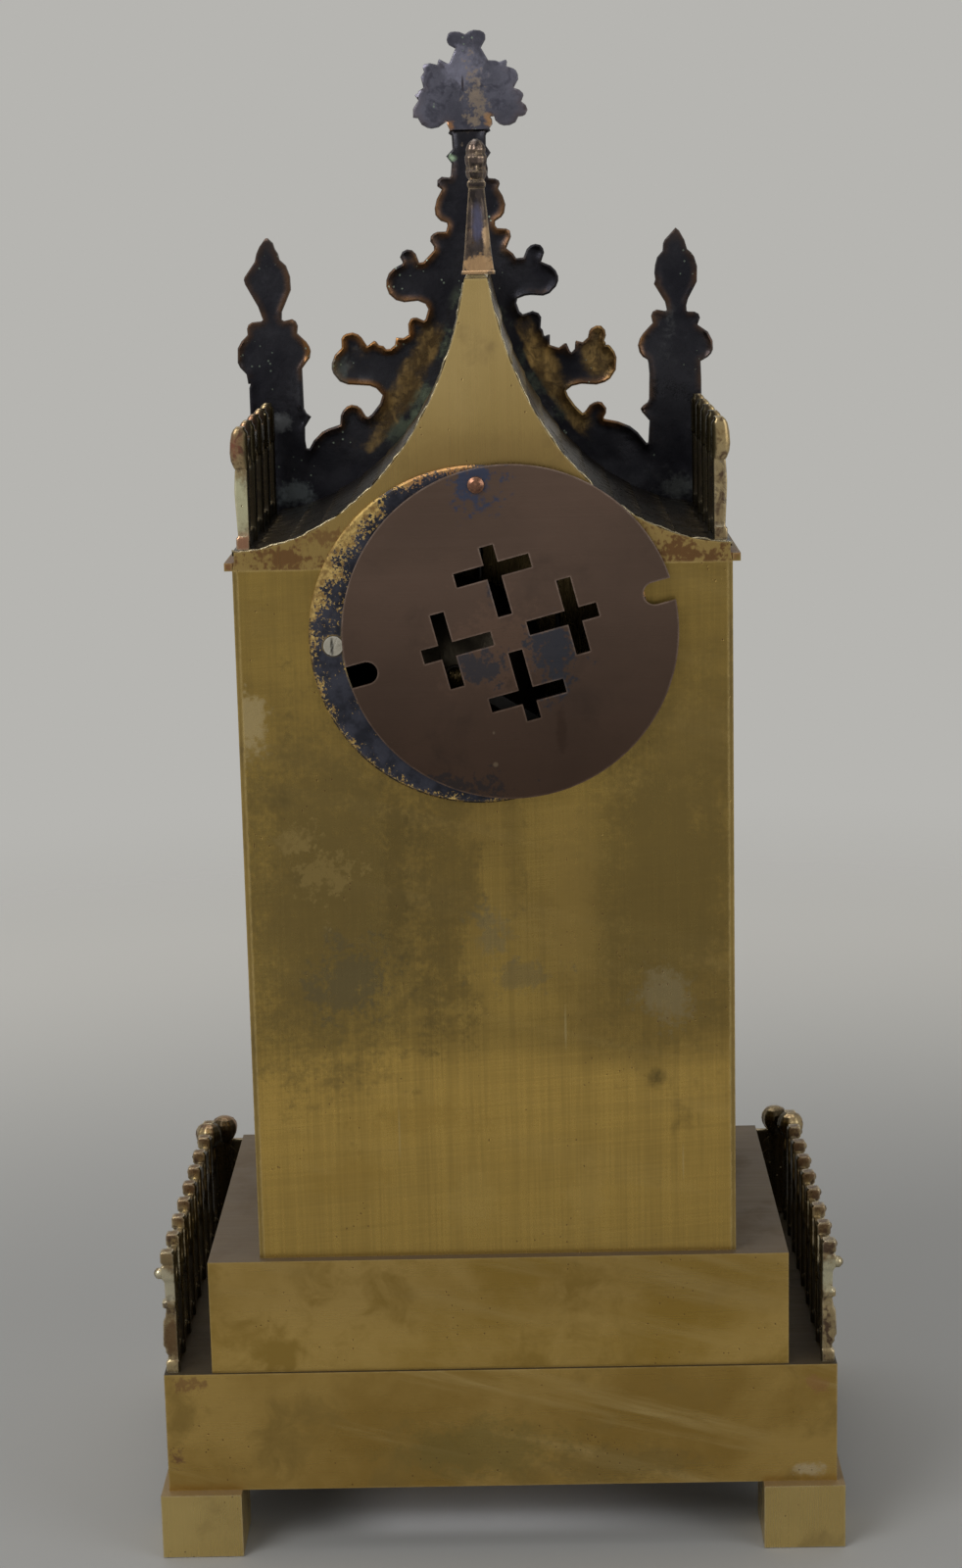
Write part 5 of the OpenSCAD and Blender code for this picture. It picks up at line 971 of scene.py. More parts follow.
# The crest's outline from the left shoulder over the fleuron to the right one: x and z of each point.
CREST = np.array((
    81.1, 376.9, 80.6, 378.3, 81.4, 378.3, 81.9, 381.6, 84.0, 383.9, 84.8, 385.7, 84.6, 390.6, 83.2, 393.0, 81.0,
    395.1, 81.1, 397.3, 80.6, 398.6, 79.4, 399.4, 76.1, 399.7, 75.5, 400.2, 77.0, 404.7, 81.2, 412.4, 81.6, 414.0,
    81.3, 414.9, 77.6, 420.0, 76.9, 422.8, 75.8, 425.1, 73.7, 427.8, 73.0, 428.0, 71.1, 426.2, 70.5, 424.2, 69.5,
    422.6, 69.0, 420.5, 66.9, 418.5, 65.6, 414.7, 65.5, 410.1, 68.9, 402.7, 69.0, 400.1, 68.3, 399.6, 65.5, 400.2,
    64.2, 399.4, 63.5, 397.8, 63.8, 395.3, 60.7, 392.3, 59.7, 390.6, 59.3, 389.1, 59.7, 386.7, 62.5, 383.1, 62.3,
    369.3, 61.5, 367.7, 59.9, 366.4, 62.2, 362.8, 62.3, 358.3, 61.9, 355.5, 60.9, 355.4, 59.3, 358.2, 56.3, 361.1,
    54.0, 362.2, 49.9, 363.5, 49.6, 366.7, 48.8, 368.3, 47.4, 369.7, 45.7, 370.3, 43.8, 369.9, 42.4, 368.9, 40.8,
    366.2, 40.1, 365.9, 38.7, 366.9, 35.8, 370.5, 34.8, 373.4, 36.9, 375.8, 39.1, 376.7, 46.8, 377.3, 49.5, 378.4,
    51.7, 381.2, 52.2, 382.9, 52.1, 384.8, 50.9, 387.7, 48.5, 390.0, 48.5, 393.1, 47.8, 394.2, 46.8, 394.8, 44.6,
    395.2, 42.7, 394.5, 41.5, 393.4, 39.6, 390.4, 37.2, 392.2, 36.5, 391.9, 35.5, 390.6, 34.0, 390.3, 33.1, 389.2,
    31.6, 389.3, 30.0, 390.6, 29.5, 393.1, 27.0, 392.9, 25.1, 394.0, 25.2, 397.7, 24.3, 399.4, 23.4, 399.8, 22.1,
    399.8, 19.7, 398.7, 19.1, 399.3, 18.1, 402.6, 19.0, 404.4, 21.6, 405.5, 26.3, 405.1, 29.2, 405.9, 31.5, 408.0,
    32.4, 410.6, 32.3, 412.9, 31.4, 415.1, 29.7, 416.7, 26.6, 418.3, 26.5, 418.8, 27.4, 420.5, 26.5, 422.3, 25.0,
    423.1, 23.2, 422.8, 21.9, 421.5, 20.8, 418.5, 19.4, 418.7, 15.6, 422.6, 15.6, 423.8, 16.8, 425.6, 16.6, 427.3,
    15.7, 428.2, 14.3, 428.8, 11.3, 428.8, 10.7, 430.8, 10.9, 431.7, 13.0, 432.4, 14.0, 433.4, 14.8, 434.5, 15.0,
    436.7, 14.2, 439.8, 12.4, 443.0, 13.9, 444.1, 13.8, 446.2, 12.3, 447.3, 9.7, 447.0, 9.2, 447.5, 8.8, 451.7, 10.6,
    454.1, 8.4, 456.4, 8.6, 460.9, 9.7, 461.7, 9.2, 462.8, 10.0, 464.6, 10.0, 465.8, 13.0, 463.8, 15.3, 463.4, 16.8,
    463.7, 18.7, 464.8, 20.0, 467.0, 21.6, 467.2, 21.5, 470.2, 19.6, 472.9, 20.8, 474.5, 20.5, 475.1, 19.7, 475.2,
    19.6, 475.9, 17.8, 477.1, 18.6, 480.6, 17.4, 482.3, 17.9, 483.9, 17.5, 484.8, 15.4, 485.2, 12.9, 484.6, 12.4,
    486.2, 12.1, 486.4, 9.3, 484.9, 8.7, 485.1, 6.6, 489.8, 8.7, 490.9, 9.3, 491.8, 9.5, 492.7, 9.0, 494.6, 8.1,
    495.3, 6.5, 495.4, 5.0, 495.2, 3.2, 494.4, 1.9, 495.3, 0.3, 495.8, 0.1, 495.8, -1.9, 495.6, -3.2, 494.9, -3.7,
    494.1, -3.7, 492.6, -2.1, 489.9, -4.5, 485.7, -6.9, 485.6, -8.2, 485.1, -10.5, 485.8, -10.9, 485.1, -10.7, 483.6,
    -13.0, 482.8, -13.9, 482.1, -14.5, 480.8, -14.6, 479.2, -13.0, 476.4, -14.9, 475.7, -16.1, 474.6, -16.3, 473.8,
    -15.5, 471.8, -17.0, 470.6, -17.6, 469.0, -16.8, 467.4, -15.8, 466.9, -14.4, 466.8, -13.4, 464.9, -11.4, 464.0,
    -9.4, 463.9, -7.9, 464.4, -6.5, 465.7, -6.1, 467.1, -4.8, 467.0, -5.4, 466.1, -5.5, 464.5, -4.4, 463.1, -4.8,
    462.3, -3.4, 461.5, -3.1, 460.6, -3.1, 457.4, -4.7, 455.0, -3.0, 452.5, -3.6, 449.8, -3.4, 447.5, -3.8, 446.5,
    -6.0, 446.3, -7.3, 445.6, -7.6, 444.5, -7.0, 442.9, -8.5, 440.5, -9.4, 437.5, -8.9, 434.7, -7.9, 433.3, -5.7,
    431.9, -5.7, 430.5, -6.4, 429.6, -9.4, 429.4, -10.7, 428.7, -11.1, 426.6, -9.4, 422.7, -11.7, 420.9, -12.7, 419.3,
    -15.2, 419.5, -16.4, 422.3, -17.8, 423.6, -19.4, 424.0, -21.1, 423.6, -22.0, 422.5, -22.4, 421.0, -21.3, 417.9,
    -24.6, 416.5, -26.3, 414.8, -27.1, 412.9, -27.1, 411.3, -26.3, 409.4, -24.0, 407.1, -21.8, 406.3, -17.4, 406.6,
    -15.4, 406.4, -12.9, 405.5, -12.5, 404.0, -13.5, 401.1, -14.6, 400.1, -18.0, 401.2, -20.1, 400.4, -21.0, 399.0,
    -20.7, 395.4, -21.5, 394.5, -21.8, 392.8, -22.2, 392.5, -23.3, 393.0, -23.9, 392.9, -23.8, 389.4, -26.9, 388.4,
    -28.8, 389.8, -29.6, 389.9, -30.8, 387.1, -31.3, 386.7, -32.4, 387.8, -32.6, 390.1, -32.9, 390.7, -35.2, 390.1,
    -37.0, 391.7, -37.5, 393.9, -38.2, 394.8, -40.0, 395.7, -41.7, 395.6, -43.0, 394.2, -43.3, 392.3, -42.7, 390.6,
    -43.2, 389.7, -43.2, 389.0, -44.0, 389.1, -44.8, 388.6, -46.2, 386.7, -46.9, 384.7, -46.6, 380.4, -44.6, 377.4,
    -42.7, 376.2, -39.8, 375.4, -34.5, 375.8, -31.2, 375.1, -29.2, 373.6, -29.9, 371.7, -32.3, 368.3, -34.8, 365.7,
    -35.4, 365.9, -37.3, 368.4, -38.8, 369.3, -40.2, 369.6, -41.6, 369.3, -43.1, 367.3, -43.0, 365.6, -42.2, 364.1,
    -42.3, 363.5, -47.2, 362.5, -51.3, 360.8, -54.0, 358.6, -57.0, 354.8, -57.6, 355.0, -58.1, 362.5, -55.5, 365.5,
    -55.0, 366.7, -55.9, 367.8, -57.5, 368.9, -58.0, 370.0, -58.2, 378.8, -57.9, 382.5, -57.6, 383.6, -55.9, 384.6,
    -54.8, 386.2, -54.3, 388.6, -55.0, 390.9, -56.2, 392.7, -59.5, 396.1, -59.0, 398.6, -59.6, 400.0, -61.0, 400.7,
    -64.0, 400.1, -64.5, 400.5, -63.9, 403.2, -60.1, 409.4, -60.6, 410.9, -60.3, 413.2, -60.6, 415.9, -61.3, 418.5,
    -63.2, 420.6, -63.4, 423.1, -63.9, 424.3, -67.7, 428.4, -68.9, 427.4, -70.7, 424.2, -71.6, 421.1, -73.0, 419.9,
    -74.0, 418.5, -75.0, 415.2, -74.9, 410.0, -71.8, 404.2, -71.2, 402.0, -71.3, 400.1, -71.8, 399.8, -74.1, 399.7,
    -75.4, 399.0, -75.9, 397.6, -75.0, 395.3, -78.6, 392.8, -80.2, 389.7, -80.3, 386.7, -79.7, 385.3, -78.5, 384.1,
    -76.0, 382.7, -76.2, 376.4)).reshape(-1, 2)


@dataclass
class Facade:
    """The front casting: crockets, spire, fleuron and pinnacles in one plate with modelled leaves."""

    centre: float = 2.5
    pinnacle_x: float = 69.45
    shoulder: float = 9.2
    dial_hole: float = 46.6
    leaf_rise: float = 2.3
    hollow: float = 0.8
    highest: float = 3.6
    moulding: float = 3.8
    ledge: tuple[float, float] = (462.2, 462.9)
    ledge_rows: tuple[float, ...] = (461.9, 462.2, 462.55, 462.9, 463.3)

    def outline(self) -> np.ndarray:
        """The whole outline: the body's corners and the crest drawn in between."""
        half, foot, neck = CLOCK.case_half, CLOCK.case_z, CLOCK.eave_z - 4
        reach = self.pinnacle_x + self.shoulder
        left = [(half, foot), (half, neck), (self.centre + reach, neck)]
        right = [(self.centre - reach, neck), (-half, neck), (-half, foot)]
        return np.vstack([left, CREST, right])

    def front(self, x: np.ndarray, z: np.ndarray, d: np.ndarray) -> np.ndarray:
        """The front: flat on the body; pillowed leaves with veins above; three mouldings along the gable's curve."""
        u = np.abs(x - self.centre)
        above = smooth(z, CLOCK.eave_z + 3, CLOCK.eave_z + 12)
        depth = CLOCK.curve_depth(x, z)
        band = smooth(depth, -0.5, 0.5) * (1 - smooth(depth, 9.5, 11.0)) * (1 - smooth(z, 416, 424))
        pinnacle = 1 - smooth(np.abs(u - self.pinnacle_x), 9.0, 10.5)
        pillow = self.leaf_rise * np.sqrt(np.clip(d / 6.0, 0.0, 1.0))
        veins = 0.35 * np.sin(1.9 * x + 0.9 * np.sin(z * 0.35)) * np.sin(1.3 * z + 1.1 * np.sin(x * 0.4))
        leaf = (pillow + veins * smooth(d, 0.8, 2.5)) * smooth(depth, 10.0, 12.0)
        stem = smooth(z, 424, 430) * (1 - smooth(u, 3.2, 4.4)) * (1 - smooth(z, 459, 463)) * 1.2
        mould = band * (1.3 + 0.9 * np.cos(2 * np.pi * depth / self.moulding))
        flank = pinnacle * smooth(z, 330, 338) * 0.6
        crown = smooth(z, 462, 466) * (0.6 * np.cos(np.arctan2(z - 470, x - self.centre) * 6) * smooth(d, 1, 4))
        rise = above * np.maximum(np.maximum(leaf * (1 - pinnacle), mould), np.maximum(flank * pinnacle, 0))
        return CLOCK.facade_front_y - np.clip(rise + above * (stem + crown), 0.0, self.highest)

    def back(self, x: np.ndarray, z: np.ndarray, d: np.ndarray) -> np.ndarray:
        """The back: hollow inside a narrow rim on the crest, and sunk below the fleuron, which ends in a ledge."""
        u = np.abs(x - self.centre)
        below_ledge = 1 - smooth(z, *self.ledge)
        shaft = 1 - smooth(np.abs(u - self.pinnacle_x), 9.0, 10.5)
        hollow = self.hollow * (smooth(z, 338, 350) * below_ledge) * (1 - 0.6 * shaft) * smooth(d, 0.6, 2.4)
        stem = 0.5 * smooth(z, 444, 450) * below_ledge
        return CLOCK.case_front_y - 0.12 * (1 + ripple(x, z, size=4.0)) * smooth(d, 0.0, 1.5) - hollow - stem

    def worn(self, x: np.ndarray, z: np.ndarray) -> tuple[np.ndarray, np.ndarray]:
        """Where the gilding and the verdigris show on the back: bands that follow the roof's curve."""
        depth = CLOCK.curve_depth(x, z)
        u = np.abs(x - self.centre)
        band = smooth(depth, 2.0, 5.0) * (1 - smooth(depth, 9.0, 19.0)) * (1 - smooth(z, 394, 410))
        band = band * (1 - 0.85 * smooth(u, 32, 45)) * 0.8
        lobes = np.exp(-((u - 43) / 9) ** 2 - ((z - 386) / 10) ** 2) * np.where(x < 0, 0.9, 0.35)
        foot = np.exp(-((u - 50) / 9) ** 2 - ((z - 358) / 6) ** 2) * 0.2
        shade = 1 - 0.45 * np.exp(-((u - 62) / 12) ** 2 - ((z - 362) / 14) ** 2)
        gilt = np.clip(np.maximum(band, np.maximum(lobes, foot)) * shade * (1 - smooth(u, 60, 64)), 0, 1)
        green = (1 - smooth(np.abs(depth - 1.5), 1.5, 4.5)) * smooth(z, 352, 366) * (1 - smooth(z, 404, 412))
        return gilt, green * np.where(x > 0, 1.0, 0.4)

    def build(self, finish: Material) -> None:
        """Builds the plate and stores where its gilding and verdigris show.

        Args:
            finish: the dark casting's material.
        """
        soup = Soup()
        hole = circle(CLOCK.move_x, CLOCK.move_z, self.dial_hole, 96)
        ledge = np.stack(np.meshgrid(np.arange(-10.0, 14.0, 0.8), self.ledge_rows), -1).reshape(-1, 2)
        soup.plate([self.outline(), hole], self.front, self.back, 2.0, 0.7, more=ledge)
        piece = soup.build("front_casting", "dark_casting", finish, ["facade"])
        places = np.vstack(soup.points)
        for name, values in zip(("gilt", "green"), self.worn(places[:, 0], places[:, 2])):
            store(piece.data, name, values)


@dataclass
class Roof:
    """The two hollow slopes, laid with rows of round-ended scales."""

    y0: float = -46.1
    y1: float = 67.7
    rows: int = 11
    lip: float = 0.6
    lip_reach: float = 0.40
    sheet: float = 1.2
    scales: int = 11
    dome: float = 0.35
    seam_reach: float = 0.40
    start: float = 12.0
    end: float = 89.2

    def curve(self, steps: int) -> tuple[np.ndarray, np.ndarray, np.ndarray]:
        """The slope's line: x and z of an ellipse's arc, and the normal that looks up."""
        turn = np.radians(np.linspace(self.start, self.end, steps))
        x = CLOCK.curve_x - CLOCK.curve_a * np.cos(turn)
        z = CLOCK.curve_z - CLOCK.curve_b * np.sin(turn)
        normal = np.stack([-np.gradient(z), np.gradient(x)], -1)
        normal /= np.hypot(*normal.T)[:, None]
        return x, z, normal * np.sign(normal[:, 1:2])

    def scaled(self, s: np.ndarray, y: np.ndarray) -> np.ndarray:
        """How far the scales stand off at length s and place y, as a sawtooth that steps down at each round lip.

        A point lies on the first row r whose lip, (r + 1)*row + lip_reach*pitch*sqrt(1 - w^2), it hasn't passed,
        where w runs from -1 to 1 across a scale; there it stands off by lip*(s - r*row)/(the row's length).

        Args:
            s: lengths along the slope.
            y: places across it.

        Returns:
            The heights, shaped (lengths, places).
        """
        row, pitch = s[-1] / self.rows, (self.y1 - self.y0) / self.scales
        height = np.zeros((len(s), len(y)))
        done = np.zeros(height.shape, bool)
        for r in range(self.rows):
            place = (y - self.y0) / pitch + (0.5 if r % 2 else 0.0)
            across = 2 * (place - np.floor(place)) - 1
            lip = (r + 1) * row + self.lip_reach * pitch * np.sqrt(np.maximum(1 - across ** 2, 0.0))
            here = (~done) & (s[:, None] < lip[None, :])
            share = (s[:, None] - r * row) / (lip[None, :] - r * row)
            height = np.where(here, self.lip * share * (1 - self.dome * across[None, :] ** 2), height)
            done |= here
        return height * (smooth(s, 0.5, 2.0) * (1 - smooth(s, s[-1] - 9, s[-1] - 3)))[:, None]

    def slope(self, side: int) -> tuple[np.ndarray, np.ndarray]:
        """One slope: its points, as rows that run along the top and back along the underside, and the heights."""
        x, z, normal = self.curve(210)
        s = np.concatenate([[0.0], np.cumsum(np.hypot(np.diff(x), np.diff(z)))])
        y = np.linspace(self.y0, self.y1, 150)
        height = self.scaled(s, y)
        sheets = []
        for off in (height, np.full(height.shape, -self.sheet)):
            sheets.append(np.stack([side * (x[:, None] + normal[:, :1] * off), np.broadcast_to(y, off.shape),
                                    z[:, None] + normal[:, 1:] * off], -1))
        return np.concatenate([sheets[0], sheets[1][:, ::-1]], 1), height

    def build(self, finish: Material) -> None:
        """Builds both slopes.

        Args:
            finish: the scales' material.
        """
        for side, name, node in ((1, "scales_left", "roof_left"), (-1, "scales_right", "roof_right")):
            points, height = self.slope(side)
            rim = np.concatenate([np.clip((self.lip - height) * 4, 0, FAR_IN), np.full_like(height, FAR_IN)], 1)
            soup = Soup()
            soup.grid(points, flip=side > 0, rim=rim)
            soup.build(name, "old_brass", finish, [node], 30.0)

    def seam(self, finish: Material) -> None:
        """Builds the wavy solder seams where the gable meets the slopes.

        Each is a tube along the roof's curve; its radius is seam_reach with a ripple of a third of that.

        Args:
            finish: the solder's material.
        """
        soup = Soup()
        x, z, normal = self.curve(260)
        s = np.arange(len(x)) * 0.55
        around = np.linspace(0, 2 * np.pi, 10, endpoint=False)
        for side in (-1, 1):
            size = (self.seam_reach + 0.14 * ripple(s + side, size=1.7, seed=1.0 + side))[:, None]
            off = (0.05 + 0.4 * ripple(s, size=3.1, seed=2.0 + side))[:, None] + size * np.cos(around)
            points = np.stack([side * (x[:, None] + normal[:, :1] * off), self.y1 + 0.35 + size * np.sin(around),
                               z[:, None] + normal[:, 1:] * off], -1)
            soup.grid(points, flip=side < 0)
        soup.build("gable_seams", "old_brass", finish)


BASE_POST = ((0.0, 1.02, 1.0, 7.0), (0.4, 1.1, 1.0, 7.0), (3.4, 1.1, 1.0, 7.0), (3.8, 0.95, 0.96, 7.0),
             (4.4, 0.68, 0.8, 7.0), (5.8, 0.8, 0.85, 8.0), (9.5, 1.34, 0.97, 8.0), (16.5, 1.34, 0.97, 8.0),
             (20.3, 0.8, 0.85, 8.0), (22.2, 0.78, 0.85, 6.0), (22.7, 1.25, 0.98, 5.0), (24.4, 1.28, 0.98, 5.0),
             (24.9, 0.85, 0.9, 6.0), (25.4, 0.78, 0.86, 6.0), (31.0, 0.82, 0.88, 6.0), (31.7, 0.95, 0.92, 5.0),
             (32.4, 1.2, 1.0, 6.4), (34.4, 1.3, 1.02, 6.8), (36.6, 1.28, 1.02, 6.8), (37.2, 1.0, 0.94, 6.4),
             (37.6, 1.0, 0.94, 6.4), (38.1, 1.3, 1.02, 6.8), (40.9, 1.3, 1.02, 6.8), (41.6, 1.22, 0.97, 6.0),
             (41.9, 1.08, 0.85, 5.0))
EAVE_POST = ((0.0, 1.05, 1.0, 7.0), (0.4, 1.1, 1.0, 7.0), (3.5, 1.1, 1.0, 7.0), (3.9, 0.95, 0.95, 7.0),
             (4.4, 0.8, 0.9, 8.0), (11.0, 0.93, 0.94, 8.0), (18.0, 1.03, 0.96, 8.0), (24.0, 0.9, 0.94, 8.0),
             (25.0, 0.88, 0.9, 7.0), (25.6, 1.1, 1.05, 3.4), (27.6, 1.46, 1.13, 2.8), (30.0, 1.58, 1.15, 2.8),
             (33.4, 1.48, 1.13, 2.8), (36.2, 1.22, 1.06, 3.2), (37.4, 0.9, 0.95, 3.6), (38.2, 0.5, 0.7, 3.6))
FRONT_LEAF = ((106.8, 62.8), (106.8, 96.5), (105, 97.6), (101.3, 97.0), (100.0, 95.4), (101.0, 93.6),
              (99.0, 91.6), (98.6, 90.2), (100.2, 88.6), (98.0, 86.4), (97.6, 84.9), (99.3, 83.4),
              (97.4, 80.6), (97.2, 79.0), (98.6, 77.4), (96.6, 73.5), (98.0, 70.5), (96.2, 66.0), (96.2, 62.8))
CORNER_BULB = ((1.5, -6.0), (2.3, -4.9), (3.5, -3.6), (4.5, -1.6), (4.78, 0.2), (4.5, 2.0), (3.5, 3.5),
               (2.0, 4.3), (0.6, 4.58))
POST_BALL = ((0.3, -1.88), (1.1, -1.6), (1.7, -0.8), (1.88, 0.0), (1.7, 0.8), (1.1, 1.6), (0.3, 1.88))


@dataclass(frozen=True)
class Run:
    """One kind of side gallery: its place and its bays."""

    x: float
    y: tuple[float, float]
    foot: float
    height: float
    pitch: float

    @property
    def bays(self) -> int:
        """The number of bays."""
        return round((self.y[1] - self.y[0]) / self.pitch)


@dataclass
class Galleries:
    """The pierced galleries of the lower plinth and of the eaves, with their turned and leafed posts."""

    base: Run = Run(107.7, (-62.5, 69.5), 62.8, 38.0, 16.5)
    eave: Run = Run(74.2, (-37.1, 64.9), 334.05, 38.4 * 0.87, 25.5)
    corner_z: float = 100.1
    front_ball_x: float = 103.2
    front_half: float = 101.2
    front_bays: int = 9
    front_height: float = 33.0
    front_y: float = -69.2
    thick: float = 2.2
    post: float = 2.2
    mullion: float = 0.7
    light_foot: float = 0.13
    light_spring: float = 0.42
    light_crown: float = 1.7
    roundel_at: float = 0.83
    roundel: float = 0.07
    ball_z: float = 34.0
    # Heights below which the posts behind the nearest one are painted in shade: base galleries, then eaves.
    back_shade: tuple[float, float] = (28.0, 60.0)

    def panel(self, soup: Soup, run: tuple[float, float], foot: float, height: float, bays: int, across: float,
              axis: Axis) -> None:
        """Adds one pierced panel: two pointed lights and a roundel to each bay.

        Args:
            soup: the mesh that it joins.
            run: where it starts and ends along its length.
            foot: its lower edge.
            height: its height.
            bays: the number of bays.
            across: the place of its middle plane on the axis.
            axis: the axis that it faces.
        """
        start, end = run
        pitch = (end - start) / bays
        half, spring = pitch / 4 - self.mullion, height * self.light_spring
        loops = [np.array([(start, foot), (end, foot), (end, foot + height), (start, foot + height)])]
        loops += [arch(start + (i + 0.5) * pitch / 2, foot + height * self.light_foot, half, spring,
                       spring + half * self.light_crown) for i in range(2 * bays)]
        loops += [circle(start + (i + 0.5) * pitch, foot + height * self.roundel_at, height * self.roundel, 14)
                  for i in range(bays)]
        front, back = (lambda u, v, d, off=off: across + off + 0 * u for off in (-self.thick / 2, self.thick / 2))
        soup.plate(loops, front, back, 2.6, 0.55, axis)

    def base_post(self, soup: Soup, at: Place, outward: tuple[int, int], last: bool) -> None:
        """Adds a lower post, cast with a flat back: block, leafed shaft, hooked ring, neck, barrel and ball."""
        r = self.post
        back, half = -0.9 * r, 0.95 * r
        rows = [(h, back if h < 41 else back * 0.7, reach * r, width * half, power)
                for h, reach, width, power in BASE_POST]
        soup.cast_bar(rows, at, outward, panel=0.3, beads=0.22, shade_below=None if last else self.back_shade[0])
        off = 1.25 * r + 0.6
        place = (at[0] + outward[0] * off, at[1] + outward[1] * off, at[2] + self.ball_z)
        soup.turned(POST_BALL, place, 16, 6, 0.04, fine=2)

    def eave_post(self, soup: Soup, at: Place, outward: tuple[int, int], last: bool) -> None:
        """Adds an eave post, cast with a flat back: foot, panelled shaft with a leafed edge, and a bulb."""
        r = self.post
        rows = [(h, (-0.9 if h < 25.3 else -1.03 if h < 37 else -0.7) * r, reach * r, width * r, power)
                for h, reach, width, power in EAVE_POST]
        soup.cast_bar(rows, at, outward, panel=0.4, beads=0.12, shade_below=None if last else self.back_shade[1])

    def corner_leaf(self, soup: Soup, x: float, y: float, z: float) -> None:
        """Adds the big leafed bulb of a front corner: a globe lobed by nine leaves over a short stem."""
        soup.turned(CORNER_BULB, (x, y, z), 45, 9, 0.035, fine=4)

    def build_front(self, fret: Material) -> None:
        """Builds the front gallery: panel, posts, a bulb at each end and leaf plates below the bulbs.

        Args:
            fret: the cast gilt material with painted shade on its back.
        """
        soup = Soup()
        foot, half, bays, y = CLOCK.plinth_z, self.front_half, self.front_bays, self.front_y
        self.panel(soup, (-half, half), foot, self.front_height, bays, y, Axis.Y)
        for i in range(1, bays):
            self.base_post(soup, (-half + 2 * half * i / bays, y, foot), (0, -1), False)
        for side in (-1, 1):
            self.corner_leaf(soup, side * self.front_ball_x, y, self.corner_z)
            soup.plate([np.array(FRONT_LEAF) * (side, 1)],
                       lambda u, v, d: y - 0.7 - 0.8 * np.sqrt(np.clip(d / 3, 0, 1)),
                       lambda u, v, d: y + 1.25 - 0.3 * smooth(d, 0.6, 1.6), 1.4, 0.4)
        soup.build("front_gallery", "gilt_brass", fret, ["base_front_gallery"])

    def build_sides(self, name: str, node: str, run: Run, finish: Material, post: Callable[..., None]) -> None:
        """Builds the left and right gallery of one kind as one mesh.

        Args:
            name: the piece's name.
            node: the CAD node that it stands for.
            run: its place and bays.
            finish: its material.
            post: the method that adds one of its posts.
        """
        soup = Soup()
        for side in (-1, 1):
            self.panel(soup, run.y, run.foot, run.height, run.bays, side * run.x, Axis.X)
            for i in range(run.bays + 1):
                post(soup, (side * run.x, run.y[0] + i * run.pitch, run.foot), (side, 0), i == run.bays)
            if run is self.base:
                self.corner_leaf(soup, side * (run.x + 0.6), run.y[0] + 1.0, self.corner_z)
        soup.build(name, "gilt_brass", finish, [node])

    def build(self, finish: Material, fret: Material) -> None:
        """Builds the galleries as one mesh for each CAD node.

        Args:
            finish: the cast gilt material.
            fret: the same for the front gallery, with painted shade on its back.
        """
        self.build_sides("side_galleries", "base_side_galleries", self.base, finish, self.base_post)
        self.build_front(fret)
        self.build_sides("eave_galleries", "roof_galleries", self.eave, finish, self.eave_post)


@dataclass
class Finial:
    """The square foliate finial over the back end of the ridge."""

    x: float = -0.8
    y: float = 63.9
    z: float = 417.2

    def build(self, finish: Material) -> None:
        """Builds a plinth block, a tapered square shaft with a sunk panel, a collar and a bunch of leaves.

        Args:
            finish: its material.
        """
        soup = Soup()
        at = (self.x, self.y, self.z)
        soup.turned([(5.1, 0), (5.2, 0.3), (5.15, 0.8), (4.85, 1.05), (4.1, 7), (3.25, 17), (2.4, 26)], at, 64,
                    square=0.96, fine=6, panel=(8.6, 22.4, 0.45))
        soup.turned([(2.4, 25.7), (2.75, 26.1), (2.85, 26.7), (2.8, 27.5), (2.35, 28.0), (2.2, 28.4)], at, 40,
                    square=0.9)
        soup.turned([(2.0, 28.0), (2.7, 29.3), (2.95, 30.6), (2.35, 31.6), (2.9, 33.0), (3.1, 35.0), (2.5, 36.0),
                     (2.75, 37.2), (2.3, 38.6), (1.5, 39.7), (0.6, 40.35)], at, 48, 4, 0.12, 0.5, 4, 28.5, 39.9)
        for turn in np.radians([0, 90, 180, 270]):
            for level, size in ((31.0, 1.0), (35.8, 0.85)):
                leaf = [(0.15, -2.6 * size), (0.6 * size, -1.8 * size), (0.85 * size, 0.2), (0.75 * size, 1.2 * size),
                        (0.15, 2.3 * size)]
                foot = (self.x + 2.2 * math.cos(turn), self.y + 2.2 * math.sin(turn), self.z + level)
                soup.turned(leaf, foot, 10, 3, 0.15)
        soup.build("leafed_finial", "gilt_brass", finish, ["ridge_finial"])


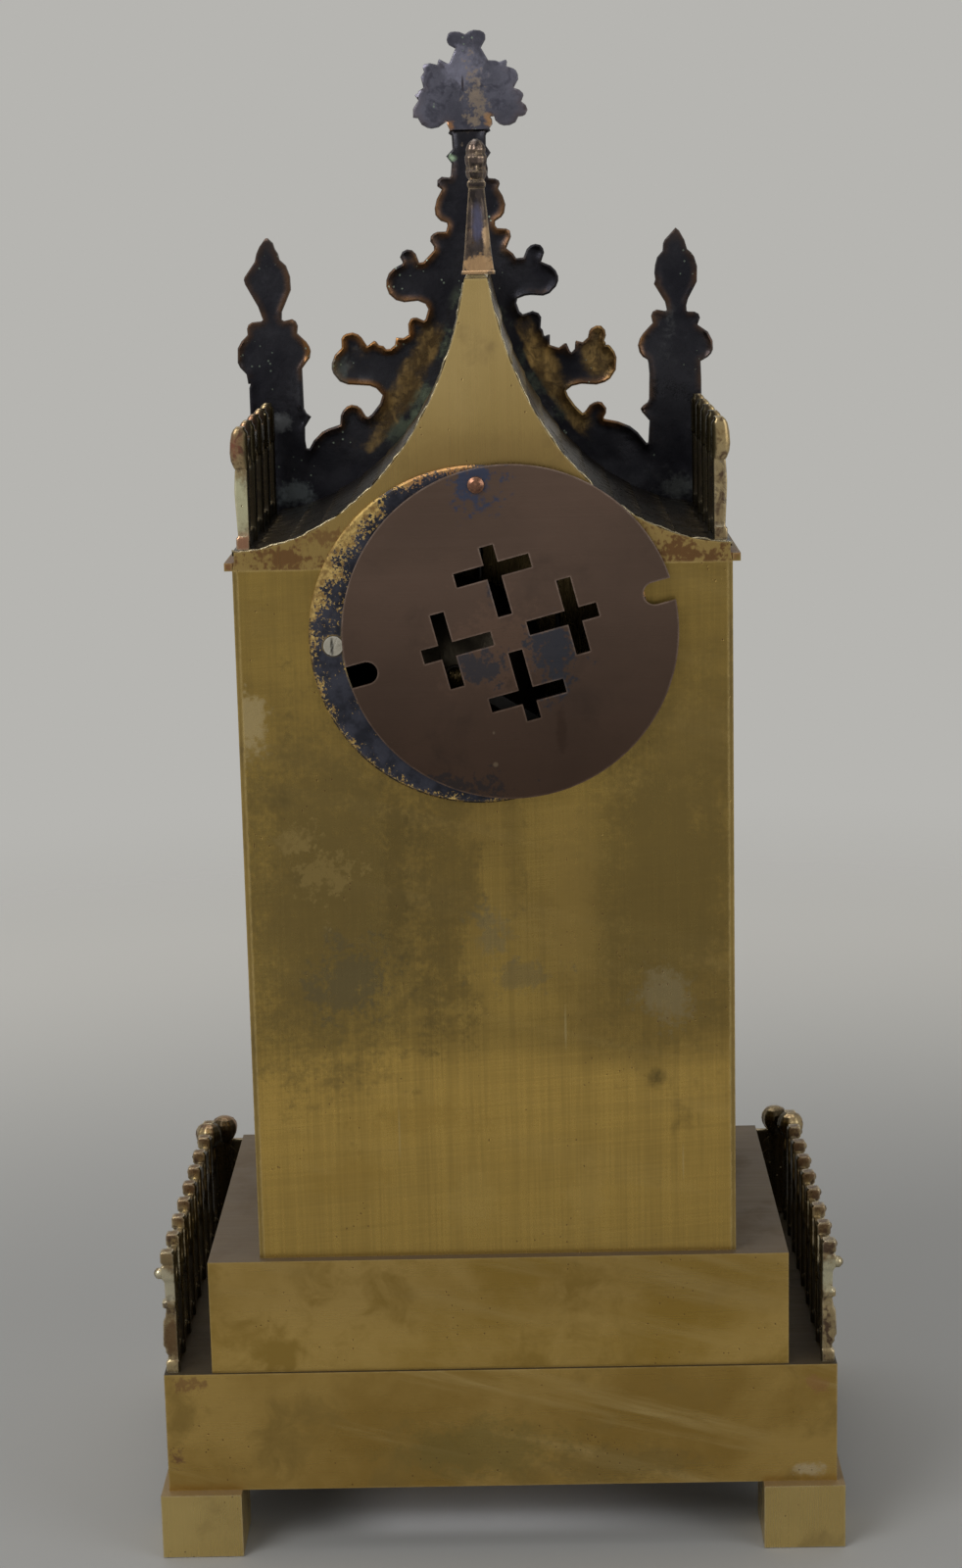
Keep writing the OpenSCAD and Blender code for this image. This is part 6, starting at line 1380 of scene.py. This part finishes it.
@dataclass
class DialMarks:
    """Painted dial: roman numerals on the cartouches and a railway minute track between two rings."""

    face_y: float = -50.2
    plaque_y: float = -50.7
    numeral_r: float = 31.5
    track: tuple[float, float] = (39.6, 41.4)
    paint: float = 0.05
    height: float = 5.4
    thick: float = 0.95
    thin: float = 0.32
    numerals: tuple[str, ...] = ("XII", "I", "II", "III", "IIII", "V", "VI", "VII", "VIII", "IX", "X", "XI")

    def stroke(self, soup: Soup, ends: Sequence[tuple[float, float]], width: float, clock_angle: float,
               radius: float, y: float) -> None:
        """Adds one painted stroke, a thin bar between two points of a numeral's own flat frame.

        Args:
            soup: the mesh that it joins.
            ends: the two ends, right and up from the numeral's middle, seen from the front.
            width: its width.
            clock_angle: the numeral's place round the dial, clockwise from the top.
            radius: the numeral's distance from the centre.
            y: the surface that it is painted on.
        """
        (a, b) = (np.array(end, float) for end in ends)
        along = (b - a) / max(np.hypot(*(b - a)), 1e-9)
        side = np.array([-along[1], along[0]]) * width / 2
        flat = np.array([a - side, b - side, b + side, a + side])
        turn = -clock_angle
        right = flat[:, 0] * math.cos(turn) - (flat[:, 1] + radius) * math.sin(turn)
        up = flat[:, 0] * math.sin(turn) + (flat[:, 1] + radius) * math.cos(turn)
        lower = np.stack([CLOCK.move_x + right, np.full(4, y - self.paint), CLOCK.move_z + up], -1)
        walls = [[(i + 1) % 4, i, i + 4, (i + 1) % 4 + 4] for i in range(4)]
        soup.add(np.vstack([lower, lower + (0.0, self.paint, 0.0)]), [[0, 1, 2, 3], [7, 6, 5, 4], *walls])

    def numeral(self, soup: Soup, text: str, angle: float) -> None:
        """Adds one numeral: thick and thin strokes with serif lines above and below."""
        widths = {"I": 1.7, "V": 4.0, "X": 4.0}
        top = self.height / 2
        x_end = sum(widths[c] for c in text) / 2
        x = -x_end
        strokes = []
        for letter in text:
            w = widths[letter]
            middle = x + w / 2
            if letter == "I":
                strokes += [((middle, -top), (middle, top), self.thick)]
            elif letter == "V":
                strokes += [((middle + 0.1, -top), (x + 0.75, top), self.thick),
                            ((middle + 0.1, -top), (x + w - 0.5, top), self.thin)]
            else:
                strokes += [((x + w - 0.75, -top), (x + 0.75, top), self.thick),
                            ((x + 0.6, -top), (x + w - 0.6, top), self.thin)]
            x += w
        strokes += [((-x_end, level), (x_end, level), self.thin) for level in (-top, top)]
        for start, end, width in strokes:
            self.stroke(soup, (start, end), width, angle, self.numeral_r, self.plaque_y)

    def build(self, paint: Material) -> None:
        """Builds the painted marks and the two rings of the minute track.

        Args:
            paint: the marks' material.
        """
        soup = Soup()
        for hour, text in enumerate(self.numerals):
            self.numeral(soup, text, math.radians(30 * hour))
        inner, outer = self.track
        half, middle = (outer - inner) / 2, (inner + outer) / 2
        for minute in range(60):
            width = 0.9 if minute % 5 == 0 else 0.35
            self.stroke(soup, [(0, -half), (0, half)], width, math.radians(6 * minute), middle, self.face_y)
        for radius in (inner, outer):
            self.hoop(soup, radius, 0.14)
        soup.build("dial_marks", "dark_casting", paint)

    def hoop(self, soup: Soup, radius: float, half: float) -> None:
        """Adds a flat ring on the dial: a rectangle (radius +- half, paint) carried round the circle."""
        angle = np.linspace(0, 2 * np.pi, 120, endpoint=False)[:, None]
        reach = np.array([radius - half, radius + half, radius + half, radius - half])
        rise = np.array([0.0, 0.0, self.paint, self.paint])
        points = np.stack([CLOCK.move_x + reach * np.cos(angle), self.face_y - rise + 0 * angle,
                           CLOCK.move_z + reach * np.sin(angle)], -1)
        soup.grid(points, closed_u=True)


BRIGHT = (0.62, 0.46, 0.19)


def finish_table() -> dict[str, Finish]:
    """All the finishes of the clock, by use."""
    # Cast galleries: the inner tint is painted shade on the faces towards the clock, and the posts behind the nearest
    # one are painted in shade too.
    cast = AgedMetal(
        "cast_gilt", (0.4, 0.31, 0.165), (0.23, 0.165, 0.085), (0.085, 0.052, 0.032), (0.7, 0.64, 0.46),
        painted_shade=(0.01, 0.008, 0.005), scale=60.0, stain_scale=170.0, stain_low=0.45, stain_high=0.62, brush=0.05,
        edge=0.9, rough=0.36, seed=(0.3, 0.1, 0.6), rim=(0.9, (0.8, 0.68, 0.44), 0.4),
        inner=((0.03, 0.024, 0.01), 0.93),
        marks=(
            Mark((77, 14, 366), (9, 80, 9), (0.24, 0.09, 0.055), 0.9, 0.5),
            Mark((75, 66, 348), (6, 9, 11), (0.56, 0.55, 0.36), 0.85, 0.7),
            Mark((75, 66, 336), (6, 9, 4), (0.33, 0.16, 0.1), 0.8, 0.7),
            Mark((-77, 14, 366), (9, 80, 9), (0.38, 0.27, 0.11), 0.5, 0.5),
            Mark((107, 71, 75), (5, 7, 9), (0.15, 0.088, 0.04), 0.85, 1.6),
            Mark((108, 2, 104.6), (8, 90, 3.6), (0.15, 0.085, 0.042), 0.85, 0.5),
            Mark((-108, 2, 104.6), (8, 90, 3.6), (0.15, 0.085, 0.042), 0.8, 0.5),
            Mark((109, 71, 93), (6, 7, 8), (0.62, 0.58, 0.42), 0.7, 0.8),
            Mark((-109, 71, 93), (6, 7, 8), (0.62, 0.6, 0.42), 0.7, 0.8),
            Mark((101, -66, 100), (8, 12, 8), (0.26, 0.15, 0.085), 0.8, 0.6),
            Mark((-101, -66, 100), (8, 12, 8), (0.17, 0.12, 0.06), 0.8, 0.6)))
    return {
        # Case back: the band is a painted reflection of the floor, lighter below 163 mm; it is painted in shade inside
        # the case.
        "back": AgedMetal(
            "case_back_brass", (0.375, 0.252, 0.064), (0.255, 0.17, 0.046), (0.08, 0.058, 0.019), BRIGHT, scale=13.0,
            stain_scale=34.0, seed=(0.31, 0.0, 0.12), dark_inside=True, crossed=0.4, stain_low=0.6,
            band=(0.163, 0.178, (0.47, 0.31, 0.078)), brush=0.68, sweeps=0.1,
            marks=marks(69, 9, [
                (52, 222, 46, 78, 0.15, 0.108, 0.036, 0.66, 0.8), (-56, 222, 42, 64, 0.15, 0.106, 0.032, 0.62, 0.8),
                (14, 224, 13, 62, 0.135, 0.095, 0.03, 0.5, 1.2), (-26, 226, 12, 56, 0.33, 0.222, 0.062, 0.45, 1.0),
                (-64, 262, 26, 44, 0.18, 0.125, 0.038, 0.5, 0.9), (-10, 196, 16, 6, 0.14, 0.12, 0.07, 0.4, 1.6),
                (46, 196, 14, 14, 0.11, 0.095, 0.055, 0.5, 1.8), (0, 208, 10, 10, 0.16, 0.15, 0.1, 0.35, 1.6),
                (74, 279, 7, 14, 0.46, 0.36, 0.18, 0.7, 1.2), (-56, 187, 12, 12, 0.34, 0.29, 0.18, 0.32, 1.2),
                (56, 231, 10, 11, 0.3, 0.215, 0.075, 0.5, 3.0), (62, 240, 10, 5, 0.28, 0.2, 0.07, 0.4, 3.0),
                (30, 236, 5, 40, 0.1, 0.07, 0.022, 0.3, 1.2), (-8, 240, 4, 34, 0.11, 0.078, 0.026, 0.25, 1.2),
                (24, 148, 30, 7, 0.34, 0.215, 0.048, 0.4, 1.4), (48, 128, 16, 8, 0.34, 0.215, 0.046, 0.35, 1.4),
                (-30, 122, 9, 14, 0.48, 0.33, 0.1, 0.3, 1.2), (8, 120, 10, 12, 0.47, 0.33, 0.1, 0.25, 1.2),
                (-23.5, 178, 0.5, 9, 0.46, 0.38, 0.2, 0.35, 0.3), (31, 143, 0.4, 12, 0.5, 0.4, 0.2, 0.3, 0.2),
                (-61, 132, 0.4, 8, 0.5, 0.4, 0.2, 0.3, 0.2)])),
        # Gable: darker towards the bottom, and at the first mark, as painted shade; the other marks are rust along the
        # eave.
        "gable": AgedMetal(
            "gable_brass", (0.54, 0.395, 0.165), (0.46, 0.33, 0.125), (0.31, 0.22, 0.09), (0.75, 0.6, 0.3),
            seed=(0.8, 0.0, 0.3), stain_low=0.56, dark_inside=True, height_darkening=(345, 400, (0.64, 0.6, 0.5)),
            marks=marks(69, 9, [
                (0, 358, 44, 16, 0.36, 0.25, 0.1, 0.6, 0.4), (64, 331, 16, 4.0, 0.2, 0.085, 0.045, 0.75, 3.2),
                (-60, 331.5, 20, 4.6, 0.19, 0.08, 0.042, 0.8, 3.2), (48, 337, 9, 3.4, 0.24, 0.11, 0.06, 0.6, 3.2),
                (-44, 337, 9, 3.4, 0.24, 0.11, 0.06, 0.6, 3.2)])),
        # Case sides: painted in shade inside the case; their top faces take dust.
        "walls": AgedMetal(
            "case_side_brass", (0.32, 0.22, 0.065), (0.23, 0.16, 0.05), (0.15, 0.105, 0.04), BRIGHT,
            seed=(0.1, 0.7, 0.0), dark_inside=True, dust_and_shade=((0.1, 0.065, 0.04), 0.8),
            marks=marks(62, 14, [
                (76, 330, 8, 3, 0.26, 0.11, 0.06, 0.8, 0.9), (-76, 330, 8, 3, 0.26, 0.11, 0.06, 0.8, 0.9)])),
        # Upper plinth: its top faces take dust and painted shade, and it is darker towards its top.
        "upper": AgedMetal(
            "upper_plinth_brass", (0.52, 0.35, 0.105), (0.37, 0.232, 0.045), (0.31, 0.2, 0.045), BRIGHT,
            seed=(0.5, 0.2, 0.9), dust_and_shade=((0.062, 0.047, 0.037), 0.95), scale=19.0, stain_scale=44.0, stain_low=0.47,
            stain_high=0.66, crossed=0.4, height_darkening=(92, 70, (0.86, 0.86, 0.9)), level=True, brush=0.34, sweeps=0.36),
        # Lower plinth: the near-black tone of its top faces is painted shade in the recess behind the galleries.
        "lower": AgedMetal(
            "lower_plinth_brass", (0.49, 0.325, 0.095), (0.335, 0.208, 0.048), (0.28, 0.185, 0.05), BRIGHT,
            seed=(0.2, 0.6, 0.4), dust_and_shade=((0.008, 0.006, 0.005), 0.98), stain_scale=46.0, stain_low=0.47,
            stain_high=0.66, crossed=0.4, level=True, brush=0.36, sweeps=0.75, scale=17.0,
            marks=marks(74, 9, [
                (8, 35, 34, 14, 0.23, 0.175, 0.052, 0.6, 0.8), (-40, 28, 34, 9, 0.25, 0.175, 0.055, 0.55, 0.9),
                (-101, 26, 7, 3, 0.62, 0.52, 0.34, 0.6, 0.9), (103, 59.5, 6, 3, 0.2, 0.095, 0.045, 0.6, 2.0),
                (108, 33, 3, 4, 0.15, 0.065, 0.045, 0.7, 2.0), (-104, 56, 5, 5, 0.36, 0.18, 0.075, 0.5, 1.4)])),
        "feet": AgedMetal(
            "foot_brass", (0.6, 0.45, 0.17), (0.52, 0.38, 0.14), (0.33, 0.235, 0.09), (0.72, 0.6, 0.36),
            seed=(0.9, 0.1, 0.2), brush=0.25, dust_and_shade=((0.1, 0.065, 0.04), 0.8)),
        # Cover: the darkening towards the bottom is a painted sheen gradient, the top painted as catching the light.
        "cover": AgedMetal(
            "cover_brown", (0.118, 0.075, 0.055), (0.094, 0.06, 0.044), (0.066, 0.042, 0.031), (0.4, 0.3, 0.25),
            metal=0.7, rough=0.42, brush=0.2, edge=0.8, pit_size=0.05, seed=(0.4, 0.4, 0.0),
            height_darkening=(255, 345, (0.44, 0.38, 0.33)), dark_inside=True, level=True,
            marks=marks(73, 9, [
                (1.0, 353.4, 9.2, 8.2, 0.04, 0.05, 0.09, 0.95, 2.2), (-5, 301, 22, 19, 0.165, 0.1, 0.07, 0.5, 1.4),
                (-21.7, 299, 8.5, 11, 0.03, 0.04, 0.06, 0.85, 2.6), (1.5, 297.5, 8, 7, 0.034, 0.042, 0.06, 0.8, 2.8),
                (-2.5, 320, 1.8, 5, 0.03, 0.034, 0.05, 0.8, 1.8), (6, 259, 13, 4.5, 0.032, 0.036, 0.05, 0.7, 2.6),
                (-24, 276, 2.2, 9, 0.05, 0.026, 0.016, 0.5, 0.7), (-2.9, 265.5, 1.0, 1.0, 0.3, 0.25, 0.18, 0.7, 0.4),
                (-2.5, 275.6, 0.6, 0.8, 0.28, 0.23, 0.17, 0.6, 0.4)])),
        "ring": WornRing("ring_lacquer"),
        "rivet": AgedMetal(
            "rivet_copper", (0.26, 0.125, 0.075), (0.15, 0.075, 0.05), (0.045, 0.028, 0.024), (0.6, 0.34, 0.22),
            scale=300.0, stain_scale=520.0, rough=0.4, brush=0.0, edge=0.6, seed=(0.1, 0.1, 0.9)),
        "casting": OldCasting(
            "dark_casting",
            marks=(
                # The first mark is more of the fleuron's painted bluish sheen.
                Mark((4, -45, 483), (9, 5, 8), (0.25, 0.25, 0.33), 0.55, 1.2),
                Mark((0.4, -45, 473), (3.6, 5, 11), (0.32, 0.25, 0.18), 0.6, 2.8),
                Mark((4.4, -45, 478), (0.55, 5, 3.6), (0.025, 0.02, 0.025), 0.85, 0.5),
                Mark((9.2, -45, 464.5), (2.4, 5, 2.4), (0.4, 0.2, 0.09), 0.8, 0.9),
                Mark((-4.5, -45, 465.5), (2.6, 5, 3.4), (0.42, 0.24, 0.11), 0.8, 0.9),
                Mark((8.5, -45, 453.5), (2.0, 6, 1.6), (0.22, 0.3, 0.2), 0.8, 0.7),
                Mark((50, -45, 383), (6, 6, 8), (0.1, 0.115, 0.11), 0.7, 0.9),
                Mark((71, -45, 365), (5, 6, 4), (0.16, 0.17, 0.18), 0.7, 0.9),
                Mark((66.8, -45, 339.5), (8, 6, 6), (0.13, 0.15, 0.16), 0.75, 0.9),
                Mark((-68.7, -45, 340), (9, 6, 6), (0.11, 0.12, 0.12), 0.7, 0.9))),
        "gilt": AgedMetal(
            "gilt_front", (0.55, 0.39, 0.145), (0.44, 0.3, 0.1), (0.2, 0.13, 0.045), (0.85, 0.66, 0.32), rough=0.3,
            stain_low=0.58, brush=0.05, seed=(0.15, 0.3, 0.2)),
        "cast": cast,
        # Front gallery: its back, which faces the clock, is painted in shade.
        "fret": replace(
            cast, name="front_gallery_gilt", inner=((0.035, 0.026, 0.012), 0.93), inner_axis=1,
            marks=marks(-69, 12, [
                (103, 100, 8, 7, 0.26, 0.14, 0.075, 0.85, 0.6), (-103, 100, 8, 7, 0.17, 0.115, 0.06, 0.85, 0.6)])),
        # Roof: darker towards the foot as painted shade; the bright tint on the scale lips is a painted highlight.
        "roof": AgedMetal(
            "roof_scales", (0.2, 0.15, 0.085), (0.115, 0.088, 0.052), (0.035, 0.027, 0.018), (0.5, 0.4, 0.2),
            scale=40.0, stain_scale=110.0, stain_low=0.45, stain_high=0.64, brush=0.05, edge=0.5, rough=0.4,
            seed=(0.3, 0.5, 0.6), rim=(0.9, (0.62, 0.5, 0.27), 0.8), height_darkening=(346, 396, (0.1, 0.09, 0.08))),
        "solder": AgedMetal(
            "old_solder", (0.26, 0.21, 0.12), (0.14, 0.11, 0.06), (0.06, 0.045, 0.03), (0.66, 0.6, 0.42), scale=90.0,
            stain_scale=200.0, stain_low=0.45, stain_high=0.62, brush=0.0, rough=0.36, seed=(0.9, 0.5, 0.1)),
        "finial": AgedMetal(
            "finial_gilt", (0.135, 0.098, 0.078), (0.062, 0.05, 0.048), (0.026, 0.021, 0.02), (0.55, 0.42, 0.27),
            scale=90.0, stain_scale=160.0, stain_low=0.45, stain_high=0.62, brush=0.05, rough=0.38,
            seed=(0.7, 0.1, 0.6),
            marks=(
                Mark((-0.8, 68, 433), (2.2, 5, 8), (0.11, 0.11, 0.18), 0.9, 0.4),
                Mark((-0.8, 69, 419.5), (6.5, 9, 3.4), (0.58, 0.36, 0.18), 0.7, 1.9),
                Mark((-3.5, 69, 428), (1.4, 9, 8), (0.5, 0.34, 0.19), 0.6, 1.2))),
        # Movement brass: dark as aged brass, and darker still as painted shade inside the case.
        "works": AgedMetal(
            "movement_brass", (0.15, 0.105, 0.042), (0.1, 0.07, 0.028), (0.05, 0.035, 0.016), (0.42, 0.31, 0.15),
            rough=0.36, seed=(0.2, 0.2, 0.2), stain_low=0.55),
        # Bell: painted dark as shade inside the case.
        "bell": AgedMetal(
            "bell_metal", (0.075, 0.062, 0.042), (0.05, 0.042, 0.03), (0.03, 0.024, 0.018), (0.24, 0.2, 0.14),
            rough=0.42, seed=(0.4, 0.2, 0.5)),
        "steel": PlainFinish("steel", (0.42, 0.42, 0.44), (0.27, 0.26, 0.26), 0.3, 1.0),
        "nickel": AgedMetal(
            "nickel", (0.55, 0.52, 0.44), (0.42, 0.39, 0.32), (0.16, 0.14, 0.11), (0.8, 0.77, 0.7), scale=150.0,
            stain_scale=300.0, stain_low=0.55, brush=0.1, rough=0.3,
            marks=marks(71, 9, [
                (47.5, 303.5, 0.75, 4.2, 0.03, 0.026, 0.02, 0.95, 0.1),
                (-44.7, 308.5, 0.75, 4.2, 0.03, 0.026, 0.02, 0.95, 0.1)])),
        # Movement steel: dark as old steel, and darker still as painted shade inside the case.
        "shaded_old_steel": PlainFinish("shaded_old_steel", (0.12, 0.115, 0.11), (0.06, 0.055, 0.05), 0.38, 1.0),
        "blued": PlainFinish("blued_steel", (0.02, 0.035, 0.12), (0.015, 0.02, 0.06), 0.18, 0.8),
        "enamel": PlainFinish("enamel", (0.86, 0.83, 0.75), (0.8, 0.76, 0.66), 0.12, 0.0, 0.6),
        "ink": PlainFinish("dial_ink", (0.015, 0.015, 0.02), (0.03, 0.03, 0.035), 0.25),
        "glass": PlainFinish("glass", (0.97, 0.985, 0.98), (0.97, 0.985, 0.98), 0.02, 0.0, 0.0, 1.0),
    }


def build_finishes(effects: Effects) -> dict[str, Material]:
    """Builds every finish.

    Args:
        effects: the shared node groups.

    Returns:
        The materials by use.
    """
    looks = {}
    for use, finish in finish_table().items():
        looks[use] = finish.build(effects)
        log.info("finish %s", finish.name)
    return looks


# ---------------------------------------------------------------- studio


@dataclass(frozen=True)
class Camera:
    """The photograph's camera, in the frame of the clock."""

    place: Place = (-0.01077, 0.94981, 0.44052)
    turn: Place = (78.3204, 1.2873, -179.4412)
    lens: float = 65.303
    sensor: float = 36.0
    nearest: float = 0.01

    def build(self) -> None:
        """Makes the camera the scene's own."""
        data = bpy.data.cameras.new("camera")
        data.lens = self.lens
        data.sensor_width = self.sensor
        data.clip_start = self.nearest
        eye = link("camera", data)
        eye.location = self.place
        eye.rotation_euler = tuple(math.radians(v) for v in self.turn)
        bpy.context.scene.camera = eye


@dataclass(frozen=True)
class Lamp:
    """One soft square lamp: where it hangs, the point that it faces, its side in metres and its power in watts."""

    name: str
    place: Place
    aim: Place
    size: float
    power: float
    colour: Colour = (1.0, 0.985, 0.96)

    def build(self) -> None:
        """Hangs the lamp."""
        data = bpy.data.lights.new(self.name, "AREA")
        data.size, data.energy, data.color = self.size, self.power, self.colour
        lamp = link(self.name, data)
        lamp.location = self.place
        lamp.rotation_euler = (Vector(self.aim) - Vector(self.place)).to_track_quat("-Z", "Y").to_euler()


@dataclass(frozen=True)
class Studio:
    """A pale floor that melts into a plain surround, and three soft lamps."""

    reach: float = 3.2
    sunk: float = 0.0002
    near: Colour = (0.234, 0.236, 0.233)
    far: Colour = (0.44, 0.435, 0.415)
    under_light: Colour = (0.86, 0.88, 0.92)
    backdrop: Colour = (0.468, 0.462, 0.440)
    light: Colour = (1.0, 0.99, 0.97)
    surround: float = 0.42
    shade: tuple[float, float] = (0.22, 0.8)
    melt: tuple[float, float] = (0.62, 1.15)
    lamps: tuple[Lamp, ...] = (Lamp("key", (0.95, 1.05, 1.25), (0.0, 0.0, 0.25), 0.9, 17.0),
                               Lamp("fill", (-1.3, 0.9, 0.8), (0.0, 0.0, 0.25), 1.0, 8.0),
                               Lamp("top", (0.2, -0.3, 1.6), (0.0, -0.2, 0.1), 1.2, 12.0))

    def floor(self) -> bpy.types.Object:
        """The floor: rings of radius R*(k/n)^1.5 round the clock, 0.2 mm below its feet."""
        rows, cols = 40, 96
        radius = self.reach * (np.arange(1, rows + 1) / rows) ** 1.5
        angle = np.linspace(0, 2 * np.pi, cols, endpoint=False)
        points = np.stack([radius[:, None] * np.cos(angle), radius[:, None] * np.sin(angle),
                           np.full((rows, cols), -self.sunk)], -1)
        index = np.arange(rows * cols).reshape(rows, cols)
        quads = np.stack([index[:-1], index[1:], np.roll(index[1:], -1, 1), np.roll(index[:-1], -1, 1)], -1)
        mesh = bpy.data.meshes.new("studio_floor")
        mesh.from_pydata(points.reshape(-1, 3).tolist(), [], quads.reshape(-1, 4).tolist() + [index[0].tolist()])
        return link("studio_floor", mesh)

    def paint(self) -> Material:
        """The floor's paint: darker round the clock, lit below it, and clear far away.

        Returns:
            The new material.
        """
        paint, g, here = start_material("studio_paint")
        away = g.vector("LENGTH", here, output="Value")
        x, y, _ = g.split(here)
        tone = g.mix(g.ramp(away, *self.shade), self.near, self.far)
        # Painted pool of light under the clock's base, lifting its shadow.
        tone = g.over(tone, self.under_light, g.ramp(x, 0.066, 0.030), g.ramp(x, -0.09, 0.005),
                      g.ramp(g.math("ABSOLUTE", y), 0.067, 0.047))
        solid = g.out("BsdfPrincipled", in_Base_Color=tone, in_Roughness=0.9)
        joined = g.either(g.ramp(away, *self.melt), solid, g.out("BsdfTransparent"))
        g.feed(g.add("OutputMaterial").inputs[0], joined)
        return paint

    def build(self) -> None:
        """Builds the floor, its paint, the surround and the lamps."""
        piece = self.floor()
        piece.data.materials.append(self.paint())
        world = bpy.data.worlds.new("surround")
        world.use_nodes = True
        g = Graph(world.node_tree)
        soft = g.out("Background", in_Color=self.light, in_Strength=self.surround)
        seen = g.out("Background", in_Color=self.backdrop, in_Strength=1.0)
        rays = g.add("LightPath").outputs
        glass = g.math("MAXIMUM", rays["Is Glossy Ray"], rays["Is Transmission Ray"])
        joined = g.either(g.math("MAXIMUM", rays["Is Camera Ray"], glass), soft, seen)
        g.feed(g.add("OutputWorld").inputs[0], joined)
        bpy.context.scene.world = world
        for lamp in self.lamps:
            lamp.build()


PLAN = {
    "back": ["case_back"],
    "gable": ["gable_plate"],
    "walls": ["case_sides", "eave_cornices"],
    "upper": ["upper_plinth"],
    "lower": ["lower_plinth"],
    "feet": ["feet"],
    "cover": ["rear_cover"],
    "ring": ["rear_ring"],
    "rivet": ["cover_rivet"],
    "casting": ["facade"],
    "gilt": ["facade_tracery", "facade_piers", "front_ring", "bezel_frame"],
    "cast": ["base_side_galleries", "base_front_gallery", "roof_galleries"],
    "roof": ["roof_left", "roof_right", "ridge_strip"],
    "finial": ["ridge_finial"],
    "works": ["tie_nuts", "movement_straps", "hand_nut", "front_plate", "back_plate", "pillars", "spring_barrels",
              "cannon_pinion", "minute_wheel", "hour_wheel", "intermediate_wheel", "centre_wheel", "third_wheel",
              "escape_wheel", "strike_wheels", "back_cock", "pendulum_bob", "rating_nut", "count_wheel", "bell_nut"],
    "bell": ["bell"],
    "steel": ["foot_screws", "bezel_pin"],
    "nickel": ["ring_screws"],
    "shaded_old_steel": ["tie_rods", "going_arbor", "strike_arbor", "winding_clicks", "anchor", "suspension_spring",
                  "pendulum_rod", "hammer", "bell_stand"],
    "blued": ["hour_hand", "minute_hand"],
    "enamel": ["dial"],
    "glass": ["dial_glass"],
}


def main() -> None:
    """Loads the frame and builds everything over it, in order."""
    logging.basicConfig(level=logging.INFO, format="%(name)s: %(message)s")
    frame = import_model()
    looks = build_finishes(Effects())
    for use, names in PLAN.items():
        dress(frame["nodes"], names, looks[use])
    Facade().build(looks["casting"])
    roof = Roof()
    roof.build(looks["roof"])
    roof.seam(looks["solder"])
    Galleries().build(looks["cast"], looks["fret"])
    Finial().build(looks["finial"])
    DialMarks().build(looks["ink"])
    Studio().build()
    Camera().build()
    bpy.context.scene.view_settings.view_transform = "Standard"
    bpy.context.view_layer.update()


if __name__ == "__main__":
    main()
